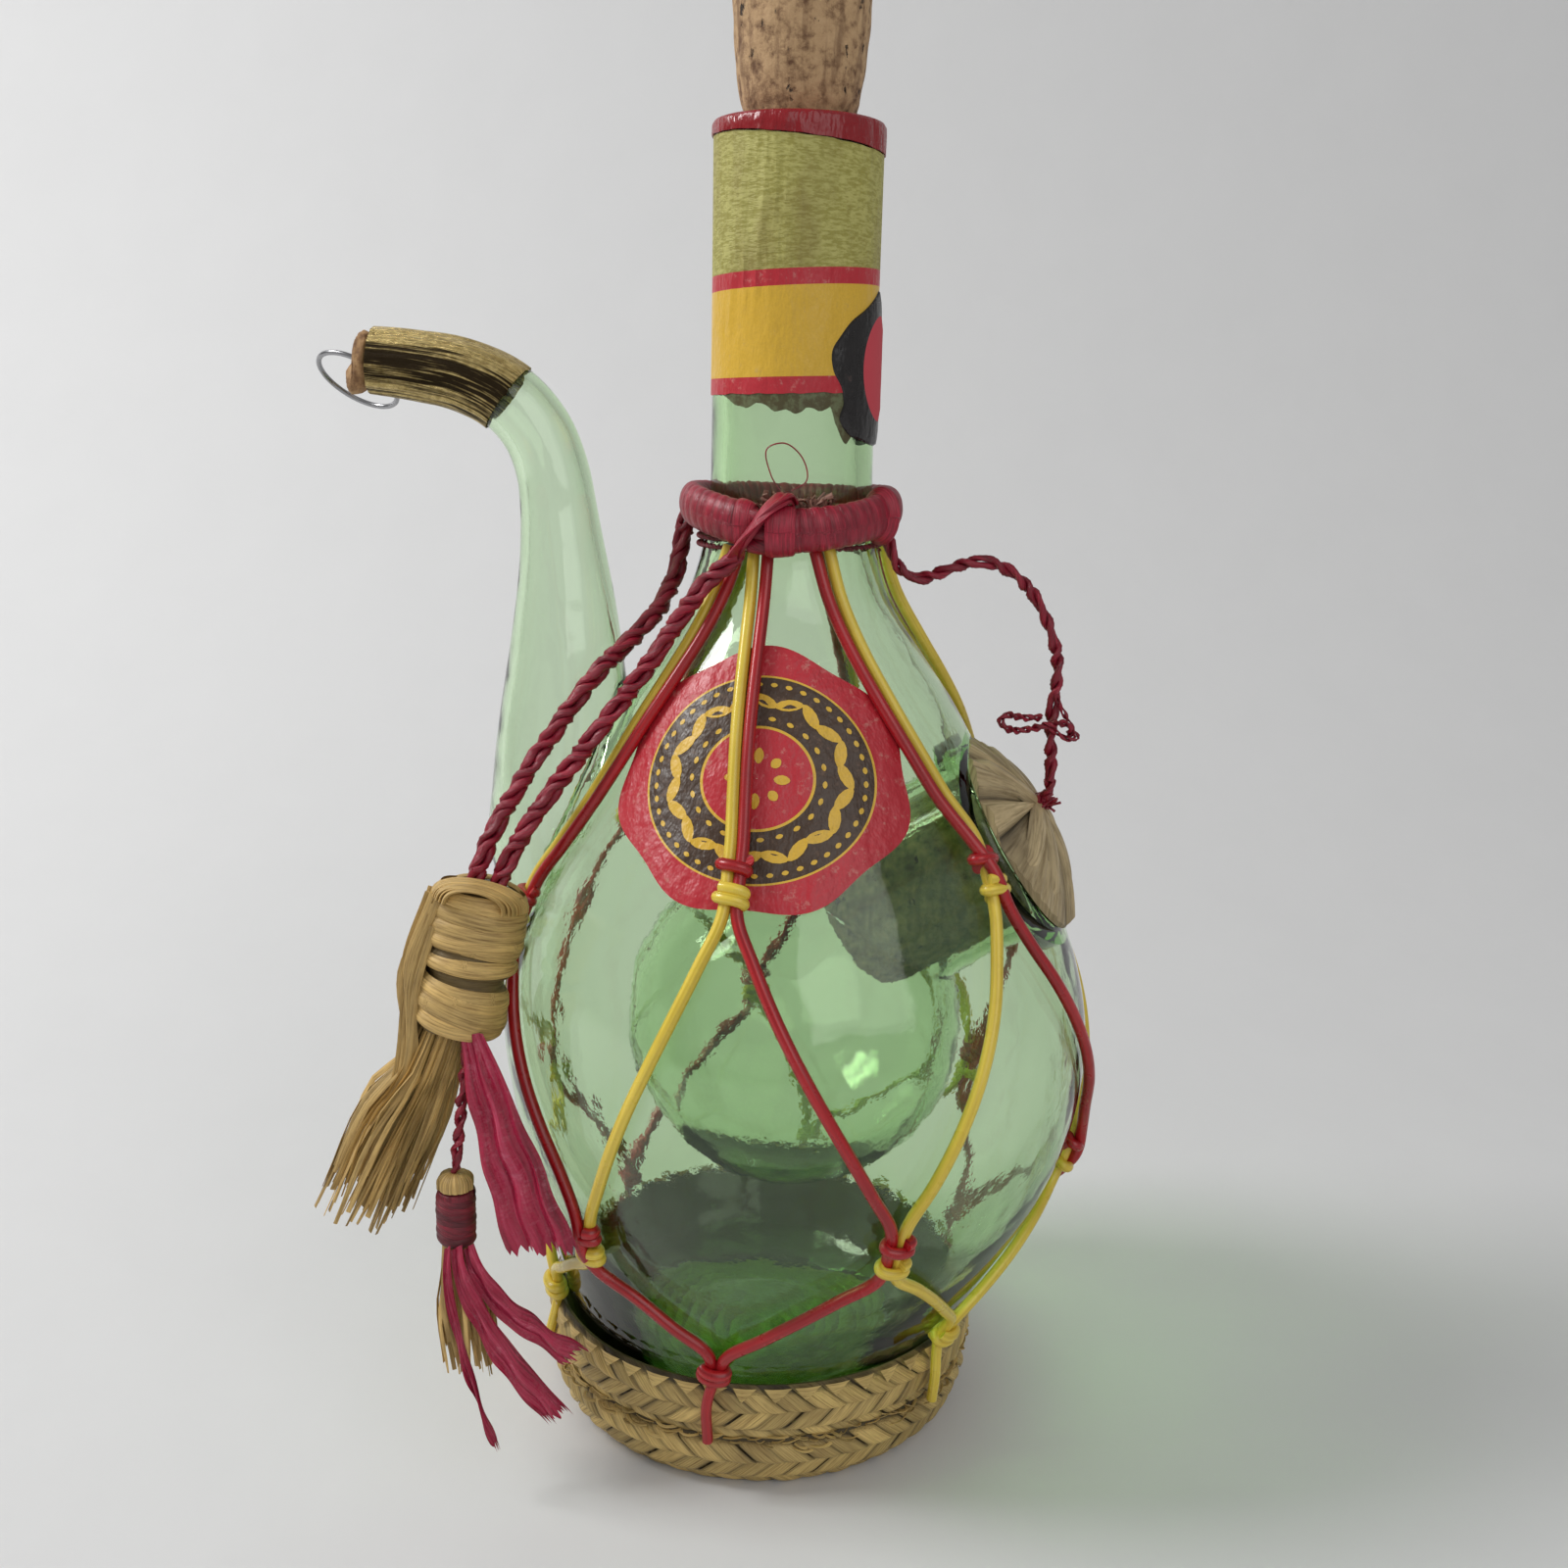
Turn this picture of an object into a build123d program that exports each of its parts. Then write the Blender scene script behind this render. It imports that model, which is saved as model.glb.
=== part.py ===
"""Green glass wine decanter bottle: pouring spout, ice pocket, cord net, straw tassels and base.

Millimetres, +Z up, +X to the viewer's right, -Y to the viewer. The origin is the centre of the
straw base, on the table. Azimuths are degrees about the glass axis, from -Y (front) towards +X.
"""
import math
import os

from build123d import *

# Glass body: outline, shift of its centre line and wall
FOOT_Z = 2.6
BODY_HEIGHT = 169.4
NECK_LENGTH = 68.3
NECK_RADIUS = 14.6
BELLY_RADIUS = 56.2
BELLY_SHIFT = 6.0
GLASS_WALL = 2.4
FLOOR_THICKNESS = 7.0
BORE_RADIUS = 9.6
BORE_LENGTH = 20.0
# Rows of height share of the body, radius share from neck to belly, share of the belly's shift
OUTLINE_SHARES = (
    (0.0, 0.274, 0.0), (0.02, 0.433, 0.0), (0.0555, 0.524, 0.02), (0.1145, 0.611, 0.14),
    (0.191, 0.740, 0.58), (0.280, 0.882, 0.92), (0.368, 0.976, 1.0), (0.457, 1.0, 0.92),
    (0.545, 0.933, 0.80), (0.634, 0.775, 0.68), (0.723, 0.577, 0.60), (0.811, 0.392, 0.53),
    (0.870, 0.241, 0.48), (0.929, 0.096, 0.44), (1.0, 0.017, 0.434), (1.083, 0.0, 0.434),
    (1.5, 0.0, 0.434),
)
# Rows of height share of the body and wall share of the plain wall
WALL_SHARES = (
    (0.0, 2.8), (0.06, 2.3), (0.12, 1.8), (0.2, 1.35), (0.3, 1.0), (0.9, 1.0), (1.0, 1.2), (1.5, 1.25),
)
FOOT_ROUND_SHARE = 0.02
STRAIGHT_NECK_SHARE = 1.083
STATION_STEP = 6.2
# Planes that part the one glass wall into nodes: a height share of the body, two shares of the
# spout's reach, and a depth below the mouth
NECK_PART_SHARE = 0.9055
SPOUT_PART_SHARE = 0.366
TIP_PART_SHARE = 0.72
POCKET_PART_DEPTH = 9.0
POCKET_PART_GAP = 0.3
FLOOR_ROUND_SHARES = ((0.0, 0.76), (0.12, 0.89), (0.4, 0.97), (1.0, 1.0))
BORE_ROUND_SHARES = ((1.0, 0.0), (0.62, 0.3), (0.28, 0.82), (0.0, 1.0))

# Pouring spout: rows of reach share, rise share, radius share from tip to root, lean from +Z
SPOUT_REACH = 75.2
SPOUT_FOOT_Z = 95.0
SPOUT_RISE = 104.7
SPOUT_TIP_RADIUS = 5.55
SPOUT_ROOT_RADIUS = 15.2
SPOUT_WALL = 1.7
SPOUT_SHARES = (
    (0.412, 0.0, 0.70, 52.0), (0.500, 0.075, 0.93, 30.0), (0.545, 0.162, 0.979, 10.0),
    (0.553, 0.264, 0.845, 1.0), (0.552, 0.354, 0.741, 0.0), (0.548, 0.444, 0.625, 0.0),
    (0.547, 0.532, 0.480, 0.0), (0.549, 0.619, 0.337, 1.5), (0.5545, 0.688, 0.228, 3.0),
    (0.5625, 0.7545, 0.150, 6.0), (0.576, 0.821, 0.109, 14.0), (0.612, 0.888, 0.093, 31.0),
    (0.677, 0.941, 0.083, 52.0), (0.770, 0.975, 0.062, 70.0), (0.886, 0.992, 0.031, 81.0),
    (1.0, 1.0, 0.0, 86.0),
)
FOIL_FIRST_ROW = 12
FOIL_THICKNESS = 0.3

# Ice pocket: its mouth, tube and bulb
MOUTH_X = 45.9
MOUTH_Y = -6.0
MOUTH_Z = 116.4
MOUTH_AZIMUTH = 78.0
MOUTH_RISE_ANGLE = 32.0
MOUTH_RADIUS = 20.0
MOUTH_RIM_DEPTH = 5.0
MOUTH_RIM_WIDTH = 1.8
POCKET_WALL = 2.0
POCKET_DEPTH = 44.0
BULB_X = 5.5
BULB_Z = 77.5
BULB_RADIUS = 32.5
# Rows of depth share, drop share of the mouth radius, radius share of the mouth radius, turn
POCKET_SHARES = (
    (0.0, 0.0, 1.0, 0.0), (0.14, 0.0, 0.94, 0.0), (0.34, 0.0, 0.90, 0.0), (0.6, 0.04, 0.95, 3.0),
    (0.8, 0.15, 1.06, 8.0), (1.0, 0.42, 1.08, 20.0),
)

# Ice pocket plug, its leaf cover and red tie
PLUG_RADIUS = 15.0
PLUG_LENGTH = 36.0
PLUG_EDGE = 1.5
COVER_RADIUS = 19.6
COVER_RISE = 6.6
COVER_EDGE = 1.2
COVER_SEAT_GAP = 0.35
TIE_RADIUS = 2.9
TIE_HEIGHT = 5.2
TIE_UP = 3.2
TIE_SINK = 0.25

# Neck cork, rim band, neck label and seal
CORK_LENGTH = 44.0
CORK_SEATED = 18.0
CORK_RADIUS = 12.0
CORK_SEATED_RADIUS = 9.4
CORK_EDGE = 0.8
CORK_SHARES = ((0.03, 0.06), (0.12, 0.35), (0.3, 0.66), (0.55, 0.88), (0.8, 1.0), (1.0, 0.99))
RIM_BAND_HEIGHT = 3.2
RIM_BAND_THICKNESS = 0.5
RIM_BAND_OPENING = 10.4
PAPER_THICKNESS = 0.2
PAPER_GAP = 0.05
NECK_LABEL_TOP_GAP = 0.2
NECK_LABEL_HEIGHT = 41.4
SEAL_AZIMUTH = 78.0
SEAL_HALF_WIDTH = 13.8
SEAL_HEIGHT = 26.5
SEAL_DROP = 27.0
# Half outline of the seal: shares of its half width and of its height, from top to bottom
SEAL_SHARES = (
    (0.0, 1.0), (0.44, 0.87), (0.73, 0.78), (0.87, 0.70), (1.0, 0.60), (0.98, 0.48), (0.84, 0.36),
    (0.80, 0.27), (0.86, 0.18), (0.72, 0.08), (0.42, 0.03), (0.0, 0.0),
)

# Round front label
FRONT_LABEL_AZIMUTH = -9.0
FRONT_LABEL_Z = 132.6
FRONT_LABEL_HALF_WIDTH = 25.0
FRONT_LABEL_HALF_HEIGHT = 23.2
FRONT_LABEL_SLOPE = 28.5
FRONT_LABEL_LOBES = 7
FRONT_LABEL_LOBE_SHARE = 0.035

# Collar hoop and the cord binding under it
HOOP_RADIUS = 18.0
HOOP_Z = 175.6
HOOP_HALF_WIDTH = 2.6
HOOP_HALF_HEIGHT = 3.9
# Rows of azimuth, radius share of the hoop, height over the hoop's level as share of its half height
HOOP_SHARES = (
    (-8.0, 1.18, -0.55), (18.0, 1.12, -0.48), (45.0, 1.05, -0.26), (68.0, 1.0, -0.12),
    (90.0, 0.985, 0.0), (113.0, 0.98, 0.15), (135.0, 0.98, 0.32), (158.0, 0.985, 0.45),
    (180.0, 0.99, 0.5), (203.0, 0.985, 0.45), (225.0, 0.98, 0.35), (248.0, 0.98, 0.22),
    (270.0, 0.985, 0.1), (293.0, 1.02, -0.1), (315.0, 1.07, -0.3), (332.0, 1.1, -0.48),
    (344.0, 1.11, -0.56),
)
BINDING_DIAMETER = 1.0
BINDING_PITCH = 1.42
BINDING_TURNS = 2
BINDING_QUARTERS = 4
BINDING_Z = 168.1
BINDING_GAP = 0.15

# Net of plastic cord
NET_CORD_DIAMETER = 2.2
NET_GAP = 0.7
NET_SIDE = 1.62
NET_BEAD_RADIUS = 1.72
NET_BEAD_GAP = 0.5
NET_TOP_Z = 166.7
NET_TOP_SIDE = 1.3
NET_TOP_GAP = 0.2
NET_KISS_REACH = 1.6
NET_CROSS_REACH = 7.2
NET_CROSS_HALF = 2.0
NET_CROSS_SHARE = 0.3
NET_CROSS_RISE = 2.7
NET_RUN = 9.5
NET_LEAST_TURN = 1.2
NET_TOP_AZIMUTHS = (-17.0, 19.0, 96.0, 150.0, 214.0, 326.0)
NET_UPPER_KNOTS = ((-12.0, 117.5), (48.0, 116.0), (114.0, 110.0), (162.0, 112.0), (228.0, 112.0), (290.0, 104.0))
NET_MIDDLE_KNOTS = ((18.0, 55.0), (82.0, 53.0), (131.0, 52.0), (190.0, 62.0), (252.0, 58.0), (318.0, 49.0))
NET_LOWER_KNOTS = ((-12.0, 26.4), (49.0, 26.4), (108.0, 26.4), (168.0, 26.4), (229.0, 26.4), (290.0, 26.4))
NET_SWAPPED_COLUMN = 1
NET_DETOUR_COLUMN = 2
NET_DETOUR = ((99.0, 152.0), (106.0, 138.0), (114.0, 125.5))
NET_TAIL_HEIGHTS = (21.0, 16.5, 12.6)
NET_TAIL_GAP = 0.35
NET_SECOND_END = 1.9

# Straw base: outer radii by height, sole
BASE_LOWER_ROWS = ((0.0, 36.8), (0.9, 38.8), (3.2, 40.9), (7.0, 42.4), (10.2, 42.6), (11.2, 41.8))
BASE_UPPER_ROWS = ((11.5, 41.8), (12.6, 42.8), (17.0, 43.1), (21.0, 43.0), (22.4, 42.5))
BASE_GLASS_GAP = 0.25
SOLE_RADIUS = 30.2
SOLE_THICKNESS = 2.35
SOLE_GAP = 0.3

# Spout cork and its wire pull ring
STOPPER_SEATED = 7.0
STOPPER_SEATED_RADIUS = 3.75
STOPPER_END_RADIUS = 3.45
STOPPER_HEAD_RADIUS = 5.0
STOPPER_HEAD_LENGTH = 2.4
STOPPER_HEAD_GAP = 0.4
STOPPER_BUMP_RADIUS = 2.5
STOPPER_BUMP_DROP = 2.7
RING_WIRE = 1.0
RING_WIRE_GAP = 0.15
RING_RADIUS = 7.6
RING_LEG_DEPTH = 4.0
RING_LEG_REACH = 3.0
RING_SWEEP = -284.0
RING_ACROSS = (0.21, -0.855, 0.474)
RING_ALONG = (0.926, 0.0, -0.378)

# Free cords: hand-laid routes
TETHER_DIAMETER = 2.6
TETHER_ROUTE = (
    (20.2, -6.0, 170.6), (21.0, -6.2, 167.4), (23.1, -6.5, 164.6), (26.3, -7.0, 163.5),
    (30.6, -7.2, 165.4), (36.6, -7.4, 167.6), (42.3, -7.6, 165.8), (46.8, -7.8, 161.4),
    (50.0, -8.0, 155.3), (51.9, -8.0, 148.8), (51.3, -8.0, 142.4), (50.9, -8.0, 136.4),
    (51.6, -8.0, 131.0), (51.4, -8.1, 127.4),
)
BOW_DIAMETER = 1.6
BOW_ROUTE = (
    (49.2, -8.4, 139.2), (46.0, -8.8, 138.9), (42.4, -8.8, 139.9), (41.4, -9.0, 138.0),
    (43.8, -9.2, 136.6), (47.2, -9.4, 137.2), (50.4, -10.6, 138.4), (53.4, -10.2, 138.6),
    (55.0, -9.4, 137.2), (54.0, -8.6, 135.6),
)
TASSEL_CORD_DIAMETER = 3.7
FRONT_CORD_ROUTE = (
    (-6.4, -19.3, 168.5), (-8.9, -18.5, 166.2), (-12.1, -17.4, 162.9), (-16.3, -17.0, 157.0),
    (-20.5, -18.2, 150.7), (-24.7, -19.3, 144.6), (-29.0, -20.6, 138.9), (-33.4, -22.0, 133.2),
    (-37.7, -23.2, 127.6), (-41.6, -24.6, 121.8), (-44.9, -26.3, 116.2), (-46.6, -27.4, 112.3),
)
REAR_CORD_ROUTE = (
    (-17.0, 4.2, 171.6), (-17.5, 3.4, 167.4), (-18.7, 0.9, 161.6), (-21.5, -3.9, 155.9),
    (-26.2, -8.9, 151.2), (-31.0, -12.6, 146.8), (-35.3, -15.6, 141.3), (-39.4, -18.0, 135.0),
    (-43.2, -20.0, 129.0), (-46.6, -22.4, 123.2), (-49.3, -25.2, 117.8), (-50.7, -27.4, 112.8),
)
SMALL_CORD_DIAMETER = 2.4
SMALL_CORD_ROUTE = (
    (-51.4, -34.5, 84.7), (-51.9, -35.2, 80.2), (-52.5, -36.0, 75.0), (-52.9, -36.7, 69.6),
    (-53.5, -37.0, 64.8), (-53.8, -37.1, 61.1),
)
FILLET_SHARE = 0.45

# Big straw tassel
HEAD_TOP = (-49.2, -29.7, 111.0)
HEAD_BOTTOM = (-54.2, -31.7, 85.6)
HEAD_HALF_WIDTH = 8.6
HEAD_HALF_DEPTH = 7.3
HEAD_SHARES = (
    (0.0, 0.5), (0.03, 0.72), (0.1, 0.92), (0.25, 1.0), (0.45, 0.98), (0.58, 0.86), (0.66, 0.84),
    (0.76, 0.95), (0.9, 0.92), (1.0, 0.84),
)
STRAND_SPACING = 0.72
STRAND_WIDTH = 0.48
STRAND_RAGGED_SHARES = (1.0, 0.9, 0.97, 0.84, 0.93, 1.02, 0.88, 0.99, 0.8, 0.95)
SKIRT_TOP = (-56.4, -30.6, 85.6)
SKIRT_BOTTOM = (-72.6, -30.4, 50.5)
SKIRT_RADIUS = 4.7
SKIRT_FLARE = 2.0
SLICE_THICKNESS = 2.0
SLICE_EDGE = 0.5
SEAT_GAP = 0.2
RIBBON_THICKNESS = 0.5
# Rows of ribbon centre, half width and fold depth
RIBBON_ROWS = (
    ((-49.8, -37.4, 84.8), 2.9, 0.8), ((-47.0, -39.4, 76.0), 4.4, 1.5),
    ((-42.6, -41.0, 63.6), 5.6, 1.4), ((-37.8, -42.6, 49.4), 6.3, 1.8),
)
RIBBON_LEAN = (0.93, -0.28, 0.22)

# Small tassel: straw top, wound binding, strands and streamers
SMALL_CENTRE_X = -53.9
SMALL_CENTRE_Y = -37.1
SMALL_TOP_Z = 60.9
SMALL_TOP_HEIGHT = 3.0
SMALL_TOP_RADIUS = 3.3
SMALL_BINDING_HEIGHT = 10.0
SMALL_BINDING_RADIUS = 3.7
SMALL_EDGE = 0.7
SMALL_STRAW_BOTTOM = (-51.4, -37.3, 22.0)
SMALL_STRAW_RADIUS = 3.1
SMALL_STRAW_FLARE = 2.3
STREAMER_THICKNESS = 0.5
# Rows of streamer centre, half width and fold depth
STREAMER_ROWS = (
    (((-50.2, -41.6, 46.6), 1.4, 0.4), ((-44.6, -42.0, 37.6), 2.2, 0.7), ((-32.6, -41.6, 28.4), 3.0, 0.9)),
    (((-52.6, -42.2, 46.0), 1.3, 0.4), ((-47.4, -42.8, 33.6), 2.1, 0.7), ((-35.6, -42.6, 16.8), 3.0, 0.9)),
    (((-54.6, -42.4, 45.8), 0.9, 0.3), ((-52.0, -43.4, 30.0), 0.9, 0.3), ((-46.6, -43.0, 9.6), 0.7, 0.3)),
)
STREAMER_LEAN = (0.8, -0.1, 0.6)

NECK_ROOT_Z = FOOT_Z + BODY_HEIGHT
LIP_Z = NECK_ROOT_Z + NECK_LENGTH
FLOOR_Z = FOOT_Z + FLOOR_THICKNESS
NECK_X = BELLY_SHIFT * OUTLINE_SHARES[-1][2]
OVERRUN = 1.0


def smooth_value(rows, place, column):
    """Read one column of a table at a place in its first column, on a smooth curve."""
    last = len(rows) - 1
    index = 0
    while index < last - 1 and place > rows[index + 1][0]:
        index += 1

    def slope(k):
        low, high = max(k - 1, 0), min(k + 1, last)
        return (rows[high][column] - rows[low][column]) / (rows[high][0] - rows[low][0])

    start, end = rows[index], rows[index + 1]
    span = end[0] - start[0]
    t = (place - start[0]) / span
    return ((2 * t ** 3 - 3 * t ** 2 + 1) * start[column] + (t ** 3 - 2 * t ** 2 + t) * span * slope(index)
            + (3 * t ** 2 - 2 * t ** 3) * end[column] + (t ** 3 - t ** 2) * span * slope(index + 1))


def height_share(z):
    return (z - FOOT_Z) / BODY_HEIGHT


def glass_radius(z):
    share = smooth_value(OUTLINE_SHARES, height_share(z), 1)
    return NECK_RADIUS + (BELLY_RADIUS - NECK_RADIUS) * share


def glass_shift(z):
    return BELLY_SHIFT * smooth_value(OUTLINE_SHARES, height_share(z), 2)


def cavity_radius(z):
    return glass_radius(z) - GLASS_WALL * smooth_value(WALL_SHARES, height_share(z), 1)


def round_loft(rows, ruled=False):
    """Loft level circles given as rows of height, radius and centre X."""
    return loft([Pos(x, 0, z) * Circle(radius) for z, radius, x in rows], ruled=ruled)


def even_heights(low, high):
    """Split a height range into steps no longer than the station step."""
    count = max(1, math.ceil((high - low) / STATION_STEP))
    return [low + (high - low) * k / count for k in range(count + 1)]


def glass_skin(low, high, lift):
    """Solid inside the glass outline raised by a lift, between two heights."""
    foot_round = FOOT_Z + BODY_HEIGHT * FOOT_ROUND_SHARE
    straight = FOOT_Z + BODY_HEIGHT * STRAIGHT_NECK_SHARE

    def part(start, end, ruled=False):
        heights = [start, end] if ruled else even_heights(start, end)
        return round_loft([(z, glass_radius(z) + lift, glass_shift(z)) for z in heights], ruled)

    parts = []
    if low < foot_round:
        parts.append(part(low, foot_round, True))
    if low < straight and high > foot_round:
        parts.append(part(max(low, foot_round), min(high, straight)))
    if high > straight:
        neck_foot = max(low, straight)
        neck = Cylinder(NECK_RADIUS + lift, high - neck_foot)
        parts.append(Pos(NECK_X, 0, (high + neck_foot) / 2) * neck)
    return parts[0] if len(parts) == 1 else parts[0].fuse(*parts[1:])


def surface_point(azimuth, z, lift, side=0.0):
    """Point over the glass at an azimuth and height, with a sideways step along the surface."""
    angle = math.radians(azimuth)
    radius = glass_radius(z) + lift
    return Vector(
        glass_shift(z) + radius * math.sin(angle) + side * math.cos(angle),
        -radius * math.cos(angle) + side * math.sin(angle),
        z,
    )


def direction(azimuth, rise):
    angle, up = math.radians(azimuth), math.radians(rise)
    return Vector(math.cos(up) * math.sin(angle), -math.cos(up) * math.cos(angle), math.sin(up))


def bend_radii(points):
    """Largest arc that each corner of a route allows."""
    radii = []
    for before, corner, after in zip(points, points[1:], points[2:]):
        turn = (corner - before).get_angle(after - corner)
        shorter = min((corner - before).length, (after - corner).length)
        radii.append(FILLET_SHARE * shorter / math.tan(math.radians(turn) / 2))
    return radii


def tube(points, diameter, name=""):
    """Round cord along straight runs joined by tangent arcs."""
    route = [Vector(*point) for point in points]
    radii = bend_radii(route)
    path = FilletPolyline(*route, radius=radii)
    section = Plane(origin=path @ 0, z_dir=path % 0) * Circle(diameter / 2)
    solid = sweep(section, path=path)
    if name:
        print(name, "length", round(path.length, 1), "least radius", round(min(radii), 1),
              "volume share", round(solid.volume / (path.length * math.pi * diameter ** 2 / 4), 4))
    return solid


def drop_straight_points(points):
    """Leave out interior points where the route hardly turns."""
    kept = [points[0]]
    for here, after in zip(points[1:], points[2:]):
        if (here - kept[-1]).get_angle(after - here) > NET_LEAST_TURN:
            kept.append(here)
    return kept + [points[-1]]


# Spout and pocket frames
def spout_plane(row):
    reach, rise, _, lean = row
    angle = math.radians(lean)
    centre = (NECK_X - SPOUT_REACH * reach, 0, SPOUT_FOOT_Z + SPOUT_RISE * rise)
    return Plane(origin=centre, x_dir=(0, 1, 0), z_dir=(-math.sin(angle), 0, math.cos(angle)))


def spout_radius(row):
    return SPOUT_TIP_RADIUS + (SPOUT_ROOT_RADIUS - SPOUT_TIP_RADIUS) * row[2]


def spout_loft(lift):
    return loft([spout_plane(row) * Circle(spout_radius(row) + lift) for row in SPOUT_SHARES])


MOUTH_NORMAL = direction(MOUTH_AZIMUTH, MOUTH_RISE_ANGLE)
MOUTH_PLANE = Plane(
    origin=(MOUTH_X, MOUTH_Y, MOUTH_Z),
    x_dir=(math.cos(math.radians(MOUTH_AZIMUTH)), math.sin(math.radians(MOUTH_AZIMUTH)), 0),
    z_dir=MOUTH_NORMAL,
)
TIP_PLANE = spout_plane(SPOUT_SHARES[-1])


def pocket_section(row, inset):
    depth, drop, radius, turn = row
    angle = math.radians(turn)
    local = Plane(
        origin=(0, -MOUTH_RADIUS * drop, -POCKET_DEPTH * depth), x_dir=(1, 0, 0),
        z_dir=(0, -math.sin(angle), -math.cos(angle)),
    )
    return MOUTH_PLANE.location * local.location * Circle(MOUTH_RADIUS * radius - inset)


def pocket_solid(inset):
    """Tube and bulb of the ice pocket, drawn in by a wall."""
    tube_part = loft([pocket_section(row, inset) for row in POCKET_SHARES])
    return tube_part + Pos(BULB_X, 0, BULB_Z) * Sphere(BULB_RADIUS - inset)


def along_mouth(start, end, solid_radius, end_radius=None):
    """Round solid on the mouth axis between two levels along its normal."""
    top = solid_radius if end_radius is None else end_radius
    return loft([
        MOUTH_PLANE.offset(start) * Circle(solid_radius),
        MOUTH_PLANE.offset(end) * Circle(top),
    ])


# Glass bottle
def glass_cavity():
    """Wine space of belly and neck, with its rounded floor and its narrow bore."""
    low, bore_foot = FLOOR_Z + FLOOR_THICKNESS, LIP_Z - BORE_LENGTH
    high = bore_foot - BORE_RADIUS
    floor = round_loft([
        (FLOOR_Z + FLOOR_THICKNESS * step, cavity_radius(FLOOR_Z + FLOOR_THICKNESS * step) * share,
         glass_shift(FLOOR_Z + FLOOR_THICKNESS * step)) for step, share in FLOOR_ROUND_SHARES
    ], ruled=True)
    middle = round_loft([(z, cavity_radius(z), glass_shift(z)) for z in even_heights(low, high)])
    shoulder = round_loft([
        (bore_foot - BORE_RADIUS * step, cavity_radius(high) + (BORE_RADIUS - cavity_radius(high)) * share, NECK_X)
        for step, share in BORE_ROUND_SHARES
    ], ruled=True)
    bore = Pos(NECK_X, 0, bore_foot + (BORE_LENGTH + OVERRUN) / 2) * Cylinder(BORE_RADIUS, BORE_LENGTH + OVERRUN)
    return floor.fuse(middle, shoulder, bore)


def whole_glass():
    collar = along_mouth(-MOUTH_RIM_DEPTH, MOUTH_RIM_DEPTH, MOUTH_RADIUS + MOUTH_RIM_WIDTH)
    rim = along_mouth(-MOUTH_RIM_DEPTH, 0, MOUTH_RADIUS)
    outside = glass_skin(FOOT_Z, LIP_Z, 0) + spout_loft(0) + rim
    wine_space = glass_cavity() + spout_loft(-SPOUT_WALL) - pocket_solid(0) - collar
    over_mouth = along_mouth(0, MOUTH_RIM_DEPTH * 2, MOUTH_RADIUS, MOUTH_RADIUS + MOUTH_RIM_WIDTH)
    return outside - wine_space - pocket_solid(POCKET_WALL) - over_mouth


def glass_parts():
    """The one glass wall, parted where its form changes into belly, pocket, neck, spout and tip."""
    glass = whole_glass()
    deep = split(pocket_solid(-POCKET_PART_GAP), bisect_by=MOUTH_PLANE.offset(-POCKET_PART_DEPTH),
                 keep=Keep.BOTTOM)
    shell = glass - deep
    level = Plane.XY.offset(FOOT_Z + BODY_HEIGHT * NECK_PART_SHARE)
    beside = Plane.YZ.offset(NECK_X - SPOUT_REACH * SPOUT_PART_SHARE)
    before_tip = Plane.YZ.offset(NECK_X - SPOUT_REACH * TIP_PART_SHARE)
    high = split(shell, bisect_by=level, keep=Keep.TOP)
    spout = split(high, bisect_by=beside, keep=Keep.BOTTOM)
    return {
        "glass_belly": split(shell, bisect_by=level, keep=Keep.BOTTOM),
        "glass_pocket": glass & deep,
        "glass_neck": split(high, bisect_by=beside, keep=Keep.TOP),
        "glass_spout": split(spout, bisect_by=before_tip, keep=Keep.TOP),
        "glass_spout_tip": split(spout, bisect_by=before_tip, keep=Keep.BOTTOM),
    }


# Neck pieces
def neck_cork():
    foot = LIP_Z - CORK_SEATED
    flare_foot = LIP_Z + RIM_BAND_THICKNESS
    flare = CORK_LENGTH - CORK_SEATED - RIM_BAND_THICKNESS
    rows = [(foot, CORK_SEATED_RADIUS - CORK_EDGE), (foot + CORK_EDGE, CORK_SEATED_RADIUS)]
    rows += [(flare_foot, CORK_SEATED_RADIUS)]
    profile = [(0, foot)] + [(radius, z) for z, radius in rows]
    curve = [
        (CORK_SEATED_RADIUS + (CORK_RADIUS - CORK_SEATED_RADIUS) * share, flare_foot + flare * step)
        for step, share in CORK_SHARES
    ]
    profile += curve
    profile += [(0, flare_foot + flare)]
    return Pos(NECK_X, 0, 0) * revolve(Plane.XZ * make_face(Polyline(*profile, close=True)), Axis.Z)


def rim_band():
    outer = glass_radius(LIP_Z) + RIM_BAND_THICKNESS
    inner = glass_radius(LIP_Z) + PAPER_GAP
    top = LIP_Z + RIM_BAND_THICKNESS
    profile = Polyline(
        (inner, LIP_Z - RIM_BAND_HEIGHT), (outer, LIP_Z - RIM_BAND_HEIGHT), (outer, LIP_Z - RIM_BAND_THICKNESS),
        (inner, top), (RIM_BAND_OPENING, top), (RIM_BAND_OPENING, LIP_Z + PAPER_GAP),
        (inner, LIP_Z + PAPER_GAP), close=True,
    )
    return Pos(NECK_X, 0, 0) * revolve(Plane.XZ * make_face(profile), Axis.Z)


def paper_shell(low, high, lift):
    """Closed sleeve of paper over the glass, lifted by a gap."""
    return glass_skin(low, high, lift + PAPER_THICKNESS) - glass_skin(low - OVERRUN, high + OVERRUN, lift)


NECK_LABEL_TOP = LIP_Z - RIM_BAND_HEIGHT - NECK_LABEL_TOP_GAP


def neck_label():
    return paper_shell(NECK_LABEL_TOP - NECK_LABEL_HEIGHT, NECK_LABEL_TOP, PAPER_GAP)


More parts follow.
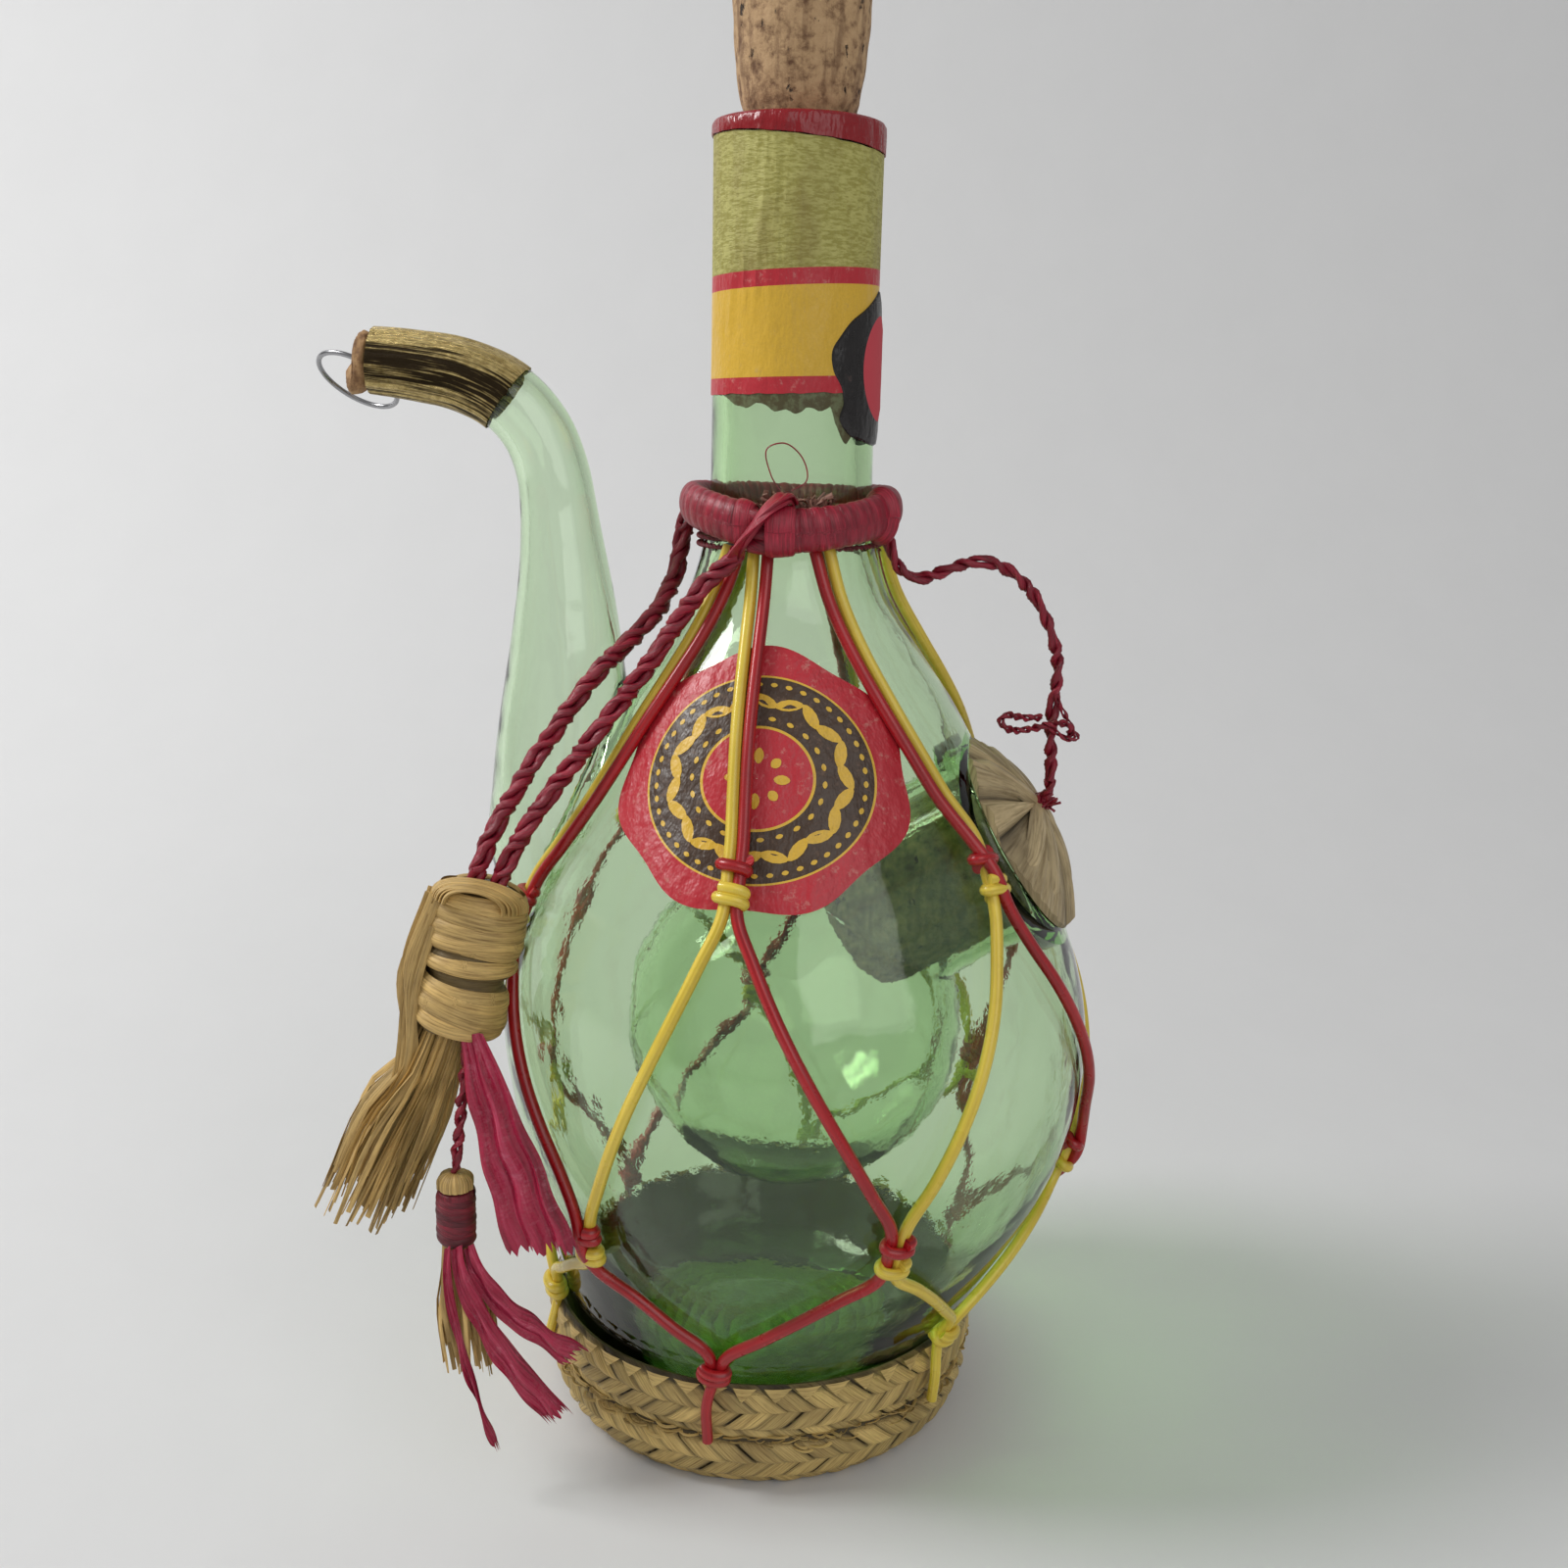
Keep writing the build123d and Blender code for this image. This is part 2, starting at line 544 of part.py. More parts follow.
def neck_seal():
    left = [(-SEAL_HALF_WIDTH * x, SEAL_HEIGHT * y) for x, y in SEAL_SHARES]
    right = [(-x, y) for x, y in left[-2:0:-1]]
    outline = make_face(Spline(*(left + right), periodic=True))
    foot = LIP_Z - SEAL_DROP - SEAL_HEIGHT
    plane = Plane(
        origin=(NECK_X, 0, foot),
        x_dir=(math.cos(math.radians(SEAL_AZIMUTH)), math.sin(math.radians(SEAL_AZIMUTH)), 0),
        z_dir=direction(SEAL_AZIMUTH, 0),
    )
    prism = extrude(plane * outline, amount=NECK_RADIUS * 2)
    lift = PAPER_THICKNESS + PAPER_GAP * 2
    return paper_shell(foot - OVERRUN, foot + SEAL_HEIGHT + OVERRUN, lift) & prism


def front_label():
    lobed = [
        (
            FRONT_LABEL_HALF_WIDTH * (1 + FRONT_LABEL_LOBE_SHARE * math.cos(FRONT_LABEL_LOBES * angle)) * math.sin(angle),
            FRONT_LABEL_HALF_HEIGHT * (1 + FRONT_LABEL_LOBE_SHARE * math.cos(FRONT_LABEL_LOBES * angle)) * math.cos(angle),
        )
        for angle in [2 * math.pi * k / (4 * FRONT_LABEL_LOBES) for k in range(4 * FRONT_LABEL_LOBES)]
    ]
    outline = make_face(Spline(*lobed, periodic=True))
    centre = surface_point(FRONT_LABEL_AZIMUTH, FRONT_LABEL_Z, -GLASS_WALL * 4)
    turned = math.radians(FRONT_LABEL_AZIMUTH)
    plane = Plane(
        origin=centre, x_dir=(math.cos(turned), math.sin(turned), 0),
        z_dir=direction(FRONT_LABEL_AZIMUTH, FRONT_LABEL_SLOPE),
    )
    prism = extrude(plane * outline, amount=BELLY_RADIUS)
    reach = FRONT_LABEL_HALF_HEIGHT + NECK_RADIUS / 4
    return paper_shell(FRONT_LABEL_Z - reach, FRONT_LABEL_Z + reach, PAPER_GAP) & prism


# Collar and net
def collar_hoop():
    sections = []
    for azimuth, radius, rise in HOOP_SHARES:
        angle = math.radians(azimuth)
        reach = HOOP_RADIUS * radius
        plane = Plane(
            origin=(NECK_X + reach * math.sin(angle), -reach * math.cos(angle), HOOP_Z + HOOP_HALF_HEIGHT * rise),
            x_dir=(math.sin(angle), -math.cos(angle), 0), z_dir=(math.cos(angle), math.sin(angle), 0),
        )
        sections.append(plane * Ellipse(HOOP_HALF_WIDTH, HOOP_HALF_HEIGHT))
    return loft(sections)


def collar_binding():
    """Cord wound round the neck in one unbroken tube of quarter turns."""
    radius = glass_radius(BINDING_Z) + BINDING_GAP + BINDING_DIAMETER / 2
    count = BINDING_TURNS * BINDING_QUARTERS
    points = [
        Vector(
            NECK_X + radius * math.cos(2 * math.pi * k / BINDING_QUARTERS),
            radius * math.sin(2 * math.pi * k / BINDING_QUARTERS),
            BINDING_Z + BINDING_PITCH * k / BINDING_QUARTERS,
        )
        for k in range(count + 1)
    ]
    rise = BINDING_PITCH / (2 * math.pi * radius)
    tangent = Vector(0, 1, rise)
    arcs = []
    for start, end in zip(points, points[1:]):
        arc = TangentArc(start, end, tangent=tangent)
        tangent = arc % 1
        arcs.append(arc)
    path = Wire([arc.edge() if hasattr(arc, "edge") else arc for arc in arcs])
    tail = BINDING_DIAMETER
    print("collar_binding least gap", round(turn_gap(path, count), 3), "tail", tail)
    section = Plane(origin=path @ 0, z_dir=path % 0) * Circle(BINDING_DIAMETER / 2)
    return sweep(section, path=path)


def turn_gap(path, quarters):
    """Least gap of the winding to itself, measured on points one turn apart or more."""
    steps = quarters * 6
    points = [path @ (k / steps) for k in range(steps + 1)]
    apart = BINDING_QUARTERS * 6
    gaps = [
        (points[i] - points[j]).length - BINDING_DIAMETER
        for i in range(len(points)) for j in range(i + apart - 6, len(points))
    ]
    return min(gaps)


def near_azimuth(azimuth, reference):
    return azimuth + 360 * round((reference - azimuth) / 360)


def knot_stop(knot, side_in, side_out, crossing_rise, is_crossing):
    """Points of one cord through a knot: before it, at its crossing and after it."""
    azimuth, z = knot
    reach = NET_CROSS_REACH if is_crossing else NET_KISS_REACH
    stops = [(azimuth, z + reach, side_in, NET_BEAD_RADIUS + NET_BEAD_GAP)]
    if is_crossing:
        lift = NET_CORD_DIAMETER / 2 + NET_GAP + crossing_rise
        stops.append((azimuth, z + NET_CROSS_HALF, side_in * NET_CROSS_SHARE, lift))
        stops.append((azimuth, z - NET_CROSS_HALF, side_out * NET_CROSS_SHARE, lift))
    stops.append((azimuth, z - reach, side_out, NET_BEAD_RADIUS + NET_BEAD_GAP))
    return stops


def net_route(stops):
    """Cord points over the glass: the stops, and even steps between distant ones."""
    points = [surface_point(stops[0][0], stops[0][1], stops[0][3], stops[0][2])]
    lift = NET_CORD_DIAMETER / 2 + NET_GAP
    for start, end in zip(stops, stops[1:]):
        gap = (surface_point(*start[:2], 0) - surface_point(*end[:2], 0)).length
        steps = max(1, round(gap / NET_RUN))
        for k in range(1, steps):
            t = k / steps
            azimuth = start[0] + (end[0] - start[0]) * t
            z = start[1] + (end[1] - start[1]) * t
            points.append(surface_point(azimuth, z, lift, start[2] + (end[2] - start[2]) * t))
        points.append(surface_point(end[0], end[1], end[3], end[2]))
    return points


def net_tail(azimuth, side):
    """Points of a cord end that lies on the outside of the straw base."""
    angle = math.radians(azimuth)
    points = []
    for z in NET_TAIL_HEIGHTS:
        radius = smooth_value(BASE_UPPER_ROWS, z, 1) + NET_CORD_DIAMETER / 2 + NET_TAIL_GAP
        points.append(Vector(
            radius * math.sin(angle) + side * math.cos(angle), -radius * math.cos(angle) + side * math.sin(angle), z,
        ))
    return points


def net_cord(column, is_red):
    """One cord of the net, from under the collar to the straw base."""
    side = NET_SIDE if is_red else -NET_SIDE
    swapped = column == NET_SWAPPED_COLUMN
    top_side = -side if swapped else side
    rise = NET_CROSS_RISE if is_red else 0.0
    upper = NET_UPPER_KNOTS[column]
    middle_index = column if is_red else (column - 1) % len(NET_MIDDLE_KNOTS)
    crossing = middle_index % 2 == 1
    step = 1 if is_red else -1
    lower_index = (column + step) % len(NET_LOWER_KNOTS) if crossing else column
    middle = NET_MIDDLE_KNOTS[middle_index]
    middle = (near_azimuth(middle[0], upper[0]), middle[1])
    lower = NET_LOWER_KNOTS[lower_index]
    lower = (near_azimuth(lower[0], middle[0]), lower[1])
    top = (near_azimuth(NET_TOP_AZIMUTHS[column], upper[0]), NET_TOP_Z)
    stops = [(*top, NET_TOP_SIDE * top_side / NET_SIDE, NET_CORD_DIAMETER / 2 + NET_TOP_GAP)]
    if column == NET_DETOUR_COLUMN:
        stops += [(*place, top_side, NET_CORD_DIAMETER / 2 + NET_GAP) for place in NET_DETOUR]
    stops += knot_stop(upper, top_side, side, rise, swapped)
    leaving = side if crossing else -side
    stops += knot_stop(middle, -side, leaving, rise, crossing)
    is_main = is_red == (lower_index % 2 == 0) and not crossing
    lower_side = -leaving
    end_z = lower[1] if is_main else lower[1] + NET_SECOND_END
    stops.append((lower[0], end_z, lower_side, NET_BEAD_RADIUS + NET_BEAD_GAP))
    points = net_route(stops)
    if is_main:
        points += net_tail(lower[0], lower_side)
    solid = tube(drop_straight_points(points), NET_CORD_DIAMETER)
    turn = 1 if is_red else -1
    for knot, before in ((upper, top_side), (middle, -side)):
        reach = NET_KISS_REACH if not (knot is upper and swapped or knot is middle and crossing) else NET_CROSS_REACH
        after = side if knot is upper else leaving
        bead_side = before if turn > 0 else after
        centre = surface_point(knot[0], knot[1] + turn * reach, NET_BEAD_RADIUS + NET_BEAD_GAP, bead_side)
        solid += Pos(centre) * Sphere(NET_BEAD_RADIUS)
    if is_main:
        solid += Pos(surface_point(lower[0], lower[1], NET_BEAD_RADIUS + NET_BEAD_GAP, lower_side)) * Sphere(NET_BEAD_RADIUS)
    return solid


# Straw base
def base_band(rows):
    """Ring of plaited straw with a rounded outer face, cut to sit round the glass."""
    inner = SOLE_RADIUS + SOLE_GAP
    outer_line = [(radius, z) for z, radius in rows]
    profile = make_face(Polyline(*outer_line, (inner, rows[-1][0]), (inner, rows[0][0]), close=True))
    ring = revolve(Plane.XZ * profile, Axis.Z)
    return ring - glass_skin(FOOT_Z, BASE_UPPER_ROWS[-1][0] + FLOOR_THICKNESS, BASE_GLASS_GAP)


def base_sole():
    return Pos(0, 0, SOLE_THICKNESS / 2) * Cylinder(SOLE_RADIUS, SOLE_THICKNESS)


# Spout pieces
def spout_foil():
    sleeve = spout_loft(PAPER_GAP + FOIL_THICKNESS) - spout_loft(PAPER_GAP)
    return split(sleeve, bisect_by=spout_plane(SPOUT_SHARES[FOIL_FIRST_ROW]), keep=Keep.TOP)


def spout_cork():
    seated = loft([
        TIP_PLANE.offset(-STOPPER_SEATED) * Circle(STOPPER_END_RADIUS),
        TIP_PLANE.offset(STOPPER_HEAD_GAP) * Circle(STOPPER_SEATED_RADIUS),
    ])
    head = loft([
        TIP_PLANE.offset(STOPPER_HEAD_GAP) * Circle(STOPPER_HEAD_RADIUS),
        TIP_PLANE.offset(STOPPER_HEAD_GAP + STOPPER_HEAD_LENGTH) * Circle(STOPPER_HEAD_RADIUS - STOPPER_HEAD_GAP),
    ])
    bump_centre = TIP_PLANE.location * Pos(0, STOPPER_BUMP_DROP, STOPPER_HEAD_LENGTH + STOPPER_HEAD_GAP)
    bump = bump_centre * Sphere(STOPPER_BUMP_RADIUS)
    hole = loft([
        TIP_PLANE.offset(-RING_LEG_DEPTH - RING_WIRE_GAP * 2) * Circle(RING_WIRE / 2 + RING_WIRE_GAP),
        TIP_PLANE.offset(STOPPER_HEAD_LENGTH * 3) * Circle(RING_WIRE / 2 + RING_WIRE_GAP),
    ])
    return seated + head + bump - hole


def pull_ring():
    """Open wire ring with a straight leg that turns in the cork."""
    entry = TIP_PLANE.origin + TIP_PLANE.z_dir * RING_LEG_REACH
    leg_foot = TIP_PLANE.origin - TIP_PLANE.z_dir * RING_LEG_DEPTH
    across = Vector(*RING_ACROSS).normalized()
    along = (Vector(*RING_ALONG) - across * Vector(*RING_ALONG).dot(across)).normalized()
    centre = entry - across * RING_RADIUS

    def on_ring(angle):
        turn = math.radians(angle)
        return centre + across * (RING_RADIUS * math.cos(turn)) + along * (RING_RADIUS * math.sin(turn))

    arc = ThreePointArc(on_ring(0), on_ring(RING_SWEEP / 2), on_ring(RING_SWEEP))
    hoop = sweep(Plane(origin=arc @ 0, z_dir=arc % 0) * Circle(RING_WIRE / 2), path=arc)
    leg_line = Line(leg_foot, entry)
    leg = sweep(Plane(origin=leg_foot, z_dir=TIP_PLANE.z_dir) * Circle(RING_WIRE / 2), path=leg_line)
    return hoop + leg + Pos(entry) * Sphere(RING_WIRE / 2)


# Ice pocket plug
def ice_plug():
    body = along_mouth(-PLUG_LENGTH, 0, PLUG_RADIUS)
    return fillet(body.edges().group_by(SortBy.LENGTH)[-1], PLUG_EDGE)


def ice_plug_cover():
    """Low dome of folded leaves over the mouth."""
    rise = COVER_RISE - COVER_SEAT_GAP
    bulge = rise - COVER_EDGE
    ball_radius = (COVER_RADIUS ** 2 + bulge ** 2) / (2 * bulge)
    dome = Pos(0, 0, rise / 2) * Cylinder(COVER_RADIUS, rise) & Pos(0, 0, rise - ball_radius) * Sphere(ball_radius)
    return MOUTH_PLANE.offset(COVER_SEAT_GAP).location * dome


def tie_plane():
    return MOUTH_PLANE.offset(COVER_RISE).location * Pos(0, TIE_UP, -TIE_SINK)


def ice_plug_tie():
    knot = Pos(0, 0, TIE_HEIGHT / 2) * Cylinder(TIE_RADIUS, TIE_HEIGHT)
    knot = fillet(knot.edges(), TIE_RADIUS / 3)
    return tie_plane() * knot - ice_plug_cover()


# Tassels
def tassel_head():
    top, bottom = Vector(*HEAD_TOP), Vector(*HEAD_BOTTOM)
    axis = bottom - top
    return loft([
        Plane(origin=top + axis * step, x_dir=(1, 0, 0), z_dir=axis.normalized())
        * Ellipse(HEAD_HALF_WIDTH * share, HEAD_HALF_DEPTH * share) for step, share in HEAD_SHARES
    ])


def grid_places(radius):
    """Staggered grid of places inside a circle."""
    rows = int(radius / STRAND_SPACING)
    places = []
    for row in range(-rows, rows + 1):
        shift = STRAND_SPACING / 2 if row % 2 else 0.0
        for column in range(-rows - 1, rows + 2):
            x, y = column * STRAND_SPACING + shift, row * STRAND_SPACING
            if math.hypot(x, y) < radius - STRAND_WIDTH:
                places.append((x, y))
    return places


def straw_strands(top, bottom, facing, radius, flare):
    """Straw ends that fan out from a slice of their tied top."""
    start, end = Vector(*top), Vector(*bottom)
    plane = Plane(origin=start, x_dir=(1, 0, 0), z_dir=facing)
    length = (end - start).length
    backing = loft([plane * Circle(radius), plane.offset(SLICE_THICKNESS) * Circle(radius)])
    strands = []
    for index, (x, y) in enumerate(grid_places(radius)):
        ragged = STRAND_RAGGED_SHARES[index % len(STRAND_RAGGED_SHARES)]
        foot = plane.offset(SLICE_THICKNESS / 2) * Pos(x, y, 0) * RegularPolygon(STRAND_WIDTH / 2, 4)
        run = plane.to_local_coords(end) * ragged + Vector(x, y, 0) * (flare - 1) * ragged
        strands.append(extrude(foot, amount=run.length, dir=plane.from_local_coords(run) - plane.origin))
    print("strands", len(strands), "over", round(length, 1))
    return backing.fuse(*[strand.solid() for strand in strands])


def folded_strip(rows, thickness, lean):
    """Thin strip with two lengthwise folds, through rows of centre, half width and fold depth."""
    across = Vector(*lean).normalized()
    sections = []
    for (centre, half, depth), (other, _, _) in zip(rows, rows[1:] + rows[-2:-1]):
        run = (Vector(*other) - Vector(*centre)) * (1 if centre[2] > other[2] else -1)
        facing = across.cross(run).normalized()
        plane = Plane(origin=centre, x_dir=across, z_dir=facing.cross(across) * -1)
        outer = [(-half, 0), (-half / 2, depth), (0, 0), (half / 2, depth), (half, 0)]
        back = [(x, y - thickness) for x, y in reversed(outer)]
        sections.append(plane * make_face(Polyline(*outer, *back, close=True)))
    return loft(sections, ruled=True)


def tassel_straw():
    axis = (Vector(*HEAD_BOTTOM) - Vector(*HEAD_TOP)).normalized()
    sunk = (Vector(*SKIRT_TOP) - Vector(*HEAD_BOTTOM)).dot(axis)
    return straw_strands(
        Vector(*SKIRT_TOP) + axis * (SEAT_GAP - sunk), SKIRT_BOTTOM, axis, SKIRT_RADIUS, SKIRT_FLARE)


def small_tassel_top():
    straw = Pos(SMALL_CENTRE_X, SMALL_CENTRE_Y, SMALL_TOP_Z - SMALL_TOP_HEIGHT / 2) * Cylinder(
        SMALL_TOP_RADIUS, SMALL_TOP_HEIGHT)
    return fillet(straw.edges().sort_by(Axis.Z)[-1], SMALL_EDGE)


def small_tassel_binding():
    centre_z = SMALL_TOP_Z - SMALL_TOP_HEIGHT - SEAT_GAP - SMALL_BINDING_HEIGHT / 2
    band = Pos(SMALL_CENTRE_X, SMALL_CENTRE_Y, centre_z) * Cylinder(SMALL_BINDING_RADIUS, SMALL_BINDING_HEIGHT)
    return fillet(band.edges().group_by(SortBy.LENGTH)[-1], SMALL_EDGE)


def small_tassel_straw():
    z = SMALL_TOP_Z - SMALL_TOP_HEIGHT - SMALL_BINDING_HEIGHT - SEAT_GAP * 2
    top = (SMALL_CENTRE_X, SMALL_CENTRE_Y, z)
    return straw_strands(top, SMALL_STRAW_BOTTOM, (0, 0, -1), SMALL_STRAW_RADIUS, SMALL_STRAW_FLARE)


def all_pieces():
    pieces = {
        "neck_cork": neck_cork,
        "rim_band": rim_band,
        "neck_label": neck_label,
        "neck_seal": neck_seal,
        "front_label": front_label,
        "collar_hoop": collar_hoop,
        "collar_binding": collar_binding,
        "base_band_upper": lambda: base_band(BASE_UPPER_ROWS),
        "base_band_lower": lambda: base_band(BASE_LOWER_ROWS),
        "base_sole": base_sole,
        "spout_foil": spout_foil,
        "spout_cork": spout_cork,
        "pull_ring": pull_ring,
        "ice_plug": ice_plug,
        "ice_plug_cover": ice_plug_cover,
        "ice_plug_tie": ice_plug_tie,
        "tether_cord": lambda: tube(TETHER_ROUTE, TETHER_DIAMETER, "tether_cord"),
        "tether_bow": lambda: tube(BOW_ROUTE, BOW_DIAMETER, "tether_bow"),
        "tassel_cord_front": lambda: tube(FRONT_CORD_ROUTE, TASSEL_CORD_DIAMETER, "tassel_cord_front"),
        "tassel_cord_rear": lambda: tube(REAR_CORD_ROUTE, TASSEL_CORD_DIAMETER, "tassel_cord_rear"),
        "tassel_head": tassel_head,
        "tassel_straw": tassel_straw,
        "tassel_ribbon": lambda: folded_strip(RIBBON_ROWS, RIBBON_THICKNESS, RIBBON_LEAN),
        "small_tassel_cord": lambda: tube(SMALL_CORD_ROUTE, SMALL_CORD_DIAMETER, "small_tassel_cord"),
        "small_tassel_top": small_tassel_top,
        "small_tassel_binding": small_tassel_binding,
        "small_tassel_straw": small_tassel_straw,
    }
    for index, rows in enumerate(STREAMER_ROWS):
        pieces[f"small_tassel_streamer_{index + 1}"] = (
            lambda rows=rows: folded_strip(rows, STREAMER_THICKNESS, STREAMER_LEAN))
    for column in range(len(NET_UPPER_KNOTS)):
        pieces[f"net_cord_red_{column + 1}"] = lambda column=column: net_cord(column, True)
        pieces[f"net_cord_yellow_{column + 1}"] = lambda column=column: net_cord(column, False)
    return pieces


os.makedirs("parts", exist_ok=True)
for name, part in glass_parts().items():
    print(name, "solids", len(part.solids()), "volume", round(part.volume))
    export_step(part, f"parts/{name}.step")
for name, make in all_pieces().items():
    export_step(make(), f"parts/{name}.step")
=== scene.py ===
"""Looks of the green wine decanter bottle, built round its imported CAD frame.

Sizes are in millimetres until a mesh is made; azimuths are degrees about the bottle's axis, from the
front towards +X.
"""

import logging
import math
from dataclasses import dataclass, field
from enum import Enum
from typing import Iterable, Sequence

import bpy
import numpy as np
from mathutils import Matrix, Vector

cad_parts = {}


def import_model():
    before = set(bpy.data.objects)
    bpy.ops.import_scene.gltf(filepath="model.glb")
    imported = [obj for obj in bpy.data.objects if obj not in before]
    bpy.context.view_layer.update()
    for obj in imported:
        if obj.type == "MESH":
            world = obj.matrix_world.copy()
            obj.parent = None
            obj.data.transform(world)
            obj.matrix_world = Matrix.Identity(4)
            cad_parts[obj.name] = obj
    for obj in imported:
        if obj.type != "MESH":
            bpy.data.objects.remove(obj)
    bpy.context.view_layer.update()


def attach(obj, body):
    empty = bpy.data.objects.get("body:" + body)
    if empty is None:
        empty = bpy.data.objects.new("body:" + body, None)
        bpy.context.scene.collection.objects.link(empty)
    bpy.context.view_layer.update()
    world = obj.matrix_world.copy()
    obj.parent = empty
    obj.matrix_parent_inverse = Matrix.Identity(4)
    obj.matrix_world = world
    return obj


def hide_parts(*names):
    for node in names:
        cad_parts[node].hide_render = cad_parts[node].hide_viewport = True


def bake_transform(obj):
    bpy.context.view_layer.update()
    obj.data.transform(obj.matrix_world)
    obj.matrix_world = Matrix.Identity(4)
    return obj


LOG = logging.getLogger("decanter")
MM = 0.001
TURN = 2 * math.pi
SIDEWAYS = np.array([0.0, 1.0, 0.0])
UPRIGHT = np.array([0.0, 0.0, 1.0])

Mesh = bpy.types.Mesh
Material = bpy.types.Material
Socket = bpy.types.NodeSocket
Array = np.ndarray
Random = np.random.Generator
Pair = tuple[float, float]
Triple = tuple[float, float, float]
Quad = tuple[float, float, float, float]
Frame = tuple[Array, Array, Array]


class Body(Enum):
    """Bodies of the frame that pieces ride on."""

    BOTTLE = "bottle"
    NECK_CORK = "neck_cork"
    SPOUT_CORK = "spout_cork"
    PULL_RING = "pull_ring"
    ICE_PLUG = "ice_plug"
    TASSEL = "tassel"
    SMALL_TASSEL = "small_tassel"


# Curves and meshes


def unit(vectors: Array) -> Array:
    """Scale vectors to length one."""
    return vectors / np.maximum(np.linalg.norm(vectors, axis=-1, keepdims=True), 1e-12)


def running_length(line: Array) -> Array:
    """Length along a line at each of its points."""
    return np.concatenate([[0.0], np.cumsum(np.linalg.norm(np.diff(line, axis=0), axis=1))])


def smooth(t: Array, span: Array, ends: tuple[Array, Array], slopes: tuple[Array, Array]) -> Array:
    """Value at a share of the span between two knots, on a curve with given ends and slopes."""
    return (
        (2 * t**3 - 3 * t**2 + 1) * ends[0]
        + (t**3 - 2 * t**2 + t) * span * slopes[0]
        + (3 * t**2 - 2 * t**3) * ends[1]
        + (t**3 - t**2) * span * slopes[1]
    )


def through_points(points: Sequence[Sequence[float]], step: float) -> Array:
    """Lay a smooth line through points.

    Args:
        points: places, or rows of any numbers whose first three are a place.
        step: wished spacing of the result.

    Returns:
        Rows of the same width along the line.
    """
    rows = np.asarray(points, float)
    moved = np.linalg.norm(np.diff(rows[:, :3], axis=0), axis=1) > 1e-6
    rows = rows[np.concatenate([[True], moved])]
    lengths = np.linalg.norm(np.diff(rows[:, :3], axis=0), axis=1)
    knots = running_length(rows[:, :3])
    slopes = np.gradient(rows, knots, axis=0)
    count = max(8, int(knots[-1] / step) + 1)
    places = np.linspace(0, knots[-1], count)
    index = np.clip(np.searchsorted(knots, places, side="right") - 1, 0, len(knots) - 2)
    span = lengths[index][:, None]
    t = ((places - knots[index]) / lengths[index])[:, None]
    return smooth(t, span, (rows[index], rows[index + 1]), (slopes[index], slopes[index + 1]))


def new_object(name: str, data: bpy.types.ID) -> bpy.types.Object:
    """Make an object and link it into the scene."""
    made = bpy.data.objects.new(name, data)
    bpy.context.scene.collection.objects.link(made)
    return made


def routed_line(name: str, points: Sequence[Triple]) -> Array:
    """Read the line of a free cord from the smooth spline over its route.

    Args:
        name: name of the passing curve.
        points: the route's control points, in metres.

    Returns:
        Points along the spline, in millimetres.
    """
    curve = bpy.data.curves.new(name, "CURVE")
    curve.dimensions = "3D"
    curve.resolution_u = 16
    spline = curve.splines.new("NURBS")
    spline.points.add(len(points) - 1)
    for place, point in zip(points, spline.points):
        point.co = (*place, 1.0)
    spline.order_u = 3
    spline.use_endpoint_u = True
    holder = new_object(name, curve)
    bpy.context.view_layer.update()
    line = bpy.data.meshes.new_from_object(holder)
    read = np.array([vertex.co[:] for vertex in line.vertices]) / MM
    bpy.data.objects.remove(holder)
    return read


def respaced(line: Array, step: float) -> Array:
    """Space a line's points evenly."""
    places = running_length(line)
    even = np.linspace(0, places[-1], max(3, int(places[-1] / step) + 1))
    return np.stack([np.interp(even, places, line[:, k]) for k in range(3)], axis=1)


def frames_along(line: Array) -> Frame:
    """Carry a frame along a line without turning about it.

    Args:
        line: points in millimetres.

    Returns:
        Running length, side vectors and other side vectors.
    """
    tangents = unit(np.gradient(line, axis=0))
    places = running_length(line)
    start = np.cross(tangents[0], UPRIGHT)
    if np.linalg.norm(start) < 0.2:
        start = np.cross(tangents[0], SIDEWAYS)
    sides = [unit(start)]
    for tangent in tangents[1:]:
        sides.append(unit(sides[-1] - tangent * (sides[-1] @ tangent)))
    side = np.array(sides)
    return places, side, np.cross(tangents, side)


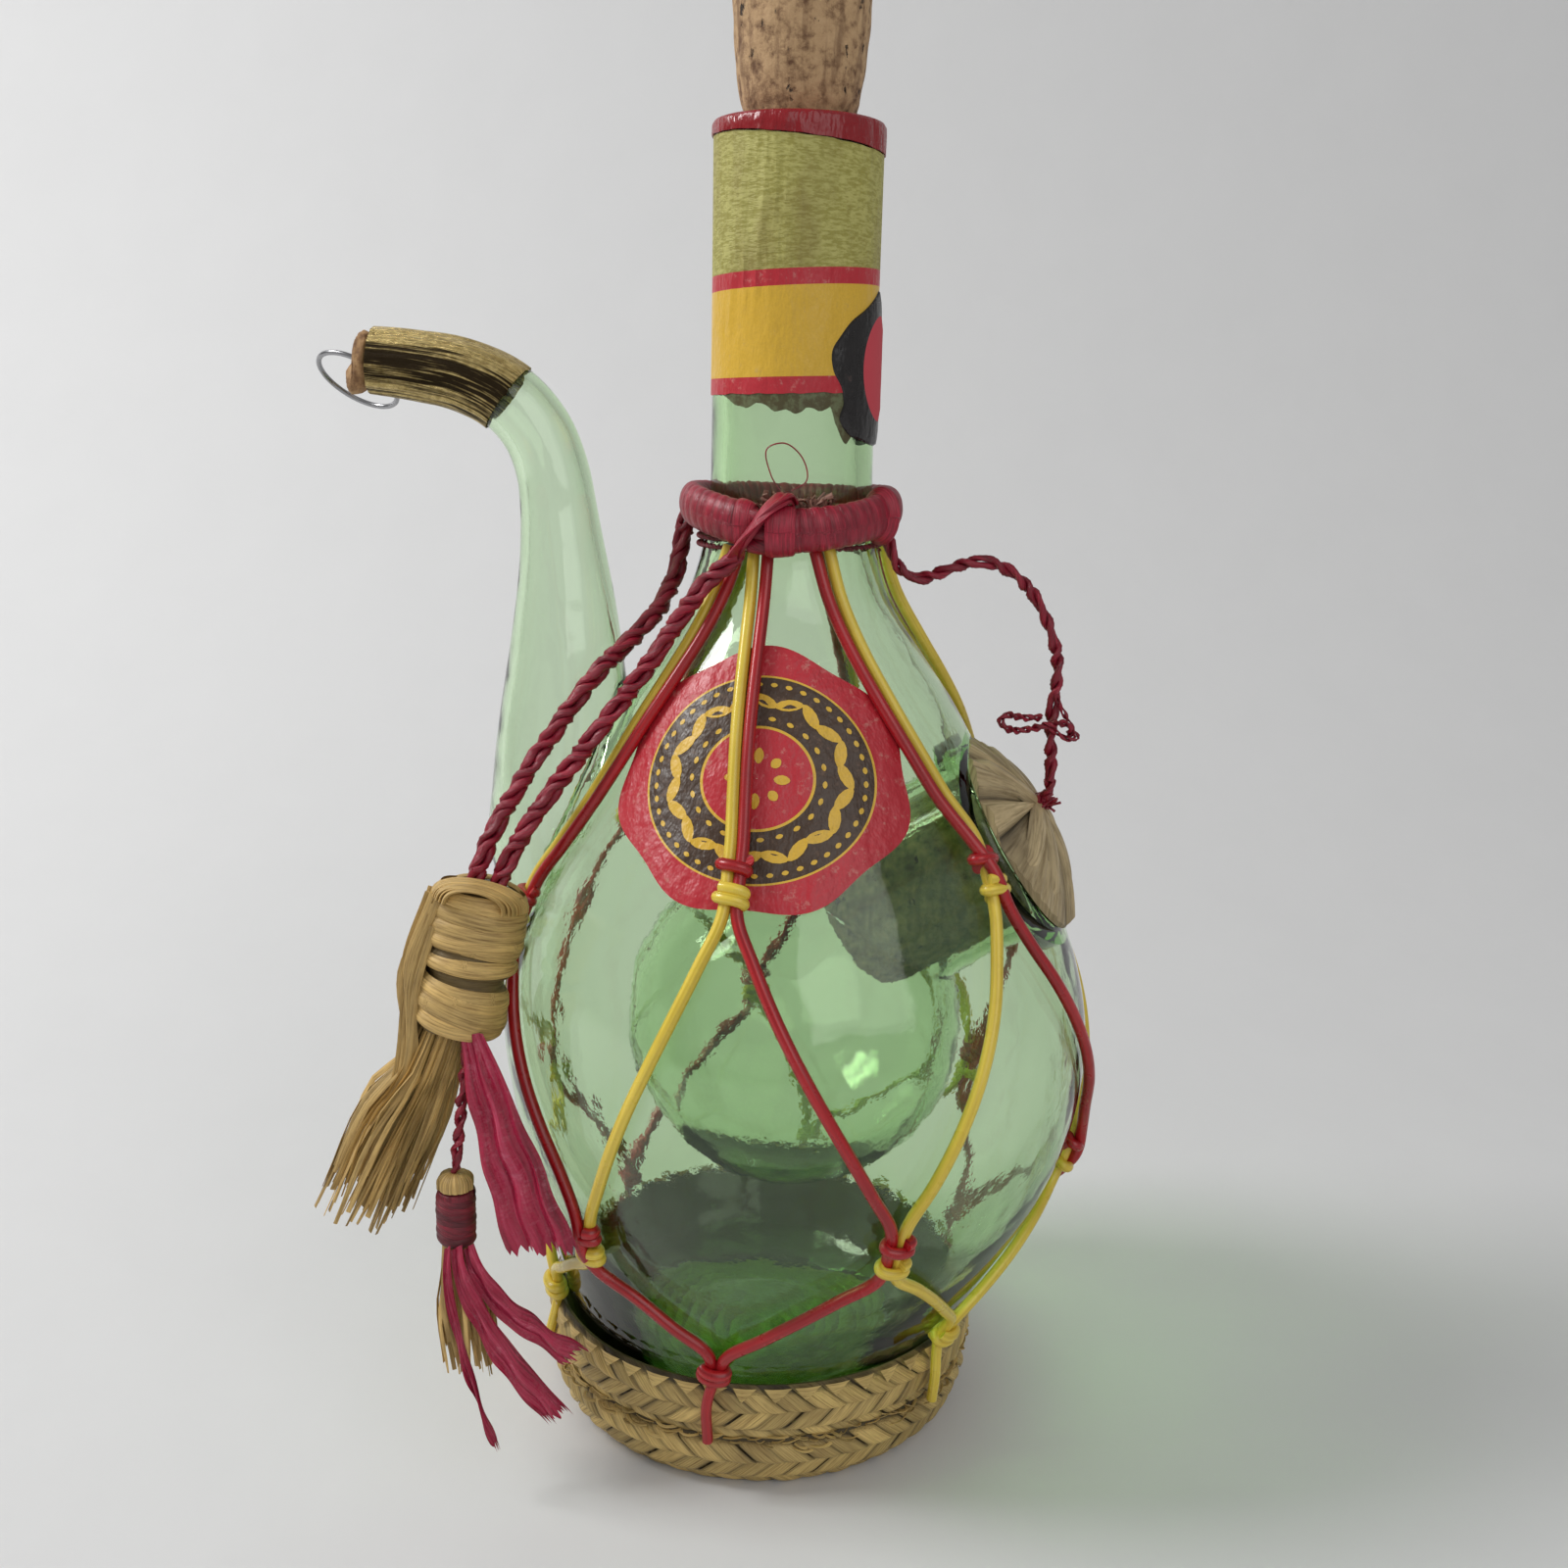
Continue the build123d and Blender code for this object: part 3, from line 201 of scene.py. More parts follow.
@dataclass
class Facets:
    """Points and faces of one piece, gathered in millimetres.

    Each point carries its grain: millimetres around, millimetres along, and a shade, mostly from 0 to 1, which on some
    pieces carries painted light and shade and then goes below 0.
    """

    points: list[Array] = field(default_factory=list)
    grains: list[Array] = field(default_factory=list)
    faces: list[tuple[int, ...]] = field(default_factory=list)
    finishes: list[int] = field(default_factory=list)
    count: int = 0

    def add(
        self, points: Array, faces: Iterable[Sequence[int]], grain: Array | None = None, finish: int = 0
    ) -> None:
        """Add a patch.

        Args:
            points: places of the patch.
            faces: corner numbers within the patch.
            grain: one row for each point.
            finish: number of the finish of these faces.
        """
        places = np.asarray(points, float).reshape(-1, 3)
        grain = np.zeros((len(places), 3)) if grain is None else np.asarray(grain, float).reshape(-1, 3)
        for corners in faces:
            self.faces.append(tuple(self.count + int(i) for i in corners))
            self.finishes.append(finish)
        self.points.append(places)
        self.grains.append(grain)
        self.count += len(places)

    def mesh(self, name: str, sharp_angle: float = 40.0) -> Mesh:
        """Make the Blender mesh, in metres, smooth up to an angle in degrees."""
        made = bpy.data.meshes.new(name)
        made.from_pydata((np.concatenate(self.points) * MM).tolist(), [], self.faces)
        made.polygons.foreach_set("material_index", self.finishes)
        attribute = made.attributes.new("grain", "FLOAT_VECTOR", "POINT")
        attribute.data.foreach_set("vector", np.concatenate(self.grains).astype(np.float32).ravel())
        made.shade_smooth()
        made.set_sharp_from_angle(angle=math.radians(sharp_angle))
        made.update()
        return made

    def piece(
        self,
        name: str,
        finishes: Sequence["Finish"],
        body: Body | None,
        replaces: Sequence[str] = (),
        sharp_angle: float = 40.0,
    ) -> bpy.types.Object:
        """Make the piece, dress it and put it on its body.

        Args:
            name: name of the piece.
            finishes: the finishes that the faces' numbers mean.
            body: what it rides on, or None for a piece left on no body.
            replaces: the CAD nodes that it stands for.
            sharp_angle: edges turn sharp above this angle in degrees.

        Returns:
            The Blender object.
        """
        return dressed(self.mesh(name, sharp_angle), finishes, body, replaces)


def dressed(
    mesh: Mesh,
    finishes: Sequence["Finish"],
    body: Body | None,
    replaces: Sequence[str] = (),
) -> bpy.types.Object:
    """Make an object of a mesh, with its finishes, its body and the nodes it stands for."""
    made = new_object(mesh.name, mesh)
    for finish in finishes:
        mesh.materials.append(finish.material())
    if body is not None:
        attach(made, body.value)
    if replaces:
        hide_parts(*replaces)
    LOG.info("piece %s, %d faces", mesh.name, len(mesh.polygons))
    return made


def grid_faces(rows: int, columns: int, closed: bool = True) -> list[tuple[int, int, int, int]]:
    """Number the quads of a grid, its rows closed into rings or open."""
    width = columns if closed else columns - 1
    return [
        (low + c, low + (c + 1) % columns, low + columns + (c + 1) % columns, low + columns + c)
        for low in range(0, (rows - 1) * columns, columns)
        for c in range(width)
    ]


def tube_faces(rows: int, sides: int) -> list[tuple[int, ...]]:
    """Number the quads of a tube and the faces that close its ends."""
    last = (rows - 1) * sides
    return [*grid_faces(rows, sides), tuple(reversed(range(sides))), tuple(last + k for k in range(sides))]


def full_turn(count: int) -> Array:
    """Angles spread evenly over a full turn."""
    return np.linspace(0, TURN, count, endpoint=False)


def grain_over(points: Array, *parts: Array | float) -> Array:
    """Spread the parts of the grain (across, along, shade) over a grid of points."""
    return np.stack([np.broadcast_to(part, points.shape[:2]) for part in parts], axis=-1)


def ringed(middle: Array | float, reach: Array | float, angle: Array, z: Array | float) -> Array:
    """Places round an upright axis at a middle X, by reach, azimuth in radians and height."""
    return np.stack(np.broadcast_arrays(middle + reach * np.sin(angle), -reach * np.cos(angle), z), axis=-1)


def beside(middle: float, reach: float, azimuth: float) -> Pair:
    """X and Y of one place round an upright axis, by reach and azimuth in degrees."""
    angle = math.radians(azimuth)
    return middle + reach * math.sin(angle), -reach * math.cos(angle)


def spread(line: Array, width: Array, across: Array, height: Array, out: Array) -> Array:
    """Grid of points beside a line, by steps across it and out of it.

    Args:
        line: the middle line.
        width: steps across, one row for all points of the line or one for each.
        across: one direction across, or one for each point.
        height: steps out, given like the steps across.
        out: one direction out, or one for each point.

    Returns:
        One row of places for each point of the line.
    """
    across, out = (np.broadcast_to(way, line.shape)[:, None, :] for way in (across, out))
    return line[:, None, :] + width[..., None] * across + height[..., None] * out


def circles(angles: Array, across: Array, other: Array) -> Array:
    """Unit circles in the planes of one direction and of each row of another."""
    return np.cos(angles)[None, :, None] * across + np.sin(angles)[None, :, None] * other[:, None, :]


def waves(rng: Random, angles: Array, counts: Sequence[int]) -> Array:
    """Mean of random waves round a full turn, of some counts of crests."""
    return sum(rng.uniform(0.3, 1) * np.sin(k * angles + rng.uniform(0, 6)) for k in counts) / len(counts)


def add_tube(
    facets: Facets,
    line: Array,
    radius: float | Array,
    sides: int = 12,
    flat: float = 1.0,
    spin: float = 0.0,
    start_angle: float = 0.0,
    shade: float = 0.5,
    finish: int = 0,
) -> None:
    """Add a tube with closed ends.

    Args:
        facets: what it is added to.
        line: its middle line.
        radius: one radius, or one for each point.
        sides: corners of its section.
        flat: thickness of the section as a share of its width.
        spin: radians that the section turns in a millimetre.
        start_angle: radians that the section is turned at its start.
        shade: shade carried by its points.
        finish: number of its finish.
    """
    places, side, other = frames_along(line)
    radii = np.broadcast_to(np.asarray(radius, float), (len(line),))
    turn = (start_angle + spin * places)[:, None]
    wide = side * np.cos(turn) + other * np.sin(turn)
    thick = other * np.cos(turn) - side * np.sin(turn)
    angles = full_turn(sides)
    ring = spread(line, radii[:, None] * np.cos(angles), wide, radii[:, None] * flat * np.sin(angles), thick)
    around = np.abs(np.linspace(-1, 1, sides, endpoint=False))[None, :] * radii[:, None] * math.pi
    facets.add(ring, tube_faces(len(line), sides), grain_over(ring, around, places[:, None], shade), finish)


def add_twist(
    facets: Facets,
    line: Array,
    outer_radius: float,
    pitch: float,
    strands: int = 2,
    flat: float = 1.0,
    wobble: float = 0.0,
    shades: Sequence[float] = (0.35, 0.65, 0.5),
    finish: int = 0,
) -> None:
    """Add a cord of strands laid round each other.

    Args:
        facets: what it is added to.
        line: its middle line.
        outer_radius: half the cord's whole width.
        pitch: length of a full turn.
        strands: number of strands.
        flat: thickness of a strand as a share of its width.
        wobble: share by which the lay changes along the cord.
        shades: shade of each strand.
        finish: number of its finish.
    """
    dense = respaced(line, pitch / 14)
    places, side, other = frames_along(dense)
    strand_radius = outer_radius * (0.56 if strands == 2 else 0.50)
    laid = outer_radius - strand_radius * (2 + flat) / 3
    phase = TURN * places / pitch + wobble * np.sin(places * 0.41) + wobble * np.sin(places * 0.97 + 1)
    for k in range(strands):
        angle = (phase + TURN * k / strands)[:, None]
        strand = dense + laid * (np.cos(angle) * side + np.sin(angle) * other)
        swell = strand_radius * (1 + 0.12 * wobble * np.sin(places * 0.8 + 2 * k))
        add_tube(
            facets, strand, swell, sides=8, flat=flat, spin=TURN / pitch, start_angle=k,
            shade=shades[k % len(shades)], finish=finish,
        )


def add_lathe(facets: Facets, profile: Sequence[Pair], centre: Pair, sides: int = 96) -> None:
    """Add a round solid from its axis to its axis.

    Args:
        facets: what it is added to.
        profile: rows of radius and height, radius above 0 but for both ends.
        centre: place of the axis in X and Y.
        sides: corners of a ring.
    """
    rows = np.asarray(profile, float)
    angles = full_turn(sides)
    ring_rows = rows[1:-1]
    points = ringed(centre[0], ring_rows[:, :1], angles, ring_rows[:, 1:]) + (0.0, centre[1], 0.0)
    count = len(ring_rows) * sides
    faces: list[tuple[int, ...]] = list(grid_faces(len(ring_rows), sides))
    faces += [(count, (k + 1) % sides, k) for k in range(sides)]
    low = count - sides
    faces += [(count + 1, low + k, low + (k + 1) % sides) for k in range(sides)]
    ends = [(centre[0], centre[1], rows[0, 1]), (centre[0], centre[1], rows[-1, 1])]
    grain_rows = grain_over(points, angles * rows[:, 0].max(), ring_rows[:, 1:], 0.5)
    grain = np.concatenate([grain_rows.reshape(-1, 3), np.zeros((2, 3))])
    facets.add(np.concatenate([points.reshape(-1, 3), np.array(ends)]), faces, grain)


class Join(Enum):
    """Ways in which two solids are joined."""

    UNION = "UNION"
    DIFFERENCE = "DIFFERENCE"


def joined(first: Mesh, second: Mesh, way: Join) -> Mesh:
    """Join two closed meshes into one."""
    holders = [new_object(f"joining_{mesh.name}", mesh) for mesh in (first, second)]
    modifier = holders[0].modifiers.new("join", "BOOLEAN")
    modifier.operation = way.value
    modifier.solver = "MANIFOLD"
    modifier.object = holders[1]
    bpy.context.view_layer.update()
    made = bpy.data.meshes.new_from_object(holders[0].evaluated_get(bpy.context.evaluated_depsgraph_get()))
    for holder in holders:
        bpy.data.objects.remove(holder)
    return made


# Finishes


class Graph:
    """Short ways to lay a material's nodes."""

    def __init__(self, name: str) -> None:
        """Start a material with one surface shader."""
        self.material = bpy.data.materials.new(name)
        self.material.use_nodes = True
        self.nodes = self.material.node_tree.nodes
        self.links = self.material.node_tree.links
        self.shader = self.nodes["Principled BSDF"]
        self.output = self.nodes["Material Output"]

    def put(self, kind: str, links: dict[str | int, Socket] | None = None, **values: object) -> bpy.types.Node:
        """Add a node, set its settings and inputs, and link its inputs."""
        node = self.nodes.new(kind)
        for name, value in values.items():
            if hasattr(node, name):
                setattr(node, name, value)
            else:
                node.inputs[name.replace("_", " ")].default_value = value
        for name, socket in (links or {}).items():
            self.links.new(socket, node.inputs[name])
        return node

    def stretched(self, vector: Socket, stretch: Triple) -> Socket:
        """Stretch a vector."""
        node = self.put("ShaderNodeVectorMath", {0: vector}, operation="MULTIPLY")
        node.inputs[1].default_value = stretch
        return node.outputs[0]

    def place(self, stretch: Triple = (1.0, 1.0, 1.0)) -> Socket:
        """Object place in millimetres, stretched."""
        return self.stretched(self.put("ShaderNodeTexCoord").outputs["Object"], tuple(s / MM for s in stretch))

    def grain(self, stretch: Triple) -> Socket:
        """Grain of the piece, stretched."""
        return self.stretched(self.put("ShaderNodeAttribute", attribute_name="grain").outputs["Vector"], stretch)

    def shade(self) -> Socket:
        """Shade of the piece's points."""
        grain = self.put("ShaderNodeAttribute", attribute_name="grain").outputs["Vector"]
        return self.put("ShaderNodeSeparateXYZ", {"Vector": grain}).outputs["Z"]

    def noise(self, vector: Socket, scale: float, detail: float = 3.0, rough: float = 0.5) -> Socket:
        """Soft noise over a vector."""
        node = self.put("ShaderNodeTexNoise", {"Vector": vector}, Scale=scale, Detail=detail, Roughness=rough)
        return node.outputs["Fac"]

    def ramp(self, value: Socket, stops: Sequence[tuple[float, Triple]]) -> Socket:
        """Colour of a value, from stops of place and colour."""
        node = self.put("ShaderNodeValToRGB", {"Fac": value})
        elements = node.color_ramp.elements
        while len(elements) < len(stops):
            elements.new(0.5)
        for element, (place, colour) in zip(elements, stops):
            element.position = place
            element.color = (*colour, 1.0)
        return node.outputs["Color"]

    def total(self, *parts: Socket) -> Socket:
        """Sum of two values."""
        return self.put("ShaderNodeMath", dict(enumerate(parts)), operation="ADD").outputs[0]

    def toned(self, colour: Socket, low: float, low_tone: float, high_tone: float) -> Socket:
        """Darken or lighten a colour by the shade, which runs from a low value to 1."""
        tone = self.span(self.shade(), low, 1.0, low_tone, high_tone)
        return self.put("ShaderNodeHueSaturation", {"Color": colour, "Value": tone}).outputs[0]

    def span(self, value: Socket, low: float, high: float, to_low: float = 0.0, to_high: float = 1.0) -> Socket:
        """Carry a value from one range to another, held within it."""
        node = self.put("ShaderNodeMapRange", {"Value": value}, clamp=True)
        for name, number in (("From Min", low), ("From Max", high), ("To Min", to_low), ("To Max", to_high)):
            node.inputs[name].default_value = number
        return node.outputs["Result"]

    def blend(self, share: Socket, first: Socket | Triple, second: Socket | Triple) -> Socket:
        """Blend two colours by a share."""
        node = self.put("ShaderNodeMix", data_type="RGBA", blend_type="MIX")
        self.links.new(share, node.inputs[0])
        for index, colour in ((6, first), (7, second)):
            if isinstance(colour, tuple):
                node.inputs[index].default_value = (*colour, 1.0)
            else:
                self.links.new(colour, node.inputs[index])
        return node.outputs[2]

    def bump(self, height: Socket, depth: float, strength: float = 1.0, under: Socket | None = None) -> Socket:
        """Tilt the surface by a height.

        Args:
            height: value from 0 to 1.
            depth: its size in millimetres.
            strength: share of it that shows.
            under: bump that it lies on.

        Returns:
            The normal socket.
        """
        links = {"Height": height}
        if under is not None:
            links["Normal"] = under
        node = self.put("ShaderNodeBump", links, Strength=strength, Distance=depth * MM)
        return node.outputs["Normal"]

    def finish(
        self,
        colour: Socket | Triple | None = None,
        normal: Socket | None = None,
        roughness: Socket | float | None = None,
        **values: float | tuple[float, ...],
    ) -> Material:
        """Link the surface shader and hand over the material."""
        for name, value in (("Base Color", colour), ("Roughness", roughness), ("Normal", normal)):
            if value is None:
                continue
            if isinstance(value, Socket):
                self.links.new(value, self.shader.inputs[name])
            else:
                self.shader.inputs[name].default_value = (*value, 1.0) if isinstance(value, tuple) else value
        for name, value in values.items():
            self.shader.inputs[name.replace("_", " ")].default_value = value
        return self.material


def tinted(colour: Triple, factor: float, more: float = 0.0) -> Triple:
    """Lighten or darken a colour."""
    return tuple(min(1.0, part * factor + more) for part in colour)


@dataclass(frozen=True)
class Finish:
    """Surface finish of pieces; its material is made once."""

    name: str

    def material(self) -> Material:
        """Hand over the material, made at the first call."""
        return bpy.data.materials.get(self.name) or self.laid(Graph(self.name))

    def laid(self, graph: Graph) -> Material:
        """Lay the material's nodes."""
        raise NotImplementedError


@dataclass(frozen=True)
class BottleGlass(Finish):
    """Tinted blown glass with slight waves and a fine ripple, that lets lamps through."""

    face_colour: Triple = (0.96, 0.99, 0.95)
    soaked_colour: Triple = (0.40, 0.76, 0.18)
    density: float = 118.0
    lamp_colour: Triple = (0.72, 0.78, 0.70)

    def laid(self, graph: Graph) -> Material:
        """Lay the material's nodes."""
        place = graph.place()
        wave = graph.noise(place, 0.055, detail=2.0)
        fine = graph.noise(place, 0.9, detail=2.0)
        normal = graph.bump(fine, 0.012, under=graph.bump(wave, 0.5))
        material = graph.finish(self.face_colour, normal, roughness=0.015, Transmission_Weight=1.0, IOR=1.47)
        soaked = graph.put("ShaderNodeVolumeAbsorption", Density=self.density, Color=(*self.soaked_colour, 1.0))
        graph.links.new(soaked.outputs[0], graph.output.inputs["Volume"])
        clear = graph.put("ShaderNodeBsdfTransparent", Color=(*self.lamp_colour, 1.0)).outputs[0]
        shadow = graph.put("ShaderNodeLightPath").outputs["Is Shadow Ray"]
        mix = graph.put("ShaderNodeMixShader", {0: shadow, 1: graph.shader.outputs[0], 2: clear})
        graph.links.new(mix.outputs[0], graph.output.inputs["Surface"])
        return material


@dataclass(frozen=True)
class CorkBark(Finish):
    """Natural cork with long pores."""

    light: Triple = (0.47, 0.30, 0.155)
    dark: Triple = (0.13, 0.06, 0.026)
    pale: Triple = (0.56, 0.37, 0.20)
    pore: Triple = (0.035, 0.018, 0.009)

    def laid(self, graph: Graph) -> Material:
        """Lay the material's nodes."""
        place = graph.place()
        body = graph.noise(place, 0.45, detail=6.0, rough=0.65)
        streaks = graph.noise(graph.place((1.0, 1.0, 0.04)), 0.5, rough=0.6)
        pores = graph.noise(graph.place((1.0, 1.0, 0.55)), 0.42, detail=5.0, rough=0.62)
        holes = graph.span(pores, 0.31, 0.36)
        colour = graph.ramp(body, [(0.32, self.dark), (0.52, self.light), (0.72, self.pale)])
        colour = graph.blend(graph.span(streaks, 0.48, 0.66, 0.0, 0.6), colour, self.dark)
        colour = graph.blend(holes, self.pore, colour)
        normal = graph.bump(holes, 0.9, under=graph.bump(body, 0.4))
        return graph.finish(colour, normal, roughness=0.82)


@dataclass(frozen=True)
class Raffia(Finish):
    """Dyed raffia with fine lines along the strand."""

    light: Triple = (0.62, 0.05, 0.10)
    dark: Triple = (0.22, 0.006, 0.02)
    gloss: float = 0.36
    across_scale: float = 4.0

    def laid(self, graph: Graph) -> Material:
        """Lay the material's nodes."""
        lines = graph.noise(graph.grain((self.across_scale, 0.22, 3.0)), 1.0, detail=4.0, rough=0.6)
        patches = graph.noise(graph.place(), 0.35)
        colour = graph.ramp(lines, [(0.30, self.dark), (0.62, self.light), (0.80, tinted(self.light, 1.5, more=0.05))])
        colour = graph.blend(graph.span(patches, 0.3, 0.7, 0.0, 0.35), colour, self.dark)
        rough = graph.span(lines, 0.3, 0.8, self.gloss + 0.12, self.gloss)
        return graph.finish(
            graph.toned(colour, low=0.0, low_tone=0.55, high_tone=1.25), graph.bump(lines, 0.16),
            roughness=rough, Specular_IOR_Level=0.55,
        )


@dataclass(frozen=True)
class Straw(Finish):
    """Dry straw or leaf with long fibres, darkened by painted shade where its points carry a shade below zero."""

    light: Triple = (0.60, 0.43, 0.15)
    dark: Triple = (0.24, 0.145, 0.04)
    across_scale: float = 3.2

    def laid(self, graph: Graph) -> Material:
        """Lay the material's nodes."""
        fibres = graph.noise(graph.grain((self.across_scale, 0.16, 5.0)), 1.0, detail=5.0, rough=0.62)
        patches = graph.noise(graph.place(), 0.16, detail=4.0)
        colour = graph.ramp(fibres, [(0.28, self.dark), (0.55, self.light), (0.82, tinted(self.light, 1.18))])
        colour = graph.blend(graph.span(patches, 0.42, 0.75, 0.0, 0.45), colour, self.dark)
        rough = graph.span(fibres, 0.3, 0.7, 0.62, 0.45)
        # Shade below zero, set on points in gaps, valleys, edges and cores, darkens the colour as painted shade.
        return graph.finish(
            graph.toned(colour, low=-1.0, low_tone=0.10, high_tone=1.2), graph.bump(fibres, 0.14), roughness=rough
        )


@dataclass(frozen=True)
class GoldFoil(Finish):
    """Gold foil pressed into lengthwise pleats, with painted shade in the pleats and painted light by angle round the
    spout.
    """

    dull: Triple = (0.40, 0.29, 0.10)
    bright: Triple = (0.72, 0.56, 0.24)
    # Near-black colour of the painted shade in the pleats and on the foil's shaded side.
    pleat_painted_shade: Triple = (0.030, 0.019, 0.007)

    def laid(self, graph: Graph) -> Material:
        """Lay the material's nodes."""
        pleats = graph.noise(graph.grain((1.7, 0.06, 0.2)), 1.0, detail=5.0, rough=0.62)
        crush = graph.noise(graph.place(), 0.9, detail=4.0, rough=0.65)
        # The points' shade is painted light by angle round the spout; with the pleats it picks painted shade or bright
        # gold.
        kept = graph.total(pleats, graph.span(graph.shade(), 0.0, 1.0, -0.13, 0.20))
        gold = graph.blend(graph.span(crush, 0.35, 0.65), self.dull, self.bright)
        colour = graph.blend(graph.span(kept, 0.42, 0.56), self.pleat_painted_shade, gold)
        normal = graph.bump(crush, 0.30, strength=0.8, under=graph.bump(pleats, 0.8))
        return graph.finish(colour, normal, roughness=graph.span(kept, 0.42, 0.6, 0.6, 0.27), Metallic=0.85)


@dataclass(frozen=True)
class Wire(Finish):
    """Bright drawn wire."""

    colour: Triple = (0.34, 0.34, 0.35)

    def laid(self, graph: Graph) -> Material:
        """Lay the material's nodes."""
        lines = graph.noise(graph.grain((3.0, 0.3, 1.0)), 1.0, detail=2.0)
        rough = graph.span(lines, 0.3, 0.7, 0.2, 0.34)
        return graph.finish(self.colour, graph.bump(lines, 0.02), roughness=rough, Metallic=1.0)


@dataclass(frozen=True)
class CordPlastic(Finish):
    """Glossy plastic cord, faintly ribbed along its length."""

    light: Triple
    dark: Triple

    def laid(self, graph: Graph) -> Material:
        """Lay the material's nodes."""
        lines = graph.noise(graph.grain((1.6, 0.035, 2.0)), 1.0, detail=2.0)
        wear = graph.noise(graph.place(), 0.28, detail=4.0)
        colour = graph.ramp(lines, [(0.3, self.dark), (0.65, self.light)])
        colour = graph.blend(graph.span(wear, 0.52, 0.75, 0.0, 0.4), colour, self.dark)
        return graph.finish(
            colour, graph.bump(lines, 0.10), roughness=graph.span(wear, 0.3, 0.7, 0.24, 0.36),
            Subsurface_Weight=0.12, Subsurface_Radius=(0.001, 0.0006, 0.0004), Coat_Weight=0.15,
        )


@dataclass(frozen=True)
class PrintedPaper(Finish):
    """Coated paper in one ink, with creases and scuffs."""

    ink: Triple
    worn: Triple
    wear: float = 0.10
    gloss: float = 0.34
    crease: float = 0.25

    def laid(self, graph: Graph) -> Material:
        """Lay the material's nodes."""
        place = graph.place()
        creases = graph.noise(graph.place((1.0, 1.0, 0.45)), 0.16, detail=4.0, rough=0.6)
        fibre = graph.noise(place, 2.6)
        scuffs = graph.noise(place, 0.55, detail=6.0, rough=0.72)
        tone = graph.blend(graph.span(fibre, 0.3, 0.7, 0.0, 0.22), self.ink, tinted(self.ink, 0.6))
        colour = graph.blend(graph.span(scuffs, 0.66 - self.wear, 0.78 - self.wear, 0.0, 0.55), tone, self.worn)
        normal = graph.bump(fibre, 0.02, under=graph.bump(creases, self.crease * 4))
        return graph.finish(colour, normal, roughness=graph.span(scuffs, 0.4, 0.7, self.gloss, self.gloss + 0.2))


@dataclass(frozen=True)
class LinenPaper(Finish):
    """Olive paper pressed with a fine cloth pattern."""

    deep: Triple = (0.32, 0.29, 0.06)
    pale: Triple = (0.47, 0.44, 0.135)
    stain: Triple = (0.20, 0.14, 0.03)

    def laid(self, graph: Graph) -> Material:
        """Lay the material's nodes."""
        warp = graph.noise(graph.grain((1.1, 3.4, 1.0)), 1.0, detail=2.0)
        weft = graph.noise(graph.grain((0.5, 1.9, 1.0)), 1.0, detail=2.0)
        weave = graph.span(graph.total(warp, weft), 0.82, 1.18)
        stains = graph.noise(graph.grain((0.12, 0.05, 1.0)), 1.0, detail=4.0, rough=0.6)
        colour = graph.ramp(weave, [(0.1, self.deep), (0.9, self.pale)])
        colour = graph.blend(graph.span(stains, 0.5, 0.72, 0.0, 0.55), colour, self.stain)
        creases = graph.noise(graph.grain((0.30, 0.06, 1.0)), 1.0)
        return graph.finish(colour, graph.bump(weave, 0.06, under=graph.bump(creases, 0.9)), roughness=0.6)


@dataclass(frozen=True)
class RibbonFilm(Finish):
    """Thin crinkled ribbon that lets some light through, with painted glints on its crinkles."""

    dark: Triple = (0.17, 0.003, 0.018)
    red: Triple = (0.42, 0.016, 0.060)
    light: Triple = (0.62, 0.08, 0.16)
    painted_glint: Triple = (0.74, 0.26, 0.36)

    def laid(self, graph: Graph) -> Material:
        """Lay the material's nodes."""
        lines = graph.noise(graph.grain((0.9, 0.05, 1.0)), 1.0, detail=4.0, rough=0.6)
        crinkle = graph.noise(graph.grain((0.35, 0.45, 1.0)), 1.0, detail=5.0, rough=0.6)
        colour = graph.ramp(lines, [(0.28, self.dark), (0.55, self.red), (0.8, self.light)])
        # Painted highlight: the crinkles are blended towards a pale glint colour.
        colour = graph.blend(graph.span(crinkle, 0.58, 0.78, 0.0, 0.32), colour, self.painted_glint)
        normal = graph.bump(crinkle, 0.5, under=graph.bump(lines, 0.25))
        return graph.finish(
            colour, normal, roughness=0.26, Subsurface_Weight=0.2, Subsurface_Radius=(0.002, 0.0006, 0.0008)
        )


@dataclass(frozen=True)
class PaleSweep(Finish):
    """Matt pale paper of floor and backdrop."""

    colour: Triple = (0.70, 0.70, 0.70)

    def laid(self, graph: Graph) -> Material:
        """Lay the material's nodes."""
        grain = graph.noise(graph.place(), 0.03, detail=5.0)
        tone = graph.blend(graph.span(grain, 0.3, 0.7, 0.0, 0.10), self.colour, tinted(self.colour, 0.86))
        return graph.finish(tone, graph.bump(grain, 0.5), roughness=0.85)


BOTTLE_GLASS = BottleGlass("bottle_glass")
NECK_CORK_BARK = CorkBark("neck_cork_bark")
SPOUT_CORK_BARK = CorkBark("spout_cork_bark", (0.40, 0.23, 0.10), (0.15, 0.07, 0.03))
PLUG_BARK = CorkBark("plug_bark", (0.30, 0.24, 0.12), (0.10, 0.075, 0.035))
HOOP_RAFFIA = Raffia("hoop_raffia", (0.42, 0.012, 0.040), (0.13, 0.002, 0.009), gloss=0.30)
CORD_RAFFIA = Raffia("cord_raffia", (0.44, 0.010, 0.040), (0.12, 0.002, 0.010), gloss=0.27, across_scale=5.0)
BINDING_RAFFIA = Raffia("binding_raffia", (0.27, 0.010, 0.028), (0.07, 0.002, 0.008), gloss=0.40, across_scale=5.0)
BASE_STRAW = Straw("base_straw")
TASSEL_STRAW = Straw("tassel_straw", (0.64, 0.43, 0.15), (0.25, 0.145, 0.04))
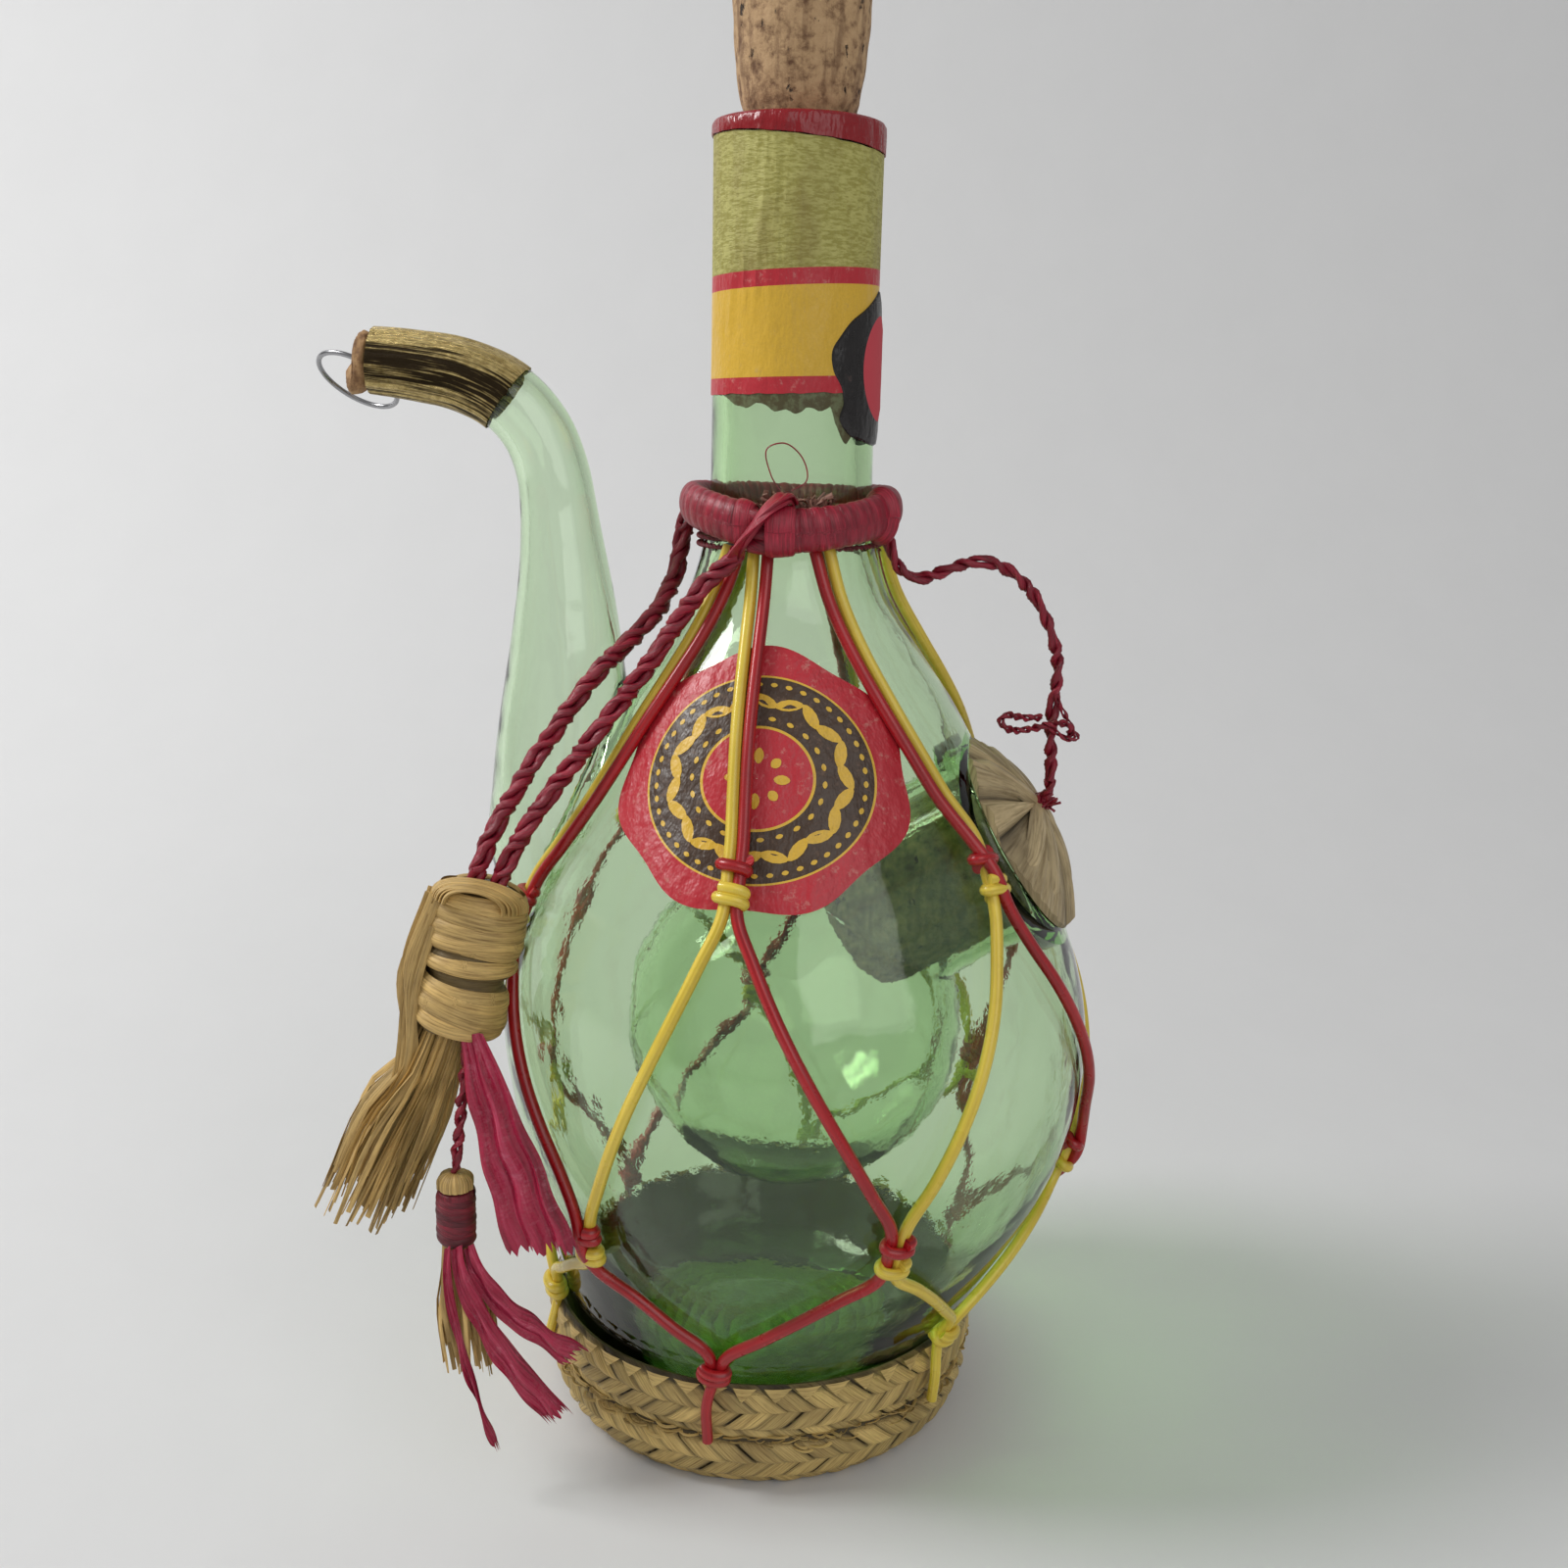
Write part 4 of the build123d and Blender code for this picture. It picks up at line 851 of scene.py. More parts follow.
LEAF_STRAW = Straw("leaf_straw", (0.54, 0.42, 0.23), (0.22, 0.155, 0.07), across_scale=1.6)
DRY_KNOT = Straw("dry_knot", (0.36, 0.17, 0.12), (0.10, 0.045, 0.03), across_scale=2.4)
GOLD_FOIL = GoldFoil("gold_foil_pleats")
STEEL_WIRE = Wire("ring_wire")
RED_PLASTIC = CordPlastic("red_plastic", (0.46, 0.009, 0.014), (0.24, 0.004, 0.008))
YELLOW_PLASTIC = CordPlastic("yellow_plastic", (0.82, 0.62, 0.08), (0.58, 0.41, 0.035))
RED_PAPER = PrintedPaper("red_paper", (0.50, 0.022, 0.035), (0.62, 0.30, 0.25))
RIM_PAPER = PrintedPaper("rim_paper", (0.27, 0.007, 0.012), (0.5, 0.2, 0.18), wear=0.03, gloss=0.20, crease=0.35)
BROWN_PAPER = PrintedPaper("brown_paper", (0.055, 0.028, 0.014), (0.20, 0.12, 0.08))
YELLOW_PAPER = PrintedPaper("yellow_paper", (0.72, 0.44, 0.04), (0.50, 0.34, 0.12), wear=0.06)
BLACK_PAPER = PrintedPaper("black_paper", (0.012, 0.010, 0.010), (0.10, 0.06, 0.05), wear=0.04, gloss=0.26)
SEAL_PAPER = PrintedPaper("seal_paper", (0.22, 0.012, 0.012), (0.07, 0.01, 0.01), wear=0.12, gloss=0.28)
OLIVE_LINEN = LinenPaper("olive_linen")
DRY_GLUE = PrintedPaper("dry_glue", (0.085, 0.072, 0.028), (0.17, 0.21, 0.10), wear=0.20, gloss=0.30, crease=0.1)
RIBBON_FILM = RibbonFilm("ribbon_film")
PALE_SWEEP = PaleSweep("pale_sweep")


# The bottle's own shape


@dataclass(frozen=True)
class GlassShape:
    """Outline of the glass: radius and centre shift by height."""

    foot_z: float = 2.6
    body_height: float = 169.4
    neck_radius: float = 14.6
    belly_radius: float = 56.2
    belly_shift: float = 6.0
    lip_z: float = 240.3
    neck_x: float = 2.604
    wall: float = 2.4
    outline: tuple[Triple, ...] = (
        (0.0, 0.274, 0.0), (0.02, 0.433, 0.0), (0.0555, 0.524, 0.02), (0.1145, 0.611, 0.14),
        (0.191, 0.740, 0.58), (0.280, 0.882, 0.92), (0.368, 0.976, 1.0), (0.457, 1.0, 0.92),
        (0.545, 0.933, 0.80), (0.634, 0.775, 0.68), (0.723, 0.577, 0.60), (0.811, 0.392, 0.53),
        (0.870, 0.241, 0.48), (0.929, 0.096, 0.44), (1.0, 0.017, 0.434), (1.083, 0.0, 0.434),
        (1.5, 0.0, 0.434),
    )
    walls: tuple[Pair, ...] = (
        (0.0, 2.8), (0.06, 2.3), (0.12, 1.8), (0.2, 1.35), (0.3, 1.0), (0.9, 1.0), (1.0, 1.2), (1.5, 1.25),
    )

    def read(self, rows: Sequence[Sequence[float]], z: Array, column: int) -> Array:
        """Read a column of a table at heights, on a smooth curve."""
        table = np.asarray(rows, float)
        share = (np.asarray(z, float) - self.foot_z) / self.body_height
        last = len(table) - 1
        low, high = np.maximum(np.arange(last + 1) - 1, 0), np.minimum(np.arange(last + 1) + 1, last)
        slopes = (table[high, column] - table[low, column]) / (table[high, 0] - table[low, 0])
        index = np.clip(np.searchsorted(table[:, 0], share, side="right") - 1, 0, last - 1)
        span = table[index + 1, 0] - table[index, 0]
        t = (share - table[index, 0]) / span
        ends = (table[index, column], table[index + 1, column])
        return smooth(t, span, ends, (slopes[index], slopes[index + 1]))

    def radius(self, z: Array | float) -> Array:
        """Outer radius at a height."""
        return self.neck_radius + (self.belly_radius - self.neck_radius) * self.read(self.outline, z, 1)

    def shift(self, z: Array | float) -> Array:
        """Centre X at a height."""
        return self.belly_shift * self.read(self.outline, z, 2)

    def inner_radius(self, z: Array | float) -> Array:
        """Radius of the wine space at a height."""
        return self.radius(z) - self.wall * self.read(self.walls, z, 1)

    def over(
        self, azimuth: Array | float, z: Array | float, lift: Array | float, side: Array | float = 0.0
    ) -> Array:
        """Place points over the glass by azimuth, height, lift and a sideways step."""
        angle = np.radians(azimuth)
        reach = self.radius(z) + lift
        return np.stack(
            np.broadcast_arrays(
                self.shift(z) + reach * np.sin(angle) + side * np.cos(angle),
                -reach * np.cos(angle) + side * np.sin(angle),
                np.asarray(z, float),
            ),
            axis=-1,
        )

    def dropped(self, flat: Array, centre: Array, right: Array, up: Array, lift: float) -> Array:
        """Drop points of a tangent sheet onto the glass.

        Args:
            flat: rows of right and up steps on the sheet.
            centre: the sheet's middle.
            right: the sheet's right direction.
            up: the sheet's up direction.
            lift: height over the glass.

        Returns:
            Places over the glass.
        """
        normal = np.cross(right, up)
        start = centre + flat[:, :1] * right + flat[:, 1:] * up
        depth = np.zeros(len(flat))
        for _ in range(40):
            place = start + depth[:, None] * normal
            gap = np.hypot(place[:, 0] - self.shift(place[:, 2]), place[:, 1]) - self.radius(place[:, 2]) - lift
            depth -= gap * 0.8
        return start + depth[:, None] * normal


SHAPE = GlassShape()


@dataclass(frozen=True)
class SpoutShape:
    """Line and radius of the pouring spout."""

    reach: float = 75.2
    foot_z: float = 95.0
    rise: float = 104.7
    tip_radius: float = 5.55
    root_radius: float = 15.2
    wall: float = 1.7
    rows: tuple[Quad, ...] = (
        (0.412, 0.0, 0.70, 52.0), (0.500, 0.075, 0.93, 30.0), (0.545, 0.162, 0.979, 10.0),
        (0.553, 0.264, 0.845, 1.0), (0.552, 0.354, 0.741, 0.0), (0.548, 0.444, 0.625, 0.0),
        (0.547, 0.532, 0.480, 0.0), (0.549, 0.619, 0.337, 1.5), (0.5545, 0.688, 0.228, 3.0),
        (0.5625, 0.7545, 0.150, 6.0), (0.576, 0.821, 0.109, 14.0), (0.612, 0.888, 0.093, 31.0),
        (0.677, 0.941, 0.083, 52.0), (0.770, 0.975, 0.062, 70.0), (0.886, 0.992, 0.031, 81.0),
        (1.0, 1.0, 0.0, 86.0),
    )

    def line(self, first_row: int = 0, step: float = 1.0) -> Array:
        """Rows of place and radius along the spout, from a row to its tip."""
        rows = [
            (SHAPE.neck_x - self.reach * a, 0.0, self.foot_z + self.rise * b,
             self.tip_radius + (self.root_radius - self.tip_radius) * c)
            for a, b, c, _ in self.rows
        ]
        dense = through_points(rows, step)
        start = np.argmin(np.linalg.norm(dense[:, :3] - np.array(rows[first_row][:3]), axis=1))
        return dense[start:]

    @property
    def tip(self) -> Array:
        """Middle of the spout's end."""
        return np.array([SHAPE.neck_x - self.reach, 0.0, self.foot_z + self.rise])

    @property
    def aim(self) -> Array:
        """Direction in which the spout's end points."""
        angle = math.radians(self.rows[-1][3])
        return np.array([-math.sin(angle), 0.0, math.cos(angle)])


SPOUT = SpoutShape()


@dataclass(frozen=True)
class MouthShape:
    """Place and frame of the ice pocket's mouth."""

    centre: Triple = (45.9, -6.0, 116.4)
    azimuth: float = 78.0
    rise: float = 32.0
    radius: float = 20.0
    pocket_wall: float = 2.0
    depth: float = 44.0
    bulb: Triple = (5.5, 0.0, 77.5)
    bulb_radius: float = 32.5
    rows: tuple[Quad, ...] = (
        (0.0, 0.0, 1.0, 0.0), (0.14, 0.0, 0.94, 0.0), (0.34, 0.0, 0.90, 0.0), (0.6, 0.04, 0.95, 3.0),
        (0.8, 0.15, 1.06, 8.0), (1.0, 0.42, 1.08, 20.0),
    )

    @property
    def normal(self) -> Array:
        """Direction out of the mouth."""
        angle, up = math.radians(self.azimuth), math.radians(self.rise)
        return np.array([math.cos(up) * math.sin(angle), -math.cos(up) * math.cos(angle), math.sin(up)])

    @property
    def right(self) -> Array:
        """Level direction across the mouth."""
        angle = math.radians(self.azimuth)
        return np.array([math.cos(angle), math.sin(angle), 0.0])

    @property
    def up(self) -> Array:
        """Direction up the mouth's face."""
        return np.cross(self.normal, self.right)

    def at(self, across: Array, up: Array, out: Array) -> Array:
        """Place points by steps across, up and out of the mouth."""
        across, up, out = np.broadcast_arrays(*(np.asarray(step, float)[..., None] for step in (across, up, out)))
        return np.array(self.centre) + across * self.right + up * self.up + out * self.normal

    def rings(self, rows: Sequence[Pair], angles: Array) -> Array:
        """Rings round the mouth's axis, from rows of outward step and radius."""
        return np.stack([self.at(reach * np.cos(angles), reach * np.sin(angles), out) for out, reach in rows])


MOUTH = MouthShape()


@dataclass
class GlassBottle:
    """The blown glass: belly, neck, spout, mouth and inner ice pocket in one wall."""

    nodes: tuple[str, ...] = ("glass_belly", "glass_pocket", "glass_neck", "glass_spout", "glass_spout_tip")
    sides: int = 144
    row_step: float = 1.3
    spout_sides: int = 72
    foot_rows: tuple[Pair, ...] = ((2.6, 24.5), (2.75, 26.4), (3.3, 28.4), (4.3, 30.6))
    foot_top: float = 5.4
    lip_round: float = 0.25
    floor_thickness: float = 7.0
    kick_up: float = 5.0
    kick_radius: float = 25.0
    kick_rows: tuple[float, ...] = (0.04, 0.2, 0.4, 0.55, 0.7, 0.82, 0.92)
    edge_rows: tuple[Pair, ...] = ((0.0, 0.80), (0.5, 0.87), (1.3, 0.92), (2.6, 0.962), (4.5, 0.988))
    wall_foot: float = 7.0
    bore_rows: tuple[Pair, ...] = ((0.9, 0.05), (0.62, 0.3), (0.28, 0.82), (0.0, 1.0))
    bore_radius: float = 9.6
    bore_length: float = 20.0
    rim_width: float = 1.8
    rim_rows: tuple[Pair, ...] = ((-9.0, 16.5), (-5.0, 19.6), (-1.2, 20.0), (-0.4, 19.8), (0.0, 19.3))
    melt: float = 7.0
    melt_rounds: int = 14
    spout_side: float = -15.0

    def solid(self, name: str, rows: Array, sides: int) -> Mesh:
        """Make a closed mesh from rings.

        Args:
            name: name of the mesh.
            rows: rings of points, all of one count, the first and last of them closed by faces.
            sides: points in a ring.

        Returns:
            The mesh.
        """
        facets = Facets()
        facets.add(rows, tube_faces(len(rows), sides))
        return facets.mesh(name)

    def turned(self, name: str, rows: Sequence[Triple], sides: int) -> Mesh:
        """Make a closed mesh from rows of height, radius and centre X, rising."""
        table = np.asarray(rows, float)
        rings = ringed(table[:, 2:3], table[:, 1:2], full_turn(sides), table[:, :1])
        return self.solid(name, rings, sides)

    def outer_body(self) -> Mesh:
        """Belly and neck from outside."""
        shape = SHAPE
        heights = np.arange(self.foot_top, shape.lip_z - 0.5, self.row_step)
        rows = [(z, radius, 0.0) for z, radius in self.foot_rows]
        rows += [(z, float(shape.radius(z)), float(shape.shift(z))) for z in heights]
        rows.append((shape.lip_z - 0.2, shape.neck_radius, shape.neck_x))
        rows.append((shape.lip_z, shape.neck_radius - self.lip_round, shape.neck_x))
        return self.turned("outer_body", rows, self.sides)

    def wine_body(self) -> Mesh:
        """Wine space of belly, neck and bore."""
        shape = SHAPE
        floor_z = shape.foot_z + self.floor_thickness
        kick = [
            (floor_z + self.kick_up * 0.5 * (1 + math.cos(math.pi * share)), self.kick_radius * share, 0.0)
            for share in self.kick_rows
        ]
        edge = [
            (z, float(shape.inner_radius(z)) * share, float(shape.shift(z)))
            for z, share in ((floor_z + step, share) for step, share in self.edge_rows)
        ]
        low, bore_foot = floor_z + self.wall_foot, shape.lip_z - self.bore_length
        heights = np.arange(low, bore_foot - self.bore_radius, self.row_step)
        wall = [(z, float(shape.inner_radius(z)), float(shape.shift(z))) for z in heights]
        inner = float(shape.inner_radius(bore_foot - self.bore_radius))
        neck = [
            (bore_foot - self.bore_radius * step, inner + (self.bore_radius - inner) * share, shape.neck_x)
            for step, share in self.bore_rows
        ]
        top = [(shape.lip_z + 1.0, self.bore_radius, shape.neck_x)]
        return self.turned("wine_body", kick + edge + wall + neck + top, self.sides)

    def spout(self, inset: float, beyond: float) -> Mesh:
        """Spout as a solid, drawn in by a wall and run past its tip."""
        rows = SPOUT.line(step=1.1)
        line, radii = rows[:, :3], rows[:, 3] - inset
        if beyond:
            line = np.concatenate([line, [line[-1] + SPOUT.aim * beyond]])
            radii = np.append(radii, radii[-1])
        tangents = unit(np.gradient(line, axis=0))
        tangents[-1] = SPOUT.aim
        circle = circles(full_turn(self.spout_sides), SIDEWAYS, np.cross(tangents, SIDEWAYS))
        return self.solid("spout", line[:, None, :] + radii[:, None, None] * circle, self.spout_sides)

    def mouth_solid(self, rows: Sequence[Pair], name: str) -> Mesh:
        """Round solid on the mouth's axis from rows of outward step and radius, rising."""
        return self.solid(name, MOUTH.rings(rows, full_turn(self.spout_sides)), self.spout_sides)

    def pocket(self, inset: float, beyond: float) -> Mesh:
        """Tube and bulb of the ice pocket as one solid."""
        rows = []
        for depth, drop, radius, turn in MOUTH.rows:
            rows.append((-MOUTH.depth * depth, -MOUTH.radius * drop, 0.0, MOUTH.radius * radius - inset, turn))
        dense = through_points(rows, 1.4)
        if beyond:
            dense = np.concatenate([[[beyond, 0.0, 0.0, dense[0, 3], 0.0]], dense])
        angles = full_turn(self.spout_sides)
        rings = []
        for out, up, _, radius, turn in dense[::-1]:
            lean = math.radians(turn)
            rings.append(MOUTH.at(
                radius * np.cos(angles),
                up + radius * np.sin(angles) * math.cos(lean),
                out - radius * np.sin(angles) * math.sin(lean),
            ))
        tube = self.solid("pocket_tube", np.stack(rings), self.spout_sides)
        middle_x, _, middle_z = MOUTH.bulb
        size = MOUTH.bulb_radius - inset
        tilts = [math.radians(tilt) for tilt in np.linspace(-88, 88, 60)]
        rows = [(middle_z + size * math.sin(tilt), size * math.cos(tilt), middle_x) for tilt in tilts]
        return joined(tube, self.turned("pocket_ball", rows, 96), Join.UNION)

    def melted(self, mesh: Mesh, spout_inset: float, wall_inset: bool) -> Mesh:
        """Round the crease where spout and belly meet, as in hot glass.

        Args:
            mesh: belly and spout joined.
            spout_inset: how far its spout is drawn in.
            wall_inset: whether its belly is the wine space.

        Returns:
            The same mesh with moved points.
        """
        count = len(mesh.vertices)
        points = np.empty(count * 3)
        mesh.vertices.foreach_get("co", points)
        points = points.reshape(-1, 3) / MM
        edges = np.empty(len(mesh.edges) * 2, int)
        mesh.edges.foreach_get("vertices", edges)
        edges = edges.reshape(-1, 2)
        rows = SPOUT.line(step=2.0)
        reach = np.linalg.norm(points[:, None, :] - rows[None, :, :3], axis=2) - (rows[None, :, 3] - spout_inset)
        from_spout = np.abs(reach.min(axis=1))
        wall = SHAPE.inner_radius(points[:, 2]) if wall_inset else SHAPE.radius(points[:, 2])
        from_belly = np.abs(np.hypot(points[:, 0] - SHAPE.shift(points[:, 2]), points[:, 1]) - wall)
        share = np.clip(1.4 - (from_spout + from_belly) / self.melt, 0, 1) * (points[:, 0] < self.spout_side)
        degree = np.bincount(edges.ravel(), minlength=count).astype(float)
        for _ in range(self.melt_rounds):
            total = np.zeros_like(points)
            np.add.at(total, edges[:, 0], points[edges[:, 1]])
            np.add.at(total, edges[:, 1], points[edges[:, 0]])
            points += 0.5 * share[:, None] * (total / np.maximum(degree, 1)[:, None] - points)
        mesh.vertices.foreach_set("co", (points * MM).ravel())
        mesh.update()
        return mesh

    def build(self) -> None:
        """Make the glass."""
        width = MOUTH.radius + self.rim_width
        rim = self.mouth_solid(self.rim_rows, "rim")
        collar = self.mouth_solid([(-5.0, width), (5.0, width)], "collar")
        over = self.mouth_solid([(0.0, MOUTH.radius), (10.0, width)], "over_mouth")
        outer = self.melted(
            joined(self.outer_body(), self.spout(inset=0.0, beyond=0.0), Join.UNION),
            spout_inset=0.0, wall_inset=False,
        )
        outer = joined(outer, rim, Join.UNION)
        wine = self.melted(
            joined(self.wine_body(), self.spout(inset=SPOUT.wall, beyond=1.0), Join.UNION),
            spout_inset=SPOUT.wall, wall_inset=True,
        )
        wine = joined(wine, self.pocket(inset=0.0, beyond=0.0), Join.DIFFERENCE)
        wine = joined(wine, collar, Join.DIFFERENCE)
        glass = joined(outer, wine, Join.DIFFERENCE)
        glass = joined(glass, self.pocket(inset=MOUTH.pocket_wall, beyond=1.5), Join.DIFFERENCE)
        glass = joined(glass, over, Join.DIFFERENCE)
        glass.name = "glass_wall"
        glass.materials.clear()
        glass.shade_smooth()
        glass.set_sharp_from_angle(angle=math.radians(38))
        dressed(glass, [BOTTLE_GLASS], Body.BOTTLE, list(self.nodes))


# Neck, label and collar


@dataclass
class NeckDress:
    """Cork, rim band, sleeve label and seal of the neck."""

    cork_foot: float = 222.3
    cork_wear: float = 0.08
    cork_rows: tuple[Pair, ...] = (
        (8.6, 222.3), (9.4, 223.1), (9.4, 240.8), (9.56, 241.6), (10.3, 243.9), (11.1, 248.5), (11.7, 254.8),
        (12.0, 261.2), (12.0, 264.6), (11.75, 265.8), (11.2, 266.2),
    )
    label_top: float = 236.9
    label_foot: float = 195.5
    band_rows: tuple[float, ...] = (195.5, 198.3, 213.2, 215.9, 236.9)
    band_finishes: tuple[int, ...] = (1, 2, 1, 0)
    label_lift: float = 0.25
    foot_wear: float = 0.28
    top_wear: float = 0.18
    label_lean: tuple[tuple[float, ...], tuple[float, ...]] = ((195.5, 213.2, 215.9, 236.9), (0.5, 0.9, 0.9, -1.3))
    rim_lean: float = -1.3
    crease_rows: tuple[Quad, Quad] = ((202.0, 213.0, 224.0, 233.0), (0.0, 1.0, 0.8, 0.0))
    creases: tuple[Triple, ...] = ((314.0, 0.5, 0.30), (324.0, -0.2, 0.42), (333.0, 0.35, 0.34), (341.0, -0.3, 0.22))
    glue_rows: tuple[tuple[float, ...], tuple[float, ...]] = (
        (-56, -46, -34, -26, -13, 0, 9, 17, 26, 30, 40, 50, 56, 58),
        (0.2, 1.1, 2.5, 1.6, 3.0, 3.4, 2.4, 3.2, 2.6, 5.6, 6.8, 6.2, 3.0, 0.2),
    )
    seal_azimuth: float = 78.0
    seal_half_width: float = 13.8
    seal_height: float = 26.5
    seal_foot: float = 186.8
    oval_size: Pair = (7.0, 9.0)
    oval_rows: int = 3
    seal_outline: tuple[Pair, ...] = (
        (0.0, 1.0), (0.44, 0.87), (0.73, 0.78), (0.87, 0.70), (1.0, 0.60), (0.98, 0.48), (0.84, 0.36),
        (0.80, 0.27), (0.86, 0.18), (0.72, 0.08), (0.42, 0.03), (0.0, 0.0),
    )

    def cork(self) -> None:
        """Make the bare stopper, slightly uneven."""
        rows = [(0.0, self.cork_foot)]
        for (r0, z0), (r1, z1) in zip(self.cork_rows, self.cork_rows[1:]):
            steps = max(1, int((z1 - z0) / 0.9))
            rows += [(r0 + (r1 - r0) * k / steps, z0 + (z1 - z0) * k / steps) for k in range(steps)]
        rows += [self.cork_rows[-1], (0.0, self.cork_rows[-1][1])]
        facets = Facets()
        add_lathe(facets, rows, (SHAPE.neck_x, 0.0))
        points = facets.points[0]
        out = points[:, :2] - np.array([SHAPE.neck_x, 0.0])
        angle = np.arctan2(out[:, 1], out[:, 0])
        bare = points[:, 2] > SHAPE.lip_z + 1
        dent = 0.05 * np.sin(3 * angle + points[:, 2] * 0.3) + 0.06 * np.sin(7 * angle - points[:, 2] * 0.9)
        dent = dent * bare - self.cork_wear * bare
        points[:, :2] += unit(out) * dent[:, None] * (np.linalg.norm(out, axis=1) > 1)[:, None]
        facets.piece("neck_stopper", [NECK_CORK_BARK], Body.NECK_CORK, ["neck_cork"])

    def rim(self) -> None:
        """Make the crimped band over the lip."""
        outer, inner = SHAPE.neck_radius + 0.5, SHAPE.neck_radius + 0.06
        top = SHAPE.lip_z
        profile = [
            (inner, top - 3.2), (outer, top - 3.25), (outer + 0.05, top - 1.8), (outer, top - 0.3),
            (outer - 0.35, top + 0.3), (outer - 0.9, top + 0.5), (12.2, top + 0.48), (10.6, top + 0.42),
            (10.4, top + 0.2), (10.5, top + 0.08), (inner - 0.3, top + 0.07), (inner, top - 0.1),
        ]
        angles = full_turn(120)
        rng = np.random.default_rng(seed=5)
        wave = waves(rng, angles, (5, 9, 14, 23))
        rings = []
        for radius, z in profile:
            reach = radius + (0.10 * wave if radius > 14.9 else 0.0)
            level = z + (0.22 * wave + self.rim_lean * np.sin(angles) if z < top - 3 else 0.0)
            rings.append(ringed(SHAPE.neck_x, reach, angles, level))
        rings.append(rings[0])
        facets = Facets()
        facets.add(np.stack(rings), grid_faces(len(rings), len(angles)))
        facets.piece("rim_sleeve", [RIM_PAPER], Body.BOTTLE, ["rim_band"])

    def label(self) -> None:
        """Make the sleeve label in its printed bands."""
        facets = Facets()
        sides = 160
        azimuths = np.linspace(180, 540, sides, endpoint=False)
        angle = np.radians(azimuths)
        rng = np.random.default_rng(seed=8)
        ragged = waves(rng, angle, (6, 11, 17, 31))
        for low, high, finish in zip(self.band_rows, self.band_rows[1:], self.band_finishes):
            steps = max(2, int((high - low) / 1.4) + 1)
            heights = np.linspace(low, high, steps)
            rings = []
            for z in heights:
                wear = self.foot_wear * (z == self.label_foot) + self.top_wear * (z == self.label_top)
                level = z + wear * ragged
                crease = 0.0 * azimuths
                fade = np.interp(z, *self.crease_rows)
                for middle, slope, size in self.creases:
                    crease = crease + size * fade * np.exp(-(((azimuths - middle - (z - 215) * slope) / 1.9) ** 2))
                reach = SHAPE.radius(z) + self.label_lift + crease
                level = level + np.interp(z, *self.label_lean) * np.sin(angle)
                rings.append(ringed(SHAPE.neck_x, reach, angle, level))
            points = np.stack(rings)
            grain = grain_over(points, angle * SHAPE.neck_radius, heights[:, None], 0.5)
            facets.add(points, grid_faces(steps, sides), grain, finish)
        facets.piece(
            "neck_sleeve_label", [OLIVE_LINEN, RED_PAPER, YELLOW_PAPER], Body.BOTTLE, ["neck_label"]
        )

    def glue(self) -> None:
        """Make the dry brown glue left on the glass below the label."""
        rng = np.random.default_rng(seed=13)
        azimuths = np.linspace(self.glue_rows[0][0], self.glue_rows[0][-1], 150)
        depth = np.interp(azimuths, *self.glue_rows)
        lobes = sum(
            rng.uniform(0.3, 1) * np.sin(k * azimuths / 14 + rng.uniform(0, 6))
            for k in (1.0, 1.9, 3.1, 5.3)
        ) / 3
        depth = np.maximum(depth * (1 + 0.38 * lobes) + rng.uniform(-0.05, 0.05, len(azimuths)), 0.1)
        angle = np.radians(azimuths)
        top = self.label_foot + np.interp(self.label_foot, *self.label_lean) * np.sin(angle) + 0.5
        rings = []
        for share in np.linspace(0, 1, 8):
            z = top - share * (depth + 0.5)
            reach = SHAPE.radius(z) + 0.08 * (1 - share**4) + 0.02
            rings.append(ringed(SHAPE.neck_x, reach, angle, z))
        facets = Facets()
        faces = grid_faces(len(rings), len(azimuths), closed=False)
        facets.add(np.stack(rings), [tuple(reversed(face)) for face in faces])
        facets.piece("neck_glue_remains", [DRY_GLUE], Body.BOTTLE)

    def seal(self) -> None:
        """Make the dark lobed seal with its red oval."""
        half = [(-x * self.seal_half_width, y * self.seal_height) for x, y in self.seal_outline]
        loop = half + [(-x, y) for x, y in half[-2:0:-1]]
        closed = through_points([(x, y, 0.0) for x, y in loop + loop[:1]], 0.8)[:-1, :2]
        middle = np.array([0.0, self.seal_height * 0.5])
        shares = (0.0001, 0.2, 0.4, 0.5, 0.515, 0.7, 0.85, 0.97, 1.0)
        rings, faces = [], grid_faces(len(shares), len(closed))
        oval_angle = np.arctan2(closed[:, 1] - middle[1], closed[:, 0])
        oval = np.stack([self.oval_size[0] * np.cos(oval_angle), self.oval_size[1] * np.sin(oval_angle)], axis=-1)
        for share in shares:
            edge = oval * (share / 0.5) if share <= 0.5 else oval + (closed - middle - oval) * ((share - 0.5) / 0.5)
            flat = middle + edge
            angle = math.radians(self.seal_azimuth) + flat[:, 0] / (SHAPE.neck_radius + 0.5)
            puff = 0.42 + 0.35 * (1 - share**6) + (0.25 if share < 0.5 else 0.0)
            reach = SHAPE.neck_radius + (puff if share < 1.0 else 0.12)
            rings.append(ringed(SHAPE.neck_x, reach, angle, self.seal_foot + flat[:, 1]))
        facets = Facets()
        points = np.stack(rings)
        inner = self.oval_rows * len(closed)
        facets.add(points, faces[:inner], finish=1)
        facets.add(points, faces[inner:], finish=0)
        facets.piece("neck_seal_patch", [BLACK_PAPER, SEAL_PAPER], Body.BOTTLE, ["neck_seal"])

    def build(self) -> None:
        """Make all neck pieces."""
        self.cork()
        self.rim()
        self.label()
        self.glue()
        self.seal()


